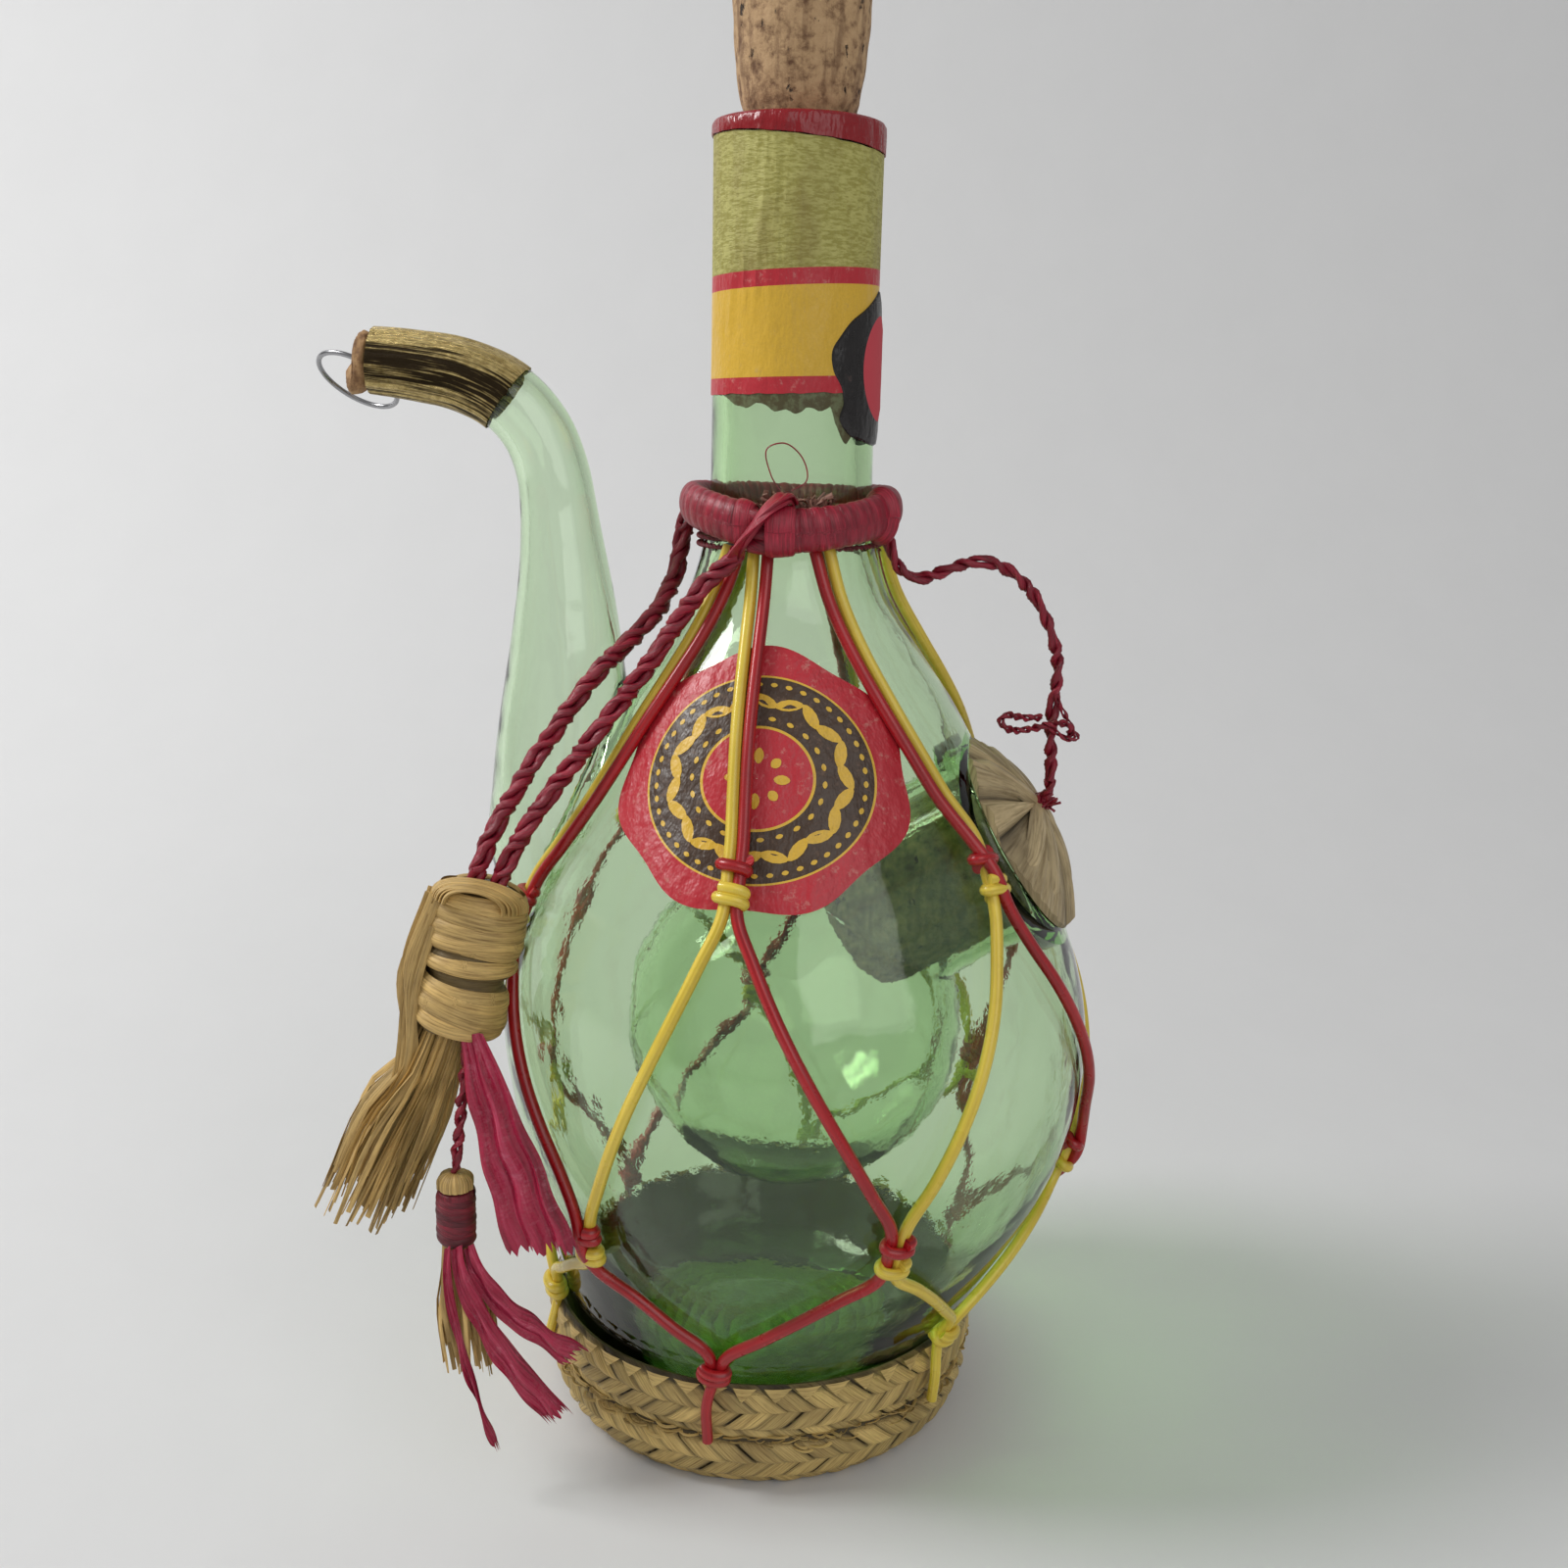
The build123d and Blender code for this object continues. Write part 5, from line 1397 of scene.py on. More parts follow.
@dataclass
class FrontLabel:
    """Round lobed label with printed rings of leaves, dots and petals."""

    azimuth: float = -9.0
    middle_z: float = 132.6
    half_width: float = 25.0
    half_height: float = 23.2
    slope: float = 28.5
    lobes: int = 7
    lobe_share: float = 0.035
    lift: float = 0.24
    rings: tuple[tuple[float, int], ...] = (
        (0.002, 0), (0.10, 0), (0.20, 0), (0.30, 0), (0.375, 2), (0.395, 1), (0.50, 1), (0.60, 1), (0.70, 1),
        (0.775, 2), (0.79, 0), (0.86, 0), (0.93, 0), (1.0, 0),
    )
    leaves: int = 22
    leaf_length: float = 5.0
    leaf_width: float = 2.1
    dots: int = 44
    petals: int = 8

    def frame(self) -> Frame:
        """Middle, right and up of the label's sheet."""
        angle, lean = math.radians(self.azimuth), math.radians(self.slope)
        right = np.array([math.cos(angle), math.sin(angle), 0.0])
        normal = np.array([math.cos(lean) * math.sin(angle), -math.cos(lean) * math.cos(angle), math.sin(lean)])
        return SHAPE.over(self.azimuth, self.middle_z, 0.0), right, np.cross(normal, right)

    def sheet(self, flat: Array, lift: float) -> Array:
        """Drop points of the flat label onto the glass."""
        return SHAPE.dropped(flat, *self.frame(), lift)

    def build(self) -> None:
        """Make the label and its ornament."""
        columns = 168
        angles = full_turn(columns)
        lobed = 1 + self.lobe_share * np.cos(self.lobes * angles)
        rings = []
        for share, _ in self.rings:
            bend = lobed if share > 0.8 else 1.0
            flat = np.stack(
                [self.half_width * share * bend * np.sin(angles), self.half_height * share * bend * np.cos(angles)],
                axis=-1,
            )
            rings.append(self.sheet(flat, self.lift if share < 1 else 0.08))
        points = np.stack(rings)
        facets = Facets()
        for k, (_, finish) in enumerate(self.rings[:-1]):
            facets.add(points[k:k + 2], grid_faces(2, columns), finish=finish)
        facets.piece(
            "front_label_sheet", [RED_PAPER, BROWN_PAPER, YELLOW_PAPER], Body.BOTTLE, ["front_label"]
        )
        ornament = Facets()
        for k in range(self.leaves):
            self.add_leaf(
                ornament, TURN * k / self.leaves, 0.59,
                length=self.leaf_length, width=self.leaf_width, tilt=24 if k % 2 else -24,
            )
        for k in range(self.dots):
            self.add_leaf(ornament, TURN * (k + 0.5) / self.dots, 0.72, length=1.2, width=0.8, tilt=0)
            if k % 2:
                self.add_leaf(ornament, TURN * k / self.dots, 0.455, length=1.3, width=0.8, tilt=0)
        for k in range(self.petals):
            self.add_leaf(ornament, TURN * k / self.petals, 0.17, length=2.0 if k % 2 else 2.8, width=1.7, tilt=90)
        ornament.piece("front_label_ornament", [YELLOW_PAPER], Body.BOTTLE)

    def add_leaf(self, facets: Facets, turn: float, share: float, length: float, width: float, tilt: float) -> None:
        """Add one printed leaf.

        Args:
            facets: what it is added to.
            turn: radians round the label from its top.
            share: its place as a share of the label's size.
            length: its length.
            width: its width.
            tilt: degrees out of the ring's line.
        """
        steps = np.linspace(0, math.pi, 7)
        upper = np.stack([-np.cos(steps) * length / 2, np.sin(steps) ** 1.3 * width / 2], axis=-1)
        loop = np.concatenate([upper, upper[-2:0:-1] * (1, -1)])
        lean = math.radians(tilt) - turn
        turned = np.stack(
            [
                loop[:, 0] * math.cos(lean) - loop[:, 1] * math.sin(lean),
                loop[:, 0] * math.sin(lean) + loop[:, 1] * math.cos(lean),
            ],
            axis=-1,
        )
        flat = turned + (self.half_width * share * math.sin(turn), self.half_height * share * math.cos(turn))
        facets.add(self.sheet(flat, self.lift + 0.05), [tuple(range(len(flat)))])


@dataclass
class Collar:
    """Raffia hoop on the neck's foot, its knot, and the cord bound under it."""

    radius: float = 18.0
    middle_z: float = 175.6
    half_width: float = 2.6
    half_height: float = 3.9
    rows: tuple[Triple, ...] = (
        (-8.0, 1.18, -0.80), (18.0, 1.12, -0.62), (45.0, 1.05, -0.30), (68.0, 1.0, -0.10),
        (90.0, 0.985, 0.05), (113.0, 0.98, 0.06), (135.0, 0.98, 0.02), (158.0, 0.985, -0.05),
        (180.0, 0.99, -0.08), (203.0, 0.985, -0.05), (225.0, 0.98, 0.02), (248.0, 0.98, 0.10),
        (270.0, 0.985, 0.14), (293.0, 1.02, 0.06), (315.0, 1.07, -0.18), (332.0, 1.1, -0.45),
        (344.0, 1.11, -0.66),
    )
    wrap_pitch: float = 2.3
    wrap_rise: float = 0.28
    straps: tuple[Pair, ...] = ((-5.5, 2.1), (-2.5, 1.8), (338.5, 1.6), (56.0, 1.7))
    bridge: tuple[Triple, ...] = ((-19, 20.6, 172.6), (-13, 20.9, 172.4), (-6, 20.9, 172.3))
    climb: tuple[Triple, ...] = (
        (-27, 20.6, 167.6), (-23.5, 22.6, 169.2), (-19, 23.9, 171.6), (-14, 23.9, 174.2), (-9.5, 23.2, 176.4),
        (-5.5, 21.6, 177.7), (-2.5, 19.4, 178.1), (0, 17.8, 177.0),
    )
    knot_strands: int = 110
    knot_reach: float = 16.8
    knot_foot: float = 174.6
    hair: tuple[Triple, ...] = (
        (2.2, -17.0, 177.4), (-1.0, -16.6, 182.0), (-1.6, -16.2, 186.3), (1.0, -16.0, 187.2), (4.6, -16.0, 184.4),
        (5.2, -16.3, 181.0), (2.6, -16.8, 179.2),
    )
    binding_z: float = 168.1
    binding_pitch: float = 1.42

    def middle_line(self) -> Array:
        """Middle line of the hoop."""
        rows = []
        for azimuth, share, rise in self.rows:
            x, y = beside(SHAPE.neck_x, self.radius * share, azimuth)
            rows.append((x, y, self.middle_z + self.half_height * rise))
        return through_points(rows, 0.35)

    def hoop(self) -> None:
        """Make the wrapped hoop and the flat strands wound over it."""
        line = self.middle_line()
        places, _, _ = frames_along(line)
        tangents = unit(np.gradient(line, axis=0))
        out = unit(np.stack([line[:, 0] - SHAPE.neck_x, line[:, 1], 0 * line[:, 0]], axis=-1))
        rise = unit(np.cross(tangents, out))
        rise *= np.sign(rise[:, 2:3])
        sides = 28
        angles = full_turn(sides)
        rng = np.random.default_rng(seed=11)
        drift = np.interp(places, np.linspace(0, places[-1], 30), rng.uniform(-0.5, 0.5, 30))
        phase = places[:, None] / self.wrap_pitch + drift[:, None] * 0.6 + angles[None, :] / TURN
        wrap = np.abs(np.sin(math.pi * phase)) ** 0.6
        swell = 1 + 0.05 * np.interp(places, np.linspace(0, places[-1], 14), rng.uniform(-1, 1, 14))
        scale = (self.half_width - self.wrap_rise + self.wrap_rise * wrap) * swell[:, None]
        tall = (self.half_height - self.wrap_rise + self.wrap_rise * wrap) * swell[:, None]
        ends = np.minimum(1, 0.72 + np.minimum(places, places[-1] - places) / 1.6 * 0.28)[:, None]
        section = spread(line, scale * ends * np.cos(angles), out, tall * ends * np.sin(angles), rise)
        shade = 0.35 + 0.4 * np.mod(np.floor(phase) * 0.618, 1.0)
        grain = grain_over(section, np.mod(phase, 1.0) * self.wrap_pitch, angles * 3.2, shade)
        facets = Facets()
        facets.add(section, tube_faces(len(line), sides), grain)
        self.add_straps(facets)
        facets.piece("collar_wrapped_hoop", [HOOP_RAFFIA], Body.BOTTLE, ["collar_hoop"], sharp_angle=60)

    def add_straps(self, facets: Facets) -> None:
        """Add the flat strands wound over the hoop's ends and the one that climbs over its front."""
        table = np.asarray(self.rows)
        steps = np.linspace(0, TURN, 40)
        for azimuth, width in self.straps:
            share, rise = (float(np.interp(azimuth, table[:, 0], table[:, k])) for k in (1, 2))
            angle = math.radians(azimuth)
            reach = self.radius * share + (self.half_width + 0.05) * np.cos(steps)
            z = self.middle_z + self.half_height * rise + (self.half_height + 0.05) * np.sin(steps)
            strap = np.stack([SHAPE.neck_x + reach * math.sin(angle), -reach * math.cos(angle), z], axis=-1)
            add_tube(facets, strap, width, sides=10, flat=0.22, shade=0.9)
        rows = [(*beside(SHAPE.neck_x, reach, azimuth), z) for azimuth, reach, z in self.bridge]
        for lift in (-2.2, 0.0, 2.2):
            add_tube(
                facets, through_points(np.array(rows) + (0.0, 0.0, lift), 0.5), 1.7,
                flat=0.8, spin=0.3, start_angle=lift, shade=0.35,
            )
        rows = [(*beside(SHAPE.neck_x, reach, azimuth), z) for azimuth, reach, z in self.climb]
        add_tube(facets, through_points(rows, 0.5), 1.7, flat=0.34, spin=0.12, start_angle=0.2, shade=0.95)
        add_tube(
            facets, through_points(np.array(rows) + (0.9, -0.5, 0.5), 0.5), 0.8,
            sides=10, flat=0.5, spin=0.25, start_angle=0.9, shade=0.6,
        )

    def knot(self) -> None:
        """Make the dry frayed knot behind the hoop and its loose hair."""
        facets = Facets()
        rng = np.random.default_rng(seed=21)
        for _ in range(self.knot_strands):
            azimuth = rng.uniform(-13, 21)
            start = np.array([*beside(SHAPE.neck_x, self.knot_reach, azimuth), self.knot_foot + rng.uniform(0, 1.8)])
            reach = rng.uniform(0.6, 3.0)
            bend = np.array([rng.uniform(-3.6, 3.6), rng.uniform(-1.4, 0.2), reach])
            middle = start + bend * 0.5 + rng.uniform(-0.7, 0.7, 3)
            line = through_points([start, middle, start + bend], 0.4)
            keep = np.hypot(line[:, 0] - SHAPE.neck_x, line[:, 1]) < 15.3
            line[keep, 1] -= 0.9
            add_tube(
                facets, line, rng.uniform(0.2, 0.6),
                sides=6, flat=0.4, spin=0.3, start_angle=rng.uniform(0, 3), shade=rng.uniform(0, 1),
            )
        facets.piece("collar_dry_knot", [DRY_KNOT], Body.BOTTLE)
        hair = Facets()
        add_tube(hair, through_points(self.hair, 0.4), 0.13, sides=6)
        hair.piece("collar_loose_hair", [CORD_RAFFIA], Body.BOTTLE)

    def binding(self) -> None:
        """Make the cord wound under the hoop."""
        radius = float(SHAPE.radius(self.binding_z)) + 0.65
        turns = np.linspace(0, 2 * TURN, 260)
        line = np.stack(
            [
                SHAPE.neck_x + radius * np.cos(turns),
                radius * np.sin(turns),
                self.binding_z + self.binding_pitch * turns / TURN,
            ],
            axis=-1,
        )
        facets = Facets()
        add_twist(facets, line, 0.5, pitch=2.6)
        facets.piece("collar_bound_cord", [BINDING_RAFFIA], Body.BOTTLE, ["collar_binding"])

    def build(self) -> None:
        """Make all collar pieces."""
        self.hoop()
        self.knot()
        self.binding()


# Net


@dataclass
class CordNet:
    """Net of red and yellow plastic cords knotted round the belly."""

    columns: int = 6
    radius: float = 1.1
    gap: float = 0.35
    side: float = 1.3
    knot_lift: float = 1.75
    knot_half: float = 4.6
    over_lift: float = 2.3
    wrap_lift: float = 2.35
    wrap_width: float = 2.25
    wrap_depth: float = 1.2
    wrap_pitch: float = 1.75
    wrap_start: float = 1.35
    top_z: float = 171.5
    top_rise: float = 2.4
    top_azimuths: tuple[float, ...] = (-17.0, 19.0, 96.0, 150.0, 214.0, 326.0)
    upper: tuple[Pair, ...] = (
        (-12.0, 117.5), (48.0, 116.0), (114.0, 110.0), (162.0, 112.0), (228.0, 112.0), (290.0, 104.0),
    )
    middle: tuple[Pair, ...] = ((18.0, 55.0), (82.0, 53.0), (131.0, 52.0), (190.0, 62.0), (252.0, 58.0), (318.0, 49.0))
    lower: tuple[Pair, ...] = ((-12.0, 26.4), (49.0, 26.4), (108.0, 26.4), (168.0, 26.4), (229.0, 26.4), (290.0, 26.4))
    detour_column: int = 2
    detour: tuple[Pair, ...] = ((99.0, 152.0), (106.0, 138.0), (114.0, 125.5))
    swapped_column: int = 1
    tail_rows: tuple[Pair, ...] = ((21.0, 44.55), (16.5, 44.55), (12.4, 44.1))

    def hoop_foot(self, azimuth: float) -> float:
        """Height at which a cord goes in under the hoop, which is lower at the front."""
        return self.top_z - self.top_rise * math.cos(math.radians(azimuth))

    def near(self, azimuth: float, other: float) -> float:
        """Azimuth brought within half a turn of another."""
        return azimuth + 360 * round((other - azimuth) / 360)

    def cord(self, column: int, is_red: bool) -> None:
        """Make one cord with its share of the knots.

        Args:
            column: number of its upper knot.
            is_red: red, or yellow.
        """
        side = self.side if is_red else -self.side
        swapped = column == self.swapped_column
        top_side = -side if swapped else side
        upper = self.upper[column]
        middle_index = column if is_red else (column - 1) % self.columns
        crossing = middle_index % 2 == 1
        lower_index = (column + (1 if is_red else -1)) % self.columns if crossing else column
        middle = (self.near(self.middle[middle_index][0], upper[0]), self.middle[middle_index][1])
        lower = (self.near(self.lower[lower_index][0], middle[0]), self.lower[lower_index][1])
        leaving = side if crossing else -side
        high = self.over_lift if is_red else 0.0
        low = self.radius + self.gap
        top = self.near(self.top_azimuths[column], upper[0])
        rows = [(top, self.hoop_foot(top), low - 0.2, top_side)]
        if column == self.detour_column:
            rows += [(a, z, low, top_side) for a, z in self.detour]
        for knot, before, after, crosses in ((upper, top_side, side, swapped), (middle, -side, leaving, crossing)):
            over = high if crosses else 0
            rows.append((knot[0], knot[1] + self.knot_half, self.knot_lift + over * 0.5, before * 0.8))
            rows.append((knot[0], knot[1], self.knot_lift + over, (before + after) * 0.4))
            rows.append((knot[0], knot[1] - self.knot_half, self.knot_lift + over * 0.5, after * 0.8))
        main = is_red == (lower_index % 2 == 0) and not crossing
        lower_side = -leaving
        rows.append((lower[0], lower[1] + 3.2, self.knot_lift, lower_side))
        rows.append((lower[0], lower[1] + (0.2 if main else 1.2), self.knot_lift, lower_side * 0.6))
        line = self.laid(rows)
        if main:
            line = np.concatenate([line, self.tail(lower[0], lower_side * 0.5)])
            line = through_points(line[:: max(1, len(line) // 60)].tolist() + [line[-1].tolist()], 1.0)
        colour = "red" if is_red else "yellow"
        facets = Facets()
        dense = respaced(line, 1.0)
        add_tube(facets, dense, self.radius * (1 - 0.10 * (dense[:, 2] < 24)), sides=14)
        turn = 1 if is_red else -1
        for knot, turns in ((upper, 1.35 if is_red else 1.7), (middle, 1.5)):
            self.add_wrap(facets, knot, turn * self.over_lift, turns)
        if main:
            self.add_wrap(facets, lower, -0.6, 1.8)
        finish = RED_PLASTIC if is_red else YELLOW_PLASTIC
        name = f"net_cord_{colour}_{column + 1}"
        facets.piece(f"laid_{name}", [finish], Body.BOTTLE, [name], sharp_angle=60)

    def laid(self, rows: Sequence[Quad]) -> Array:
        """Lay a line over the glass through rows of azimuth, height, lift and side step."""
        table = []
        for start, end in zip(rows, rows[1:]):
            reach = np.linalg.norm(SHAPE.over(start[0], start[1], 0) - SHAPE.over(end[0], end[1], 0))
            steps = max(1, round(float(reach) / 9.0))
            for k in range(steps):
                t = k / steps
                row = [a + (b - a) * t for a, b in zip(start, end)]
                if 0 < k:
                    row[2] = self.radius + self.gap
                table.append(row)
        table.append(list(rows[-1]))
        data = np.asarray(table, float)
        places = SHAPE.over(data[:, 0], data[:, 1], data[:, 2], data[:, 3])
        line = through_points(places, 1.0)
        for _ in range(3):
            line[1:-1] = (line[:-2] + 2 * line[1:-1] + line[2:]) / 4
        return line

    def tail(self, azimuth: float, side: float) -> Array:
        """Points of the end that lies on the straw base."""
        angle = math.radians(azimuth)
        return np.array(
            [
                (r * math.sin(angle) + side * math.cos(angle), -r * math.cos(angle) + side * math.sin(angle), z)
                for z, r in self.tail_rows
            ]
        )

    def add_wrap(self, facets: Facets, knot: Pair, rise: float, turns: float) -> None:
        """Add the turns that a cord makes round a knot.

        Args:
            facets: what they are added to.
            knot: azimuth and height of the knot.
            rise: height of the turns' middle over the knot.
            turns: number of turns.
        """
        azimuth, z = knot
        centre = SHAPE.over(azimuth, z + rise, self.wrap_lift)
        across = np.array([math.cos(math.radians(azimuth)), math.sin(math.radians(azimuth)), 0.0])
        along = unit(SHAPE.over(azimuth, z + rise + 2, 0) - SHAPE.over(azimuth, z + rise - 2, 0))
        out = np.cross(across, along)
        turn = np.linspace(0, turns * TURN, int(30 * turns))[:, None]
        start = math.pi * self.wrap_start
        line = (
            centre
            + self.wrap_width * np.cos(turn + start) * across
            + self.wrap_depth * np.sin(turn + start) * out
            + (turn / TURN - turns / 2) * self.wrap_pitch * along
        )
        add_tube(facets, line, self.radius * 0.94)

    def build(self) -> None:
        """Make the whole net."""
        for column in range(self.columns):
            self.cord(column, True)
            self.cord(column, False)


# Straw base


@dataclass
class StrawBase:
    """Two bands of plaited straw sewn into a low cup, and its sole."""

    lower_rows: tuple[Pair, ...] = ((0.15, 37.6), (0.9, 39.0), (3.2, 40.9), (7.0, 42.2), (10.2, 42.4), (11.3, 41.9))
    upper_rows: tuple[Pair, ...] = ((11.4, 41.9), (12.6, 42.6), (17.0, 42.9), (21.0, 42.8), (22.2, 42.4))
    cells: int = 48
    tiers: int = 3
    straw_width: float = 4.6
    proud: float = 1.15
    seam_z: float = 11.35
    seam_depth: float = 0.9
    least_inner: float = 30.6
    strays: int = 150
    sole_turns: int = 9
    sole_straw: float = 1.7
    sole_z: float = 1.22

    def outer(self, rows: Sequence[Pair], z: Array) -> Array:
        """Outer radius of a band at heights."""
        table = np.asarray(rows)
        return np.interp(z, table[:, 0], table[:, 1])

    def band(self, name: str, rows: Sequence[Pair], seed: int) -> None:
        """Make one band: a core painted dark as shade, and the folded straws on it.

        Args:
            name: CAD node of the band.
            rows: its outer radii by height.
            seed: seed of its unevenness.
        """
        rng = np.random.default_rng(seed=seed)
        facets = Facets()
        low, high = rows[0][0], rows[-1][0]
        levels = np.linspace(low, high, 12)
        angles = full_turn(96)
        skin = self.outer(rows, levels) - self.proud - 0.25
        inner = np.maximum(SHAPE.radius(levels[::-1]) + 0.35, self.least_inner)
        reach = np.concatenate([skin, inner, skin[:1]])[:, None]
        core = ringed(0.0, reach, angles, np.concatenate([levels, levels[::-1], levels[:1]])[:, None])
        # The core's shade of -0.9 paints it dark, as shade in the gaps between the straws.
        facets.add(core, grid_faces(len(core), len(angles)), grain_over(core, 0.0, 0.0, -0.9))
        tier_height = (high - low) / self.tiers
        for tier in range(self.tiers):
            lean = 1 if tier % 2 else -1
            for cell in range(self.cells):
                self.add_straw(facets, rows, low + tier_height * tier, tier_height, cell, lean, rng)
        if high > self.seam_z + 1:
            for cell in range(self.cells):
                self.add_fold(facets, rows, cell, rng)
        for _ in range(self.strays):
            self.add_stray(facets, rows, min(high, self.seam_z + 1.0), rng)
        facets.piece(f"plaited_{name}", [BASE_STRAW], Body.BOTTLE, [name], sharp_angle=50)

    def add_straw(
        self, facets: Facets, rows: Sequence[Pair], foot: float, height: float, cell: int, lean: int, rng: Random
    ) -> None:
        """Add one slanting straw that dives under its neighbour.

        Args:
            facets: what it is added to.
            rows: the band's outer radii by height.
            foot: height of the straw's lower end.
            height: height of its tier.
            cell: its number round the band.
            lean: 1 if it leans to the right, -1 to the left.
            rng: source of its unevenness.
        """
        pitch = TURN / self.cells
        u, v = np.meshgrid(np.linspace(-0.50, 0.54, 9), np.linspace(-0.26, 1.20, 12), indexing="xy")
        angle = (cell + u + lean * (v - 0.5) * 0.78 + rng.uniform(-0.07, 0.07)) * pitch
        z = foot + height * v + 0.35 * u * lean + rng.uniform(-0.18, 0.18)
        tucked = np.clip((1.20 - v) / 1.2, 0, 1) ** 1.2
        arch = 1 - 0.42 * (u / 0.54) ** 2 + 0.14 * u * lean
        lift = self.proud * (0.06 + 0.94 * tucked * arch) + rng.uniform(-0.10, 0.10)
        lift[0] -= 0.22
        z_kept = np.clip(z, rows[0][0] + 0.02, rows[-1][0] + 0.35)
        sunk = self.seam_depth * np.exp(-(((z_kept - self.seam_z) / 0.9) ** 2))
        reach = self.outer(rows, z_kept) - self.proud - 0.1 + np.clip(lift, 0, self.proud * 1.1) - sunk
        points = ringed(0.0, reach, angle, z_kept)
        along = v * height * 1.4 + cell * 3.1 + foot
        # Painted shade: the shade drops below zero where a straw runs under its upper neighbour and towards its side
        # edges, darkening the plait's gaps.
        gap = np.clip((v - 0.72) / 0.16, 0, 1) + 0.55 * np.clip((np.abs(u - 0.02) - 0.36) / 0.12, 0, 1)
        shade = rng.uniform(0.1, 1.0) - 1.5 * np.clip(gap, 0, 1)
        grain = grain_over(points, u * self.straw_width + cell * 5.0, along, shade)
        facets.add(points, grid_faces(*u.shape, False), grain)

    def add_fold(self, facets: Facets, rows: Sequence[Pair], cell: int, rng: Random) -> None:
        """Add the corner where a straw turns back at the rim."""
        pitch = TURN / self.cells
        u, v = np.meshgrid(np.linspace(0, 1, 4), np.linspace(0, 1, 6), indexing="xy")
        width = rng.uniform(0.7, 0.95)
        angle = (cell + 0.25 + width * u * (1 - 0.93 * v) + rng.uniform(0.2, 0.45) * v) * pitch
        z = rows[-1][0] + 0.45 - rng.uniform(2.0, 2.9) * v
        reach = self.outer(rows, z) - 0.1 + 0.32 * (1 - v) + 0.15 * np.sin(math.pi * u)
        points = ringed(0.0, reach, angle, z)
        grain = grain_over(points, v * 2.6 + cell, u * 4.5, rng.uniform(0.5, 1.0))
        facets.add(points, grid_faces(*u.shape, False), grain)

    def add_stray(self, facets: Facets, rows: Sequence[Pair], seam: float, rng: Random) -> None:
        """Add a short frayed end near the seam."""
        angle = rng.uniform(0, TURN)
        z = float(np.clip(seam - rng.uniform(-0.2, 1.5), rows[0][0], rows[-1][0]))
        radius = float(self.outer(rows, np.array([z]))[0]) - 0.75
        run = rng.uniform(1.5, 5.0) / radius * (1 if rng.uniform() > 0.5 else -1)
        steps = np.linspace(0, 1, 6)
        bent = angle + run * steps
        reach = radius + rng.uniform(0.2, 1.1) * np.sin(math.pi * steps)
        line = ringed(0.0, reach, bent, z + rng.uniform(-1.2, 1.2) * steps)
        add_tube(facets, line, rng.uniform(0.12, 0.38), sides=5, flat=0.4, spin=0.1, shade=rng.uniform(0.0, 1.0))

    def sole(self) -> None:
        """Make the plaited sole as a coiled flat braid."""
        facets = Facets()
        steps = np.linspace(0, self.sole_turns * TURN, 900)
        line = ringed(0.0, 1.8 + 28.0 * steps / steps[-1], steps, self.sole_z)
        add_tube(facets, line, self.sole_straw, sides=10, flat=0.68, shade=0.4)
        add_lathe(facets, [(0.0, 0.5), (29.6, 0.5), (30.0, 0.9), (30.0, 1.6), (0.0, 1.6)], (0.0, 0.0), sides=64)
        facets.piece("coiled_base_sole", [BASE_STRAW], Body.BOTTLE, ["base_sole"], sharp_angle=50)

    def build(self) -> None:
        """Make both bands and the sole."""
        self.band("base_band_upper", self.upper_rows, seed=31)
        self.band("base_band_lower", self.lower_rows, seed=32)
        self.sole()


# Spout dress


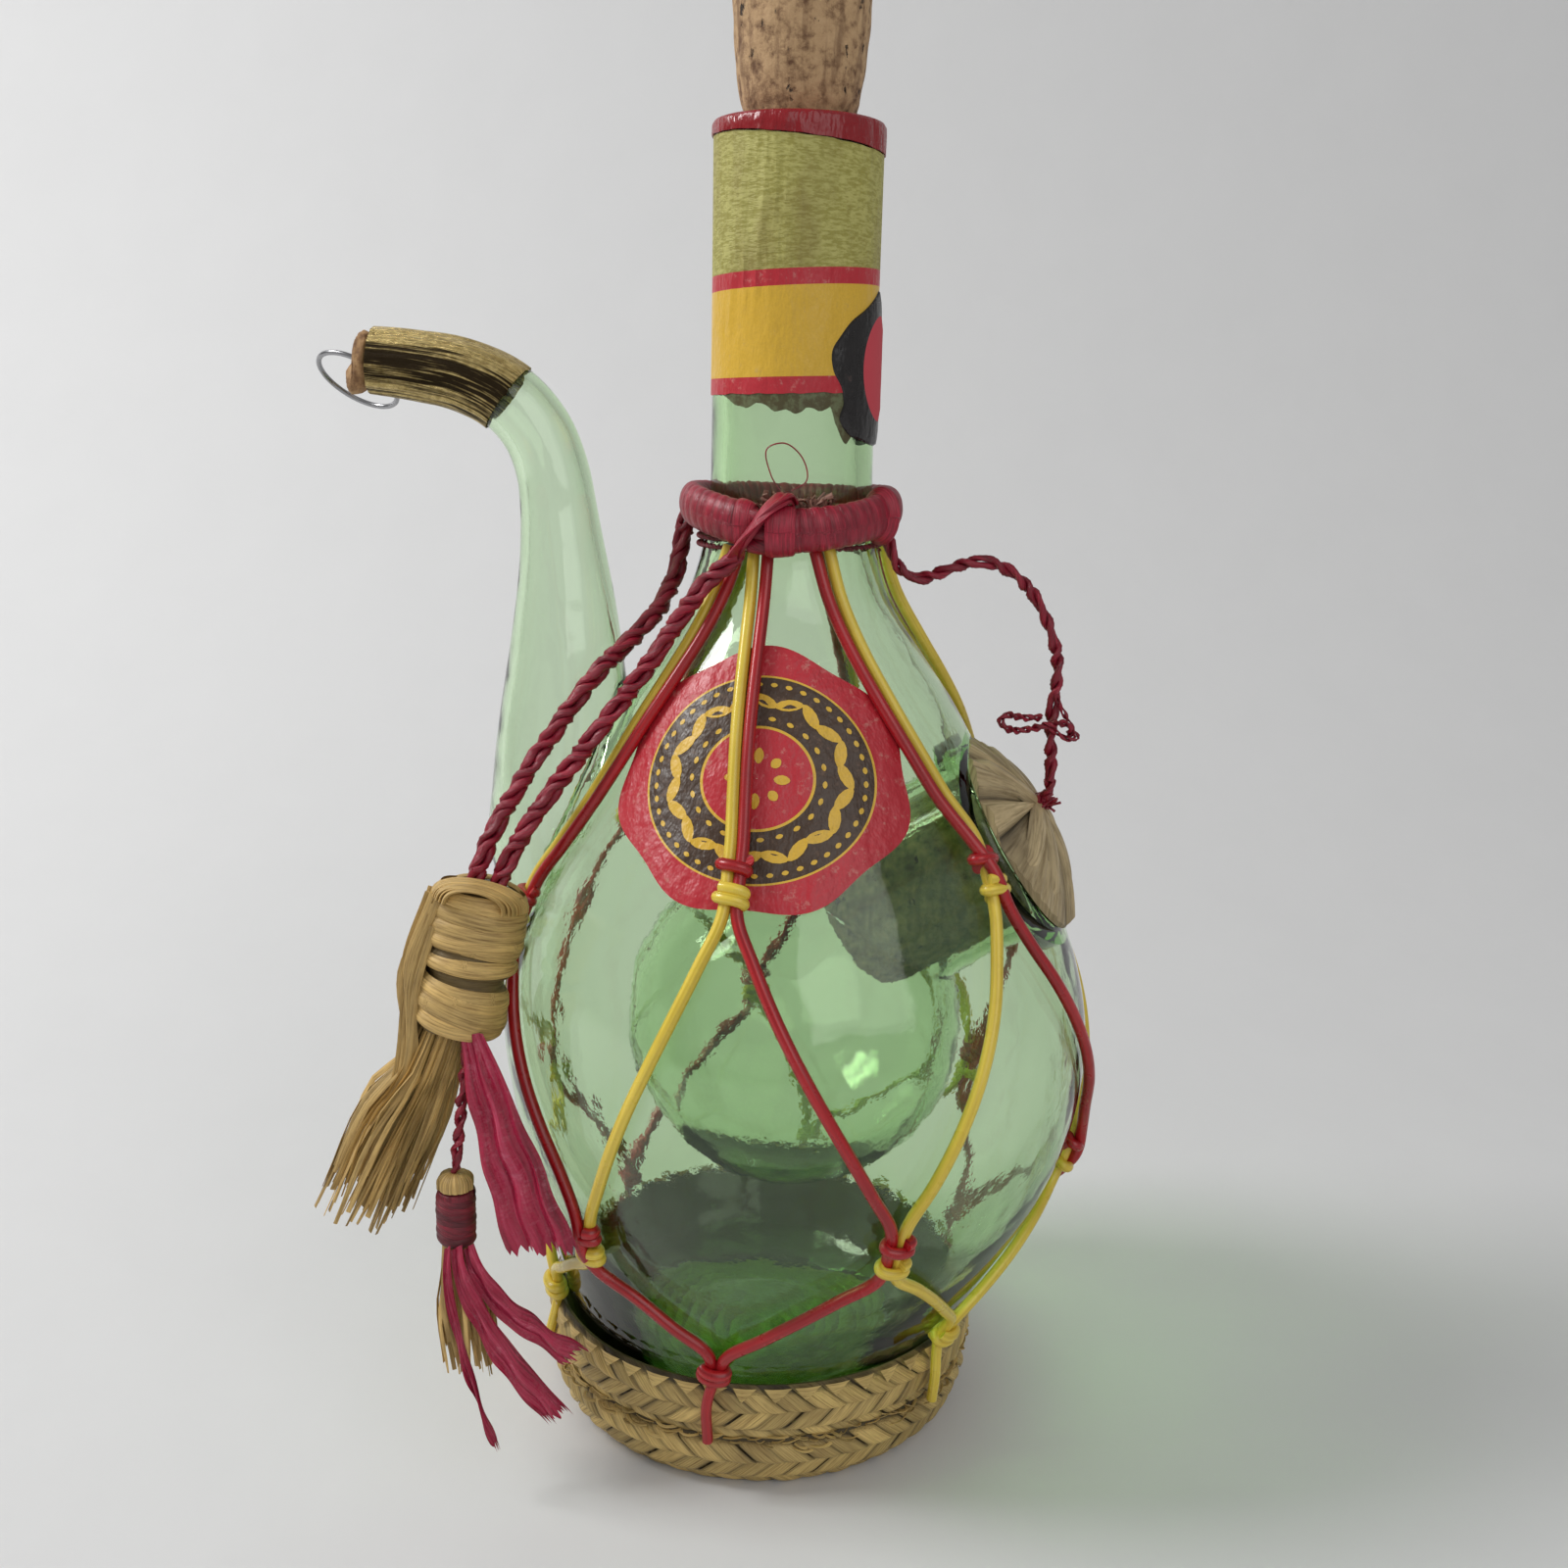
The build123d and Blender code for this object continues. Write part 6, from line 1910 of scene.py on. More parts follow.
@dataclass
class SpoutDress:
    """Foil sleeve, cork and pull ring on the spout's end."""

    foil_row: int = 12
    foil_sides: int = 96
    # Painted light round the foil by azimuth: brightest on the upper front, darkest on the middle front.
    foil_painted_light: tuple[tuple[float, ...], tuple[float, ...]] = (
        (0, 90, 130, 165, 195, 222, 245, 290, 360), (0.5, 0.25, 0.5, 0.1, 0.0, 0.6, 1.0, 0.7, 0.5),
    )
    cork_rows: tuple[Pair, ...] = (
        (-7.0, 3.3), (-6.6, 3.45), (-3.0, 3.6), (0.35, 3.75), (0.42, 4.5), (0.8, 4.95), (1.4, 5.0), (2.2, 4.75),
        (2.75, 3.9), (3.1, 2.4), (3.2, 0.9),
    )
    ring_radius: float = 7.6
    wire_radius: float = 0.5
    leg_depth: float = 4.0
    leg_reach: float = 3.0
    sweep: float = 284.0
    across: Triple = (0.21, -0.855, 0.474)
    along: Triple = (0.926, 0.0, -0.378)

    def foil(self) -> None:
        """Make the pleated foil, with painted light by azimuth in its grain."""
        rows = SPOUT.line(self.foil_row, 0.5)
        line, radii = rows[:, :3], rows[:, 3]
        tangents = unit(np.gradient(line, axis=0))
        angles = full_turn(self.foil_sides)
        rng = np.random.default_rng(seed=41)
        pleats = np.zeros((len(line), self.foil_sides))
        share = np.linspace(0, 1, len(line))[:, None]
        for count in (9, 13, 19, 27, 36):
            drift = rng.uniform(-0.8, 0.8)
            pleats += rng.uniform(0.5, 1.0) * np.abs(np.sin(count * (angles + drift * share) / 2 + rng.uniform(0, 6)))
        pleats = (pleats - pleats.min()) / (pleats.max() - pleats.min())
        lift = 0.10 + 0.42 * pleats
        wave = 0.5 * np.sin(5 * angles + 1) + 0.4 * np.sin(11 * angles)
        circle = circles(angles, SIDEWAYS, np.cross(tangents, SIDEWAYS))
        rings = line[:, None, :] + (radii[:, None] + lift)[:, :, None] * circle
        rings[0] += tangents[0] * (0.9 + 0.7 * wave[:, None])
        rings[0] -= (rings[0] - line[0]) * 0.02
        end = rings[-1] - SPOUT.aim * -0.1
        lip = line[-1] + (end - line[-1]) * 0.86 + SPOUT.aim * 0.1
        rings = np.concatenate([rings, [end, lip]])
        along = (np.arange(len(rings)) * 0.5)[:, None]
        # The grain's shade carries the painted light by azimuth to the foil's finish.
        grain = grain_over(rings, angles * 6, along, np.interp(np.degrees(angles), *self.foil_painted_light))
        facets = Facets()
        facets.add(rings, grid_faces(len(rings), self.foil_sides), grain)
        facets.piece("spout_foil_sleeve", [GOLD_FOIL], Body.BOTTLE, ["spout_foil"], sharp_angle=70)

    def cork(self) -> None:
        """Make the crumbling spout cork."""
        rng = np.random.default_rng(seed=43)
        down = np.cross(SPOUT.aim, SIDEWAYS)
        dense = through_points([(out, radius, 0.0) for out, radius in self.cork_rows], 0.3)
        sides = 40
        angles = full_turn(sides)
        rings = []
        lump = np.exp(-((np.angle(np.exp(1j * (angles - math.pi / 2))) / 0.7) ** 2))
        for s, r, _ in dense:
            grains = rng.uniform(-0.28, 0.28, sides)
            rough = (grains + np.roll(grains, 1) + np.roll(grains, -1)) / 2.4 + 1.3 * lump * min(1.0, (s - 0.4) / 1.2)
            reach = np.maximum(r + (rough if s > 0.4 else 0.0 * rough), 0.3)[:, None]
            around = np.cos(angles)[:, None] * SIDEWAYS + np.sin(angles)[:, None] * down
            reached = s + (1.6 * lump * min(1.0, max(s - 0.6, 0.0)))[:, None]
            rings.append(SPOUT.tip + SPOUT.aim * reached + reach * around)
        facets = Facets()
        facets.add(np.stack(rings), tube_faces(len(rings), sides))
        facets.piece("spout_stopper", [SPOUT_CORK_BARK], Body.SPOUT_CORK, ["spout_cork"], sharp_angle=60)

    def ring(self) -> None:
        """Make the open wire ring with its leg."""
        entry = SPOUT.tip + SPOUT.aim * self.leg_reach
        across = unit(np.array(self.across))
        along = unit(np.array(self.along) - across * (np.array(self.along) @ across))
        centre = entry - across * self.ring_radius
        turn = np.radians(np.linspace(0, -self.sweep, 90))[:, None]
        arc = centre + self.ring_radius * (np.cos(turn) * across + np.sin(turn) * along)
        foot = SPOUT.tip - SPOUT.aim * self.leg_depth
        leg = np.linspace(foot, entry, 8)[:-1]
        facets = Facets()
        add_tube(facets, arc, self.wire_radius * 0.96)
        add_tube(facets, np.concatenate([leg, [entry]]), self.wire_radius * 0.96)
        facets.piece("wire_pull_ring", [STEEL_WIRE], Body.PULL_RING, ["pull_ring"], sharp_angle=60)

    def build(self) -> None:
        """Make all pieces of the spout's end."""
        self.foil()
        self.cork()
        self.ring()


# Ice plug and its tether


@dataclass
class IcePlug:
    """Plug of the ice pocket: core, folded leaf cover and red tie."""

    core_radius: float = 15.0
    core_length: float = 36.0
    cover_radius: float = 19.6
    cover_rise: float = 6.6
    core_sides: int = 72
    tie_up: float = 3.2
    tie_loops: int = 8
    tie_ends: int = 20
    leaves: int = 10
    blade_turns: tuple[float, ...] = (0.55, 1.35, 2.2, 3.5, 3.95, 5.0, 5.75)

    def core(self) -> None:
        """Make the plug's body."""
        facets = Facets()
        rows = [(-self.core_length, 13.6), (-self.core_length + 0.5, 14.6), (-self.core_length + 1.5, 15.0)]
        rows += [(s, self.core_radius) for s in np.linspace(-self.core_length + 3, -1, 18)]
        rows += [(0.0, self.core_radius - 0.2)]
        angles = full_turn(self.core_sides)
        rings = MOUTH.rings(rows, angles)
        grain = grain_over(rings, angles * 15, np.array([out for out, _ in rows])[:, None], 0.5)
        facets.add(rings, tube_faces(len(rows), self.core_sides), grain)
        facets.piece("ice_plug_core", [PLUG_BARK], Body.ICE_PLUG, ["ice_plug"])

    def dome(self, reach: Array) -> Array:
        """Height of the cover over the mouth at a distance from its axis."""
        share = np.clip(reach / self.cover_radius, 0, 1)
        return 1.3 + (self.cover_rise - 1.3) * (1 - share**2)

    def cover(self) -> None:
        """Make the dome of folded leaves that run out from the tie."""
        facets = Facets()
        rng = np.random.default_rng(seed=51)
        columns = 300
        shares = np.linspace(0.02, 1.0, 26)
        turns = full_turn(columns)
        hub = np.array([0.0, self.tie_up])
        bends = np.sort(rng.uniform(0, TURN, self.leaves))
        index = np.searchsorted(bends, turns)
        edges = np.concatenate([[bends[-1] - TURN], bends, [bends[0] + TURN]])
        inside = (turns - edges[index]) / (edges[index + 1] - edges[index])
        bulge = np.sin(math.pi * np.clip(inside, 0, 1)) ** 0.5
        tone = rng.uniform(0.25, 1.0, self.leaves + 1)[index]
        crease = 0.16 * np.sin(turns * 31 + 2 * np.sin(turns * 5)) + 0.10 * np.sin(turns * 53)
        rings, grains = [], []
        edge = self.edge_reach(hub, turns)
        for share in shares:
            place = hub + (share * edge)[:, None] * np.stack([np.cos(turns), np.sin(turns)], axis=-1)
            reach = np.linalg.norm(place, axis=1)
            gather = min(1.0, share * 2.4)
            height = self.dome(reach) + (2.5 * bulge - 2.0 + crease) * gather
            rings.append(MOUTH.at(place[:, 0], place[:, 1], np.maximum(height, 0.45)))
            # Painted shade: the shade drops in the valleys between the leaf lobes.
            grains.append(np.stack([turns * 14, share * edge, tone - 1.7 * (1 - bulge) ** 1.5], axis=-1))
        rings.append(MOUTH.at(*(self.cover_radius * f(turns) for f in (np.cos, np.sin)), np.full(columns, 0.42)))
        grains.append(grains[-1])
        facets.add(np.stack(rings), tube_faces(len(rings), columns), np.stack(grains))
        for turn in self.blade_turns:
            self.add_blade(facets, hub, turn, rng)
        facets.piece(
            "ice_plug_leaf_cover", [LEAF_STRAW], Body.ICE_PLUG, ["ice_plug_cover"], sharp_angle=50
        )

    def edge_reach(self, hub: Array, turns: Array) -> Array:
        """Distance from the hub to the cover's edge."""
        way = np.stack([np.cos(turns), np.sin(turns)], axis=-1)
        along = way @ hub
        return -along + np.sqrt(along**2 + self.cover_radius**2 - hub @ hub)

    def add_blade(self, facets: Facets, hub: Array, turn: float, rng: Random) -> None:
        """Add one leaf folded over the dome."""
        steps = np.linspace(0.05, 0.93, 16)
        edge = float(self.edge_reach(hub, np.array([turn]))[0])
        bow = rng.uniform(-0.25, 0.25)
        turned = turn + bow * steps
        place = hub + (steps * edge)[:, None] * np.stack([np.cos(turned), np.sin(turned)], axis=-1)
        height = np.minimum(self.dome(np.linalg.norm(place, axis=1)) + 0.12, self.cover_rise + 0.1)
        height -= 2.2 * np.clip((steps - 0.80) / 0.13, 0, 1) ** 1.5
        line = MOUTH.at(place[:, 0], place[:, 1], height)
        normal = MOUTH.normal
        tangents = unit(np.gradient(line, axis=0))
        across = unit(np.cross(tangents, normal))
        width = rng.uniform(2.2, 3.4) * np.sin(math.pi * np.clip(steps * 0.86 + 0.08, 0, 1)) ** 0.8 + 0.3
        cross = np.linspace(-1, 1, 7)
        grid = spread(line, width[:, None] * cross, across, 0.85 * (1 - cross**2), normal)
        grid -= (0.65 * np.abs(cross) ** 3)[None, :, None] * normal
        # Painted shade towards the blade's edges, where they bend down into the dome.
        shade = rng.uniform(0.6, 1.0) - 0.9 * np.abs(cross) ** 3
        grain = grain_over(grid, cross * 3 + turn * 9, (steps * edge)[:, None], shade)
        facets.add(grid, grid_faces(len(steps), len(cross), closed=False), grain)

    def tie(self) -> None:
        """Make the frayed red knot."""
        facets = Facets()
        rng = np.random.default_rng(seed=53)
        middle = (0.0, self.tie_up)
        link = [(51.4, -8.1, 127.4), (51.5, -8.2, 126.0), MOUTH.at(middle[0], middle[1], self.cover_rise + 0.6)]
        add_twist(facets, through_points(link, 0.3), 1.2, pitch=6.0, flat=0.8)
        turn = np.linspace(0, TURN * 0.92, 30)
        for _ in range(self.tie_loops):
            radius = rng.uniform(0.8, 1.4)
            tilt = rng.uniform(-1.0, 1.0, 2)
            out = self.cover_rise + 1.0 + rng.uniform(-0.3, 1.5)
            across = middle[0] + radius * np.cos(turn)
            up = middle[1] + radius * np.sin(turn)
            line = MOUTH.at(across, up, out + 0.6 * tilt[0] * np.cos(turn) + 0.6 * tilt[1] * np.sin(turn))
            add_tube(facets, line, 0.55, sides=8, flat=0.6, spin=0.4, shade=rng.uniform(0.2, 0.9))
        start = MOUTH.at(*middle, self.cover_rise + 0.8)
        for _ in range(self.tie_ends):
            way = rng.uniform(0, TURN)
            reach = rng.uniform(1.2, 2.8)
            places = [start]
            for share, low, high in ((0.6, 1.0, 3.0), (1.0, 0.6, 4.2)):
                across, up = (m + reach * share * f(way) for m, f in zip(middle, (math.cos, math.sin)))
                places.append(MOUTH.at(across, up, self.cover_rise + rng.uniform(low, high)))
            line = through_points(places, 0.4)
            add_tube(facets, line, 0.28, sides=5, flat=0.4, spin=0.4, shade=rng.uniform(0.2, 0.9))
        facets.piece("ice_plug_red_tie", [CORD_RAFFIA], Body.ICE_PLUG, ["ice_plug_tie"], sharp_angle=60)

    def build(self) -> None:
        """Make all plug pieces."""
        self.core()
        self.cover()
        self.tie()


@dataclass
class Tether:
    """Red twisted cord from the collar to the plug, with its small bow."""

    diameter: float = 2.6
    route: tuple[Triple, ...] = (
        (0.0202, -0.0060, 0.1706), (0.0210, -0.0062, 0.1674), (0.0231, -0.0065, 0.1646), (0.0263, -0.0070, 0.1635),
        (0.0306, -0.0072, 0.1654), (0.0366, -0.0074, 0.1676), (0.0423, -0.0076, 0.1658), (0.0468, -0.0078, 0.1614),
        (0.0500, -0.0080, 0.1553), (0.0519, -0.0080, 0.1488), (0.0513, -0.0080, 0.1424), (0.0509, -0.0080, 0.1364),
        (0.0516, -0.0080, 0.1310), (0.0514, -0.0081, 0.1274),
    )
    bow_route: tuple[Triple, ...] = (
        (0.0492, -0.0084, 0.1392), (0.0460, -0.0088, 0.1389), (0.0424, -0.0088, 0.1399), (0.0414, -0.0090, 0.1380),
        (0.0438, -0.0092, 0.1366), (0.0472, -0.0094, 0.1372), (0.0504, -0.0106, 0.1384), (0.0534, -0.0102, 0.1386),
        (0.0550, -0.0094, 0.1372), (0.0540, -0.0086, 0.1356),
    )
    bow_loop: tuple[Triple, ...] = (
        (51.2, -9.2, 143.6), (52.6, -9.2, 141.0), (54.8, -9.4, 137.2), (55.6, -9.6, 135.7), (54.3, -9.8, 135.5),
        (51.6, -9.8, 136.9), (49.6, -9.6, 138.2),
    )

    def build(self) -> None:
        """Make the cord and its bow."""
        line = routed_line("tether_route", self.route)
        cord = twisted_cord("tether_twist", line, diameter=self.diameter, pitch=8.0, flat=0.8, replaces=["tether_cord"])
        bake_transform(cord)
        bow_line = routed_line("bow_route", self.bow_route)
        facets = Facets()
        add_twist(facets, bow_line, 0.8, pitch=3.6, flat=0.6, wobble=0.4)
        add_twist(facets, through_points(self.bow_loop, 0.4), 0.62, pitch=5.0, flat=0.5)
        bow = facets.piece("tether_small_bow", [CORD_RAFFIA], None, ["tether_bow"], sharp_angle=60)
        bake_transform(bow)


def twisted_cord(
    name: str,
    line: Array,
    diameter: float,
    pitch: float,
    flat: float,
    replaces: Sequence[str],
    strands: int = 2,
    body: Body | None = None,
) -> bpy.types.Object:
    """Make a red twisted cord along a line."""
    facets = Facets()
    add_twist(facets, line, diameter / 2, pitch=pitch, strands=strands, flat=flat, wobble=0.5)
    return facets.piece(name, [CORD_RAFFIA], body, replaces, sharp_angle=60)


# Tassels


@dataclass
class TasselCords:
    """The two twisted cords that the big tassel hangs on."""

    diameter: float = 3.7
    front: tuple[Triple, ...] = (
        (-0.0064, -0.0193, 0.1685), (-0.0089, -0.0185, 0.1662), (-0.0121, -0.0174, 0.1629), (-0.0163, -0.0170, 0.1570),
        (-0.0205, -0.0182, 0.1507), (-0.0247, -0.0193, 0.1446), (-0.0290, -0.0206, 0.1389), (-0.0334, -0.0220, 0.1332),
        (-0.0377, -0.0232, 0.1276), (-0.0416, -0.0246, 0.1218), (-0.0449, -0.0263, 0.1162), (-0.0466, -0.0274, 0.1123),
    )
    rear: tuple[Triple, ...] = (
        (-0.0170, 0.0042, 0.1716), (-0.0175, 0.0034, 0.1674), (-0.0187, 0.0009, 0.1616), (-0.0215, -0.0039, 0.1559),
        (-0.0262, -0.0089, 0.1512), (-0.0310, -0.0126, 0.1468), (-0.0353, -0.0156, 0.1413), (-0.0394, -0.0180, 0.1350),
        (-0.0432, -0.0200, 0.1290), (-0.0466, -0.0224, 0.1232), (-0.0493, -0.0252, 0.1178), (-0.0507, -0.0274, 0.1128),
    )
    rear_tuck: tuple[Triple, ...] = (
        (-17.15, 3.95, 170.2), (-17.0, 4.2, 171.6), (-16.6, 4.15, 172.9), (-15.7, 3.95, 174.3), (-14.9, 3.8, 175.6),
    )

    def build(self) -> None:
        """Make both cords, running between bottle and tassel, and the rear one's end tucked into the hoop."""
        for name, route in (("front", self.front), ("rear", self.rear)):
            line = routed_line(f"{name}_route", route)
            cord = twisted_cord(
                f"tassel_{name}_twist", line, diameter=self.diameter, pitch=12.0, flat=0.8,
                replaces=[f"tassel_cord_{name}"], strands=3,
            )
            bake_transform(cord)
        tuck = Facets()
        add_twist(
            tuck, through_points(self.rear_tuck, 0.3), self.diameter / 2,
            pitch=12.0, strands=3, flat=0.8, wobble=0.5,
        )
        tuck.piece("tassel_rear_tuck", [CORD_RAFFIA], Body.BOTTLE, (), sharp_angle=60)


def add_straws(
    facets: Facets,
    top: Array,
    facing: Array,
    bottom: Array,
    radius: float,
    flare: float,
    count: int,
    width: Pair,
    seed: int,
) -> None:
    """Add loose flat straws that fan out from a tied top.

    Args:
        facets: what they are added to.
        top: middle of the tied top.
        facing: direction of the straws where they leave it.
        bottom: middle of their ends.
        radius: radius of the tied top.
        flare: spread at the ends as a share of that radius.
        count: number of straws.
        width: least and greatest half width.
        seed: seed of their unevenness.
    """
    rng = np.random.default_rng(seed=seed)
    run = bottom - top
    length = np.linalg.norm(run)
    side = unit(np.cross(facing, SIDEWAYS))
    other = np.cross(facing, side)
    for _ in range(count):
        reach = radius * math.sqrt(rng.uniform(0, 1))
        turn = rng.uniform(0, TURN)
        place = reach * (math.cos(turn) * side + math.sin(turn) * other)
        share = rng.uniform(0.74, 1.04)
        start = top + place
        end = top + run * share + place * (1 + (flare - 1) * share) + rng.normal(0, 0.6, 3)
        leave = start + facing * length * 0.18
        belly = (start + end) / 2 + place * 0.25 + rng.normal(0, 0.5, 3)
        line = through_points([start, leave * 0.6 + belly * 0.4, belly, end], length / 9)
        size = rng.uniform(*width)
        taper = np.interp(np.linspace(0, 1, len(line)), [0, 0.1, 0.8, 1], [0.8, 1, 0.9, rng.uniform(0.3, 0.9)])
        add_tube(
            facets, line, size * taper, sides=6, flat=0.22, spin=rng.uniform(-0.03, 0.03),
            start_angle=rng.uniform(0, math.pi), shade=rng.uniform(0, 1),
        )


@dataclass
class BigTassel:
    """Wound straw head, straw skirt and crinkled ribbon."""

    sides: int = 48
    top: Triple = (-49.2, -29.7, 111.0)
    bottom: Triple = (-54.2, -31.7, 85.6)
    half_width: float = 8.6
    half_depth: float = 7.3
    head_rows: tuple[Pair, ...] = (
        (-0.04, 0.05), (-0.03, 0.45), (0.0, 0.72), (0.06, 0.92), (0.14, 1.0), (0.30, 1.02), (0.40, 1.0), (0.43, 0.93),
        (0.46, 0.98), (0.55, 0.97), (0.59, 0.84), (0.63, 0.82), (0.67, 0.92), (0.80, 0.97), (0.92, 0.92), (1.0, 0.8),
    )
    bands: tuple[Quad, ...] = (
        (0.09, 0.93, 2.2, -1.0), (0.17, 0.98, 2.3, 2.0), (0.26, 1.0, 2.2, -2.0), (0.34, 1.0, 1.9, 1.0),
        (0.50, 0.97, 1.4, -1.5), (0.72, 0.93, 2.0, 5.0), (0.82, 0.96, 2.3, 8.0), (0.92, 0.91, 1.9, 6.0),
    )
    cord_ends: tuple[Triple, ...] = ((-46.6, -27.4, 112.4), (-50.7, -27.4, 112.9))
    side_straws: int = 46
    skirt_top: Triple = (-56.4, -30.6, 85.2)
    skirt_bottom: Triple = (-72.6, -30.4, 50.5)
    skirt_radius: float = 4.7
    skirt_flare: float = 1.85
    straws: int = 230
    ribbon_rows: tuple[tuple[Triple, float], ...] = (
        ((-50.3, -37.3, 87.0), 2.4), ((-49.1, -38.3, 83.4), 3.2), ((-46.7, -39.8, 76.0), 4.5),
        ((-44.8, -40.2, 69.6), 5.1), ((-42.4, -41.0, 62.8), 5.6), ((-40.2, -41.8, 56.0), 6.1),
        ((-37.9, -42.4, 49.2), 6.5),
    )
    ribbon_lean: Triple = (0.93, -0.28, 0.22)
    ribbon_length: float = 41.0

    def head(self) -> None:
        """Make the knuckle of straw: its core, the wraps round it, and the straws folded over it."""
        facets = Facets()
        top, bottom = np.array(self.top), np.array(self.bottom)
        axis = unit(bottom - top)
        side = unit(np.array([1.0, 0.0, 0.0]) - axis * axis[0])
        other = np.cross(axis, side)
        dense = through_points([(s, r, 0.0) for s, r in self.head_rows], 0.02)
        angles = full_turn(self.sides)
        around = self.half_width * np.cos(angles)[:, None] * side + self.half_depth * np.sin(angles)[:, None] * other
        rings = np.stack([top + (bottom - top) * s + 0.93 * max(r, 0.05) * around for s, r, _ in dense])
        # The core's shade of -0.7 paints it dark, as shade between the wound straws.
        grain = grain_over(rings, (dense[:, 0] * 26)[:, None], angles * 8, -0.7)
        facets.add(rings, tube_faces(len(rings), self.sides), grain)
        rng = np.random.default_rng(seed=61)
        for share, size, half, tilt in self.bands:
            for layer in range(2):
                place = top + (bottom - top) * (share + rng.uniform(-0.012, 0.012))
                wide = size * (0.985 + 0.02 * layer)
                self.add_band(
                    facets, place, (axis, side, other),
                    size=wide, half=half * (1 - 0.22 * layer), tilt=tilt + rng.uniform(-2, 2), rng=rng,
                )
        self.add_folds(facets, (axis, side, other), rng)
        for end in self.cord_ends:
            sunk = np.array(end) + axis * 5.5 + other * 0.6
            add_twist(
                facets, through_points([end - axis * 0.6, (np.array(end) + sunk) / 2, sunk], 0.5), 1.8,
                pitch=12.0, strands=3, flat=0.8, finish=1,
            )
        facets.piece(
            "tassel_wound_head", [TASSEL_STRAW, CORD_RAFFIA], Body.TASSEL, ["tassel_head"], sharp_angle=50
        )

    def add_folds(self, facets: Facets, frame: Frame, rng: Random) -> None:
        """Add the straws that bend over the head's top and run down its left side into the skirt.

        Args:
            facets: what they are added to.
            frame: the head's axis and sides.
            rng: source of their unevenness.
        """
        axis, side, other = frame
        top = np.array(self.top)
        turn = np.linspace(0.02, math.pi - 0.02, 24)
        for depth in np.concatenate([np.linspace(0.8, 6.2, 9), np.linspace(-6.4, -4.6, 3)]):
            wide = self.half_width * 0.97 * math.sqrt(max(0.05, 1 - (depth / (self.half_depth * 1.08)) ** 2))
            rise = rng.uniform(1.6, 2.3) * (1 - 0.35 * abs(depth) / 6.4)
            arc = (
                top
                + axis * 2.6
                + other * (depth + rng.uniform(-0.3, 0.3))
                + wide * np.cos(turn)[:, None] * side
                - ((rise + 2.0) * np.sin(turn) ** 0.7)[:, None] * axis
            )
            add_tube(
                facets, arc, rng.uniform(0.8, 1.25),
                sides=8, flat=0.3, start_angle=math.pi / 2, shade=rng.uniform(0.4, 1.0),
            )
        skirt = np.array(self.skirt_top)
        run = np.array(self.skirt_bottom) - skirt
        for _ in range(self.side_straws):
            depth = rng.uniform(-4.5, 5.5)
            out = self.half_width * math.sqrt(max(0.1, 1 - (depth / self.half_depth) ** 2))
            start = top + axis * rng.uniform(1.5, 9.0) - side * (out + 0.3) + other * depth
            middle = top + axis * rng.uniform(13, 17) - side * (out + rng.uniform(1.0, 2.6)) + other * depth * 0.9
            leave = skirt + run * 0.22 - side * rng.uniform(1.5, 4.6) + other * depth * 0.8
            end = skirt + run * rng.uniform(0.5, 0.8) - side * rng.uniform(0.0, 5.0) + other * depth
            line = through_points([start, middle, leave, end], 2.2)
            add_tube(
                facets, line, rng.uniform(0.45, 0.95),
                sides=6, flat=0.25, start_angle=rng.uniform(0.9, 2.2), shade=rng.uniform(0.2, 1.0),
            )

    def add_band(
        self, facets: Facets, centre: Array, frame: Frame, size: float, half: float, tilt: float, rng: Random
    ) -> None:
        """Add one flat straw wound round the head.

        Args:
            facets: what it is added to.
            centre: its middle.
            frame: the head's axis and sides.
            size: its size as a share of the head's.
            half: half its width.
            tilt: degrees that it leans.
            rng: source of its unevenness.
        """
        axis, side, other = frame
        steps = full_turn(self.sides) + rng.uniform(0, 6)
        lean = math.tan(math.radians(tilt))
        wander = np.sin(steps * 2 + rng.uniform(0, 6)) * 0.25
        wide, deep = self.half_width * size, self.half_depth * size
        middle = centre + wide * np.cos(steps)[:, None] * side + deep * np.sin(steps)[:, None] * other
        middle = middle + (lean * wide * np.cos(steps) + wander)[:, None] * axis
        out = unit(np.cos(steps)[:, None] * side / wide + np.sin(steps)[:, None] * other / deep)
        cross = np.array([-1.0, -0.6, 0.0, 0.6, 1.0])
        puff = np.array([-0.5, 0.05, 0.22, 0.05, -0.5])
        grid = spread(middle, half * cross, axis, puff, out).transpose(1, 0, 2)
        across = (cross * half)[:, None] + size * 40 + tilt
        grain = grain_over(grid, across, steps * 8, rng.uniform(0.3, 1.0))
        facets.add(grid, grid_faces(len(cross), self.sides), grain)

    def skirt(self) -> None:
        """Make the straw skirt."""
        facets = Facets()
        axis = unit(np.array(self.bottom) - np.array(self.top))
        skirt_top, skirt_bottom = np.array(self.skirt_top), np.array(self.skirt_bottom)
        lean = unit(axis + 0.5 * unit(skirt_bottom - skirt_top))
        add_straws(
            facets, skirt_top - axis * 1.2, lean, skirt_bottom, radius=self.skirt_radius, flare=self.skirt_flare,
            count=self.straws, width=(0.35, 0.85), seed=63,
        )
        facets.piece("tassel_straw_skirt", [TASSEL_STRAW], Body.TASSEL, ["tassel_straw"], sharp_angle=60)

    def build(self) -> None:
        """Make all pieces of the big tassel."""
        self.head()
        self.skirt()
        facets = Facets()
        area = add_ribbon(facets, self.ribbon_rows, lean=self.ribbon_lean, folds=2.4, seed=71)
        ribbon = facets.piece(
            "tassel_crinkled_ribbon", [RIBBON_FILM], Body.TASSEL, ["tassel_ribbon"], sharp_angle=60
        )


RIBBON_COLUMNS = 33


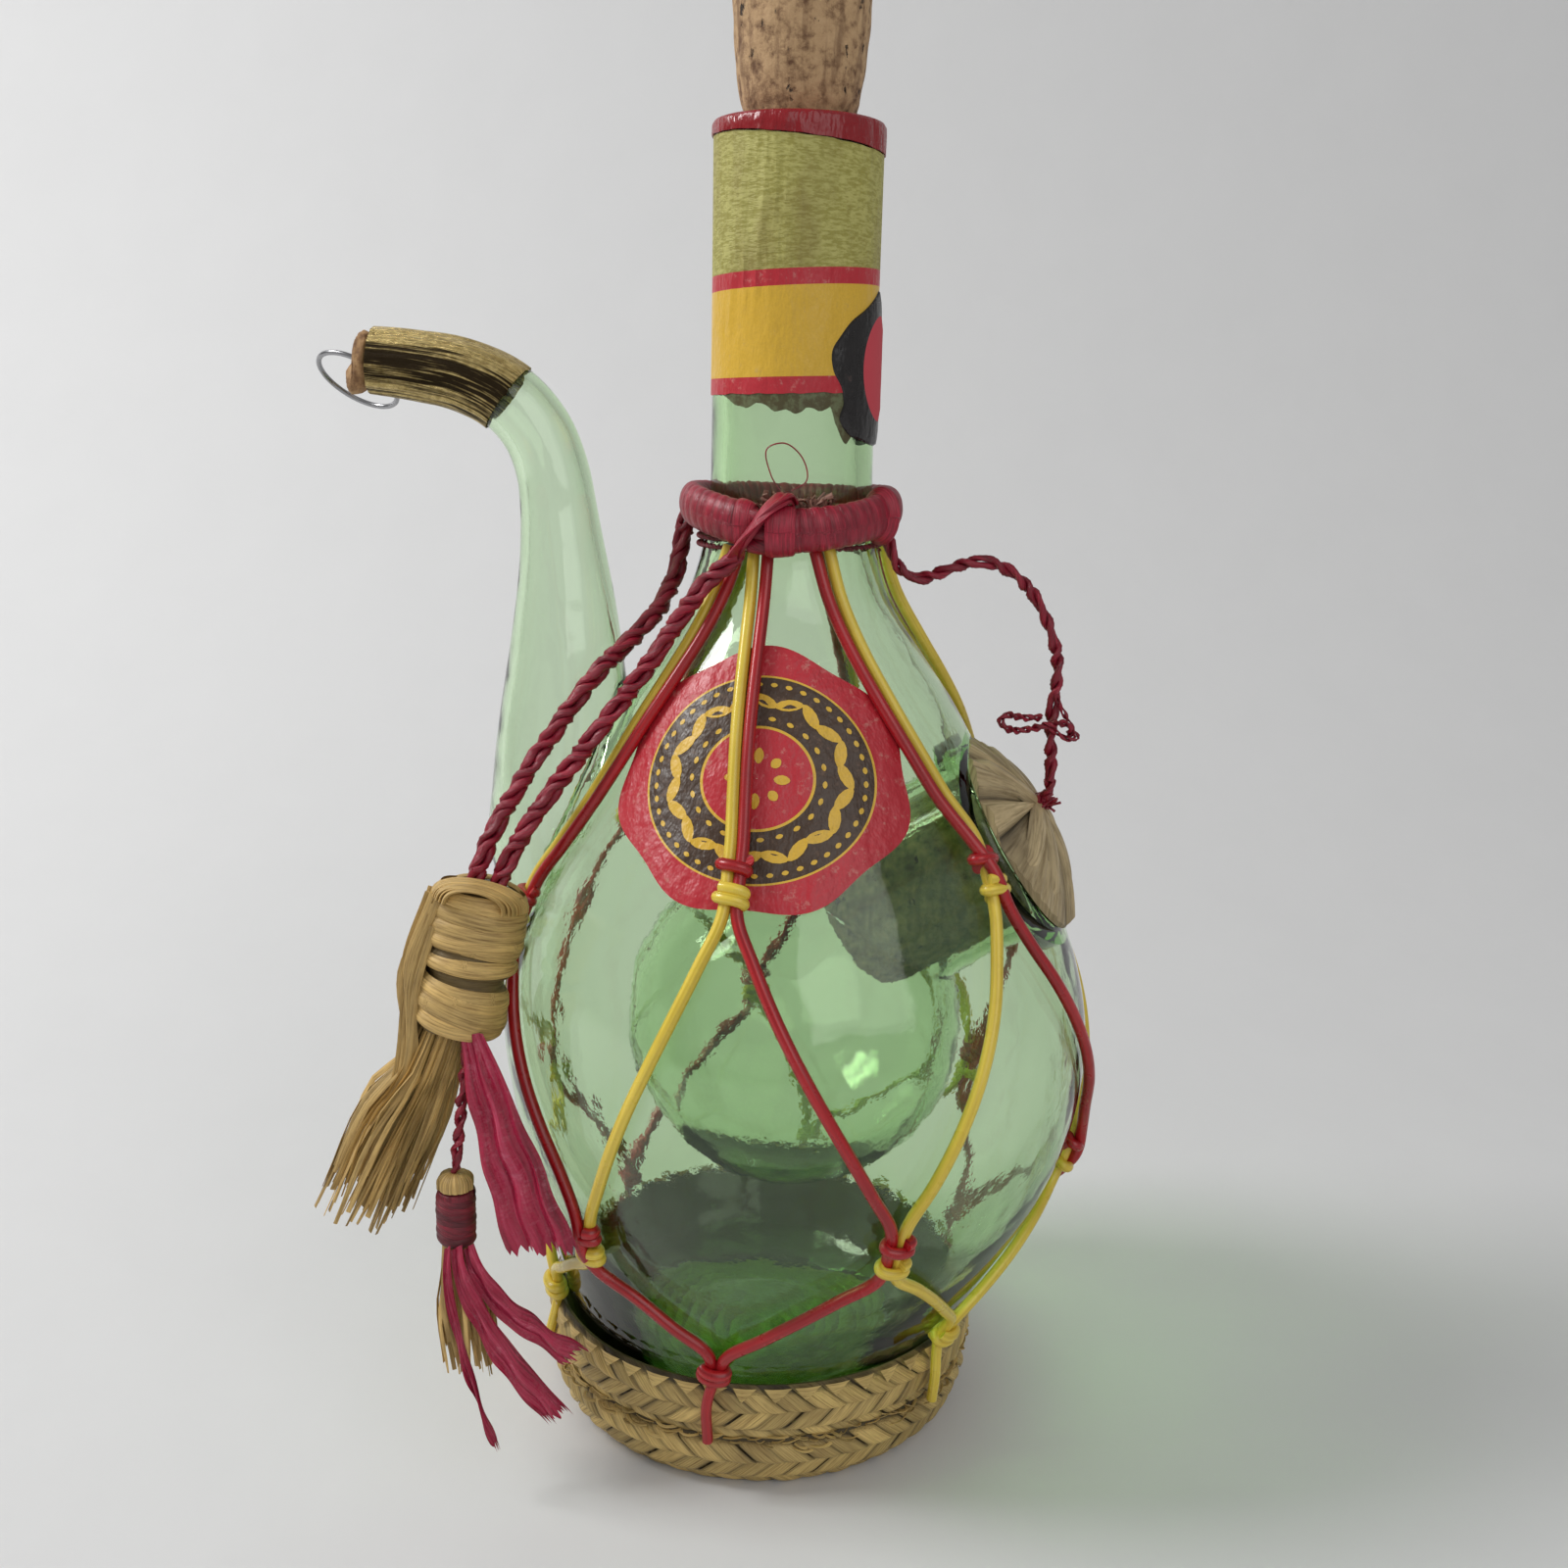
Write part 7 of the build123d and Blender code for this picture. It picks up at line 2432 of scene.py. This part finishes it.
def add_ribbon(facets: Facets, rows: Sequence[tuple[Triple, float]], lean: Triple, folds: float, seed: int) -> float:
    """Add a thin crinkled strip.

    Args:
        facets: what it is added to.
        rows: rows of its middle and half width.
        lean: direction across it.
        folds: number of lengthwise folds.
        seed: seed of its crinkles.

    Returns:
        Its area in square millimetres.
    """
    rng = np.random.default_rng(seed=seed)
    dense = through_points([(*place, half) for place, half in rows], 0.6)
    line, half = dense[:, :3], dense[:, 3]
    across = unit(np.array(lean))
    tangents = unit(np.gradient(line, axis=0))
    out = unit(np.cross(across, tangents))
    out *= -np.sign(out[:, 1:2])
    cross = np.linspace(-1, 1, RIBBON_COLUMNS)
    share = np.linspace(0, 1, len(line))[:, None]
    height = 0.16 * half[:, None] * np.sin(math.pi * folds * (cross + 0.25 * share) + 0.8)
    for _ in range(7):
        phase = rng.uniform(1, 6) * cross + rng.uniform(8, 26) * share + rng.uniform(0, 6)
        height = height + 0.17 * np.sin(phase) * (0.4 + share)
    grid = spread(line, half[:, None] * cross, across, height, out)
    ragged = rng.uniform(-1, 1, RIBBON_COLUMNS) * 1.4
    end = unit(line[-1] - line[-2])
    grid[-1] += end * ragged[:, None]
    grid[-2] += end * 0.5 * ragged[:, None]
    grain = grain_over(grid, cross * 6, share * 40, 0.5)
    facets.add(grid, grid_faces(len(line), RIBBON_COLUMNS, closed=False), grain)
    first, second = np.diff(grid, axis=0)[:, :-1], np.diff(grid, axis=1)[:-1]
    return float(np.linalg.norm(np.cross(first, second), axis=2).sum())


@dataclass
class SmallTassel:
    """Small tassel under the big one: cord, straw top, wound binding, straws and streamers."""

    cord_route: tuple[Triple, ...] = (
        (-0.0514, -0.0345, 0.0847), (-0.0519, -0.0352, 0.0802), (-0.0525, -0.0360, 0.0750), (-0.0529, -0.0367, 0.0696),
        (-0.0535, -0.0370, 0.0648), (-0.0538, -0.0371, 0.0611),
    )
    centre: Pair = (-53.9, -37.1)
    top_z: float = 60.9
    top_radius: float = 3.3
    binding_radius: float = 3.7
    binding_top: float = 57.7
    binding_height: float = 10.0
    binding_turns: int = 7
    top_straws: int = 34
    straws: int = 90
    straw_bottom: Triple = (-51.6, -37.3, 22.6)
    streamers: tuple[tuple[tuple[Triple, float], ...], ...] = (
        (
            ((-51.2, -40.2, 48.2), 1.2), ((-50.2, -41.6, 46.0), 1.5), ((-44.6, -42.2, 37.6), 2.3),
            ((-38.6, -42.2, 32.6), 2.7), ((-32.2, -41.8, 28.2), 3.1)
        ),
        (
            ((-53.2, -40.6, 48.2), 1.1), ((-52.6, -42.2, 45.6), 1.4), ((-47.6, -43.0, 33.8), 2.2),
            ((-41.6, -43.0, 24.2), 2.7), ((-35.4, -42.8, 16.6), 3.0)
        ),
        (
            ((-54.8, -40.6, 48.2), 0.7), ((-54.6, -42.4, 45.2), 0.9), ((-52.2, -43.4, 30.0), 0.9),
            ((-49.4, -43.2, 19.0), 0.8), ((-46.6, -43.0, 9.8), 0.5)
        ),
    )
    streamer_lean: Triple = (0.8, -0.1, 0.6)

    def cord(self) -> None:
        """Make the short cord, which rides on the small tassel."""
        line = routed_line("small_tassel_route", self.cord_route)
        twisted_cord(
            "small_tassel_twist", line, diameter=2.4, pitch=7.0, flat=0.7,
            replaces=["small_tassel_cord"], body=Body.SMALL_TASSEL,
        )

    def top(self) -> None:
        """Make the folded straw top."""
        facets = Facets()
        rng = np.random.default_rng(seed=81)
        x, y = self.centre
        for k in range(self.top_straws):
            turn = TURN * k / self.top_straws + rng.uniform(-0.08, 0.08)
            reach = self.top_radius * rng.uniform(0.86, 0.98)
            steps = ((0.5, rng.uniform(0.1, 0.5)), (0.62 * reach, 0.25), (0.94 * reach, 1.1), (0.98 * reach, 2.9))
            points = [(x + out * math.cos(turn), y + out * math.sin(turn), self.top_z - drop) for out, drop in steps]
            add_tube(facets, through_points(points, 0.5), 0.42, sides=6, flat=0.5, shade=rng.uniform(0, 1))
        core = [(0.0, 57.9), (2.4, 57.9), (2.7, 58.4), (2.5, 60.0), (1.6, 60.3), (0.0, 60.4)]
        add_lathe(facets, core, self.centre, sides=24)
        facets.piece(
            "small_tassel_folded_top", [TASSEL_STRAW], Body.SMALL_TASSEL, ["small_tassel_top"], sharp_angle=50
        )

    def binding(self) -> None:
        """Make the raffia wound round the straws."""
        facets = Facets()
        steps = np.linspace(0, self.binding_turns * TURN, self.binding_turns * 36)
        share = steps / steps[-1]
        reach = self.binding_radius - 0.42 + 0.06 * np.sin(steps * 1.3)
        z = self.binding_top - 0.85 - (self.binding_height - 1.7) * share + 0.12 * np.sin(steps * 0.7 + 1)
        x, y = self.centre
        line = np.stack([x + reach * np.cos(steps), y + reach * np.sin(steps), z], axis=-1)
        places = np.linspace(0, 1, len(line))
        out = unit(np.stack([np.cos(steps), np.sin(steps), 0 * steps], axis=-1))
        cross = np.linspace(-1, 1, 7)
        half = 0.95 * (1 + 0.15 * np.sin(places * 40))
        grid = spread(line, half[:, None] * cross, UPRIGHT, 0.36 * (1 - cross**2) - 0.1, out)
        shade = 0.4 + 0.4 * np.sin(places * 31)[:, None]
        grain = grain_over(grid, cross * 1.2 + places[:, None] * 30, (steps * 3.5)[:, None], shade)
        facets.add(grid, grid_faces(len(line), len(cross), closed=False), grain)
        core = [(0.0, 47.8), (3.0, 47.8), (3.25, 48.3), (3.25, 57.2), (3.0, 57.6), (0.0, 57.6)]
        add_lathe(facets, core, self.centre, sides=32)
        facets.piece(
            "small_tassel_wound_binding", [BINDING_RAFFIA], Body.SMALL_TASSEL,
            ["small_tassel_binding"], sharp_angle=60,
        )

    def build(self) -> None:
        """Make all pieces of the small tassel."""
        self.cord()
        self.top()
        self.binding()
        facets = Facets()
        top = np.array([*self.centre, 48.4])
        down, bottom = -UPRIGHT, np.array(self.straw_bottom)
        add_straws(facets, top, down, bottom, radius=2.7, flare=2.0, count=self.straws, width=(0.25, 0.55), seed=85)
        facets.piece(
            "small_tassel_straws", [TASSEL_STRAW], Body.SMALL_TASSEL, ["small_tassel_straw"], sharp_angle=60
        )
        for number, rows in enumerate(self.streamers, 1):
            strip = Facets()
            add_ribbon(strip, rows, lean=self.streamer_lean, folds=1.6, seed=86 + number)
            node = f"small_tassel_streamer_{number}"
            strip.piece(f"crinkled_{node}", [RIBBON_FILM], Body.SMALL_TASSEL, [node], sharp_angle=60)


# Studio


@dataclass
class Studio:
    """Camera, pale sweep and soft lamps."""

    camera_place: Triple = (0.0025, -0.290, 0.1927)
    pitch: float = 13.4
    roll: float = 1.3
    lens: float = 36.045
    sweep_foot: float = 0.12
    sweep_bend: float = 0.45
    floor_gap: float = 0.00002
    lamp_target: Triple = (0.0, 0.0, 0.1)
    room_light: float = 0.42

    def camera(self) -> None:
        """Place the camera as in the photograph."""
        data = bpy.data.cameras.new("camera")
        data.sensor_width = 36.0
        data.lens = self.lens
        data.clip_start = 0.01
        data.clip_end = 20.0
        made = new_object("camera", data)
        down, lean = math.radians(self.pitch), math.radians(self.roll)
        right, up = Vector((1, 0, 0)), Vector((0, math.sin(down), math.cos(down)))
        ahead = Vector((0, math.cos(down), -math.sin(down)))
        turned_right = math.cos(lean) * right + math.sin(lean) * up
        turned_up = -math.sin(lean) * right + math.cos(lean) * up
        matrix = Matrix((turned_right, turned_up, -ahead)).transposed().to_4x4()
        matrix.translation = Vector(self.camera_place)
        made.matrix_world = matrix
        bpy.context.scene.camera = made

    def sweep(self) -> None:
        """Make the floor that curves up into the backdrop."""
        foot, bend, steps = self.sweep_foot, self.sweep_bend, 24
        profile = [(-3.0, 0.0), (foot, 0.0)]
        for k in range(1, steps + 1):
            angle = math.pi / 2 * k / steps
            profile.append((foot + bend * math.sin(angle), bend * (1 - math.cos(angle))))
        profile.append((foot + bend, 3.0))
        points = [(x, y, z - self.floor_gap) for y, z in profile for x in (-4.0, 4.0)]
        mesh = bpy.data.meshes.new("sweep")
        mesh.from_pydata(points, [], grid_faces(len(profile), 2, closed=False))
        mesh.shade_smooth()
        mesh.materials.append(PALE_SWEEP.material())
        floor = new_object("sweep", mesh)

    def lamp(self, name: str, place: Triple, target: Triple, size: float, power: float) -> None:
        """Add one soft square lamp that looks at a point."""
        data = bpy.data.lights.new(name, "AREA")
        data.size = size
        data.energy = power
        made = new_object(name, data)
        made.location = place
        made.rotation_euler = (Vector(target) - Vector(place)).to_track_quat("-Z", "Y").to_euler()

    def build(self) -> None:
        """Make the studio."""
        self.camera()
        self.sweep()
        self.lamp("key", (-0.80, -0.05, 0.85), self.lamp_target, size=0.40, power=8.0)
        self.lamp("fill", (0.5, -1.0, 0.8), self.lamp_target, size=1.0, power=4.0)
        world = bpy.data.worlds.new("soft_room")
        world.use_nodes = True
        room = world.node_tree.nodes["Background"].inputs
        room["Color"].default_value = (0.8, 0.8, 0.8, 1.0)
        room["Strength"].default_value = self.room_light
        bpy.context.scene.world = world
        bpy.context.scene.view_settings.view_transform = "Standard"


def main() -> None:
    """Build every part of the bottle in order."""
    logging.basicConfig(level=logging.INFO, format="%(message)s")
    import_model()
    Studio().build()
    for part in (
        Tether(), TasselCords(), GlassBottle(), NeckDress(), FrontLabel(), Collar(), CordNet(), StrawBase(),
        SpoutDress(), IcePlug(), BigTassel(), SmallTassel(),
    ):
        part.build()
        LOG.info("built %s", type(part).__name__)
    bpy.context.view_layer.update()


if __name__ == "__main__":
    main()
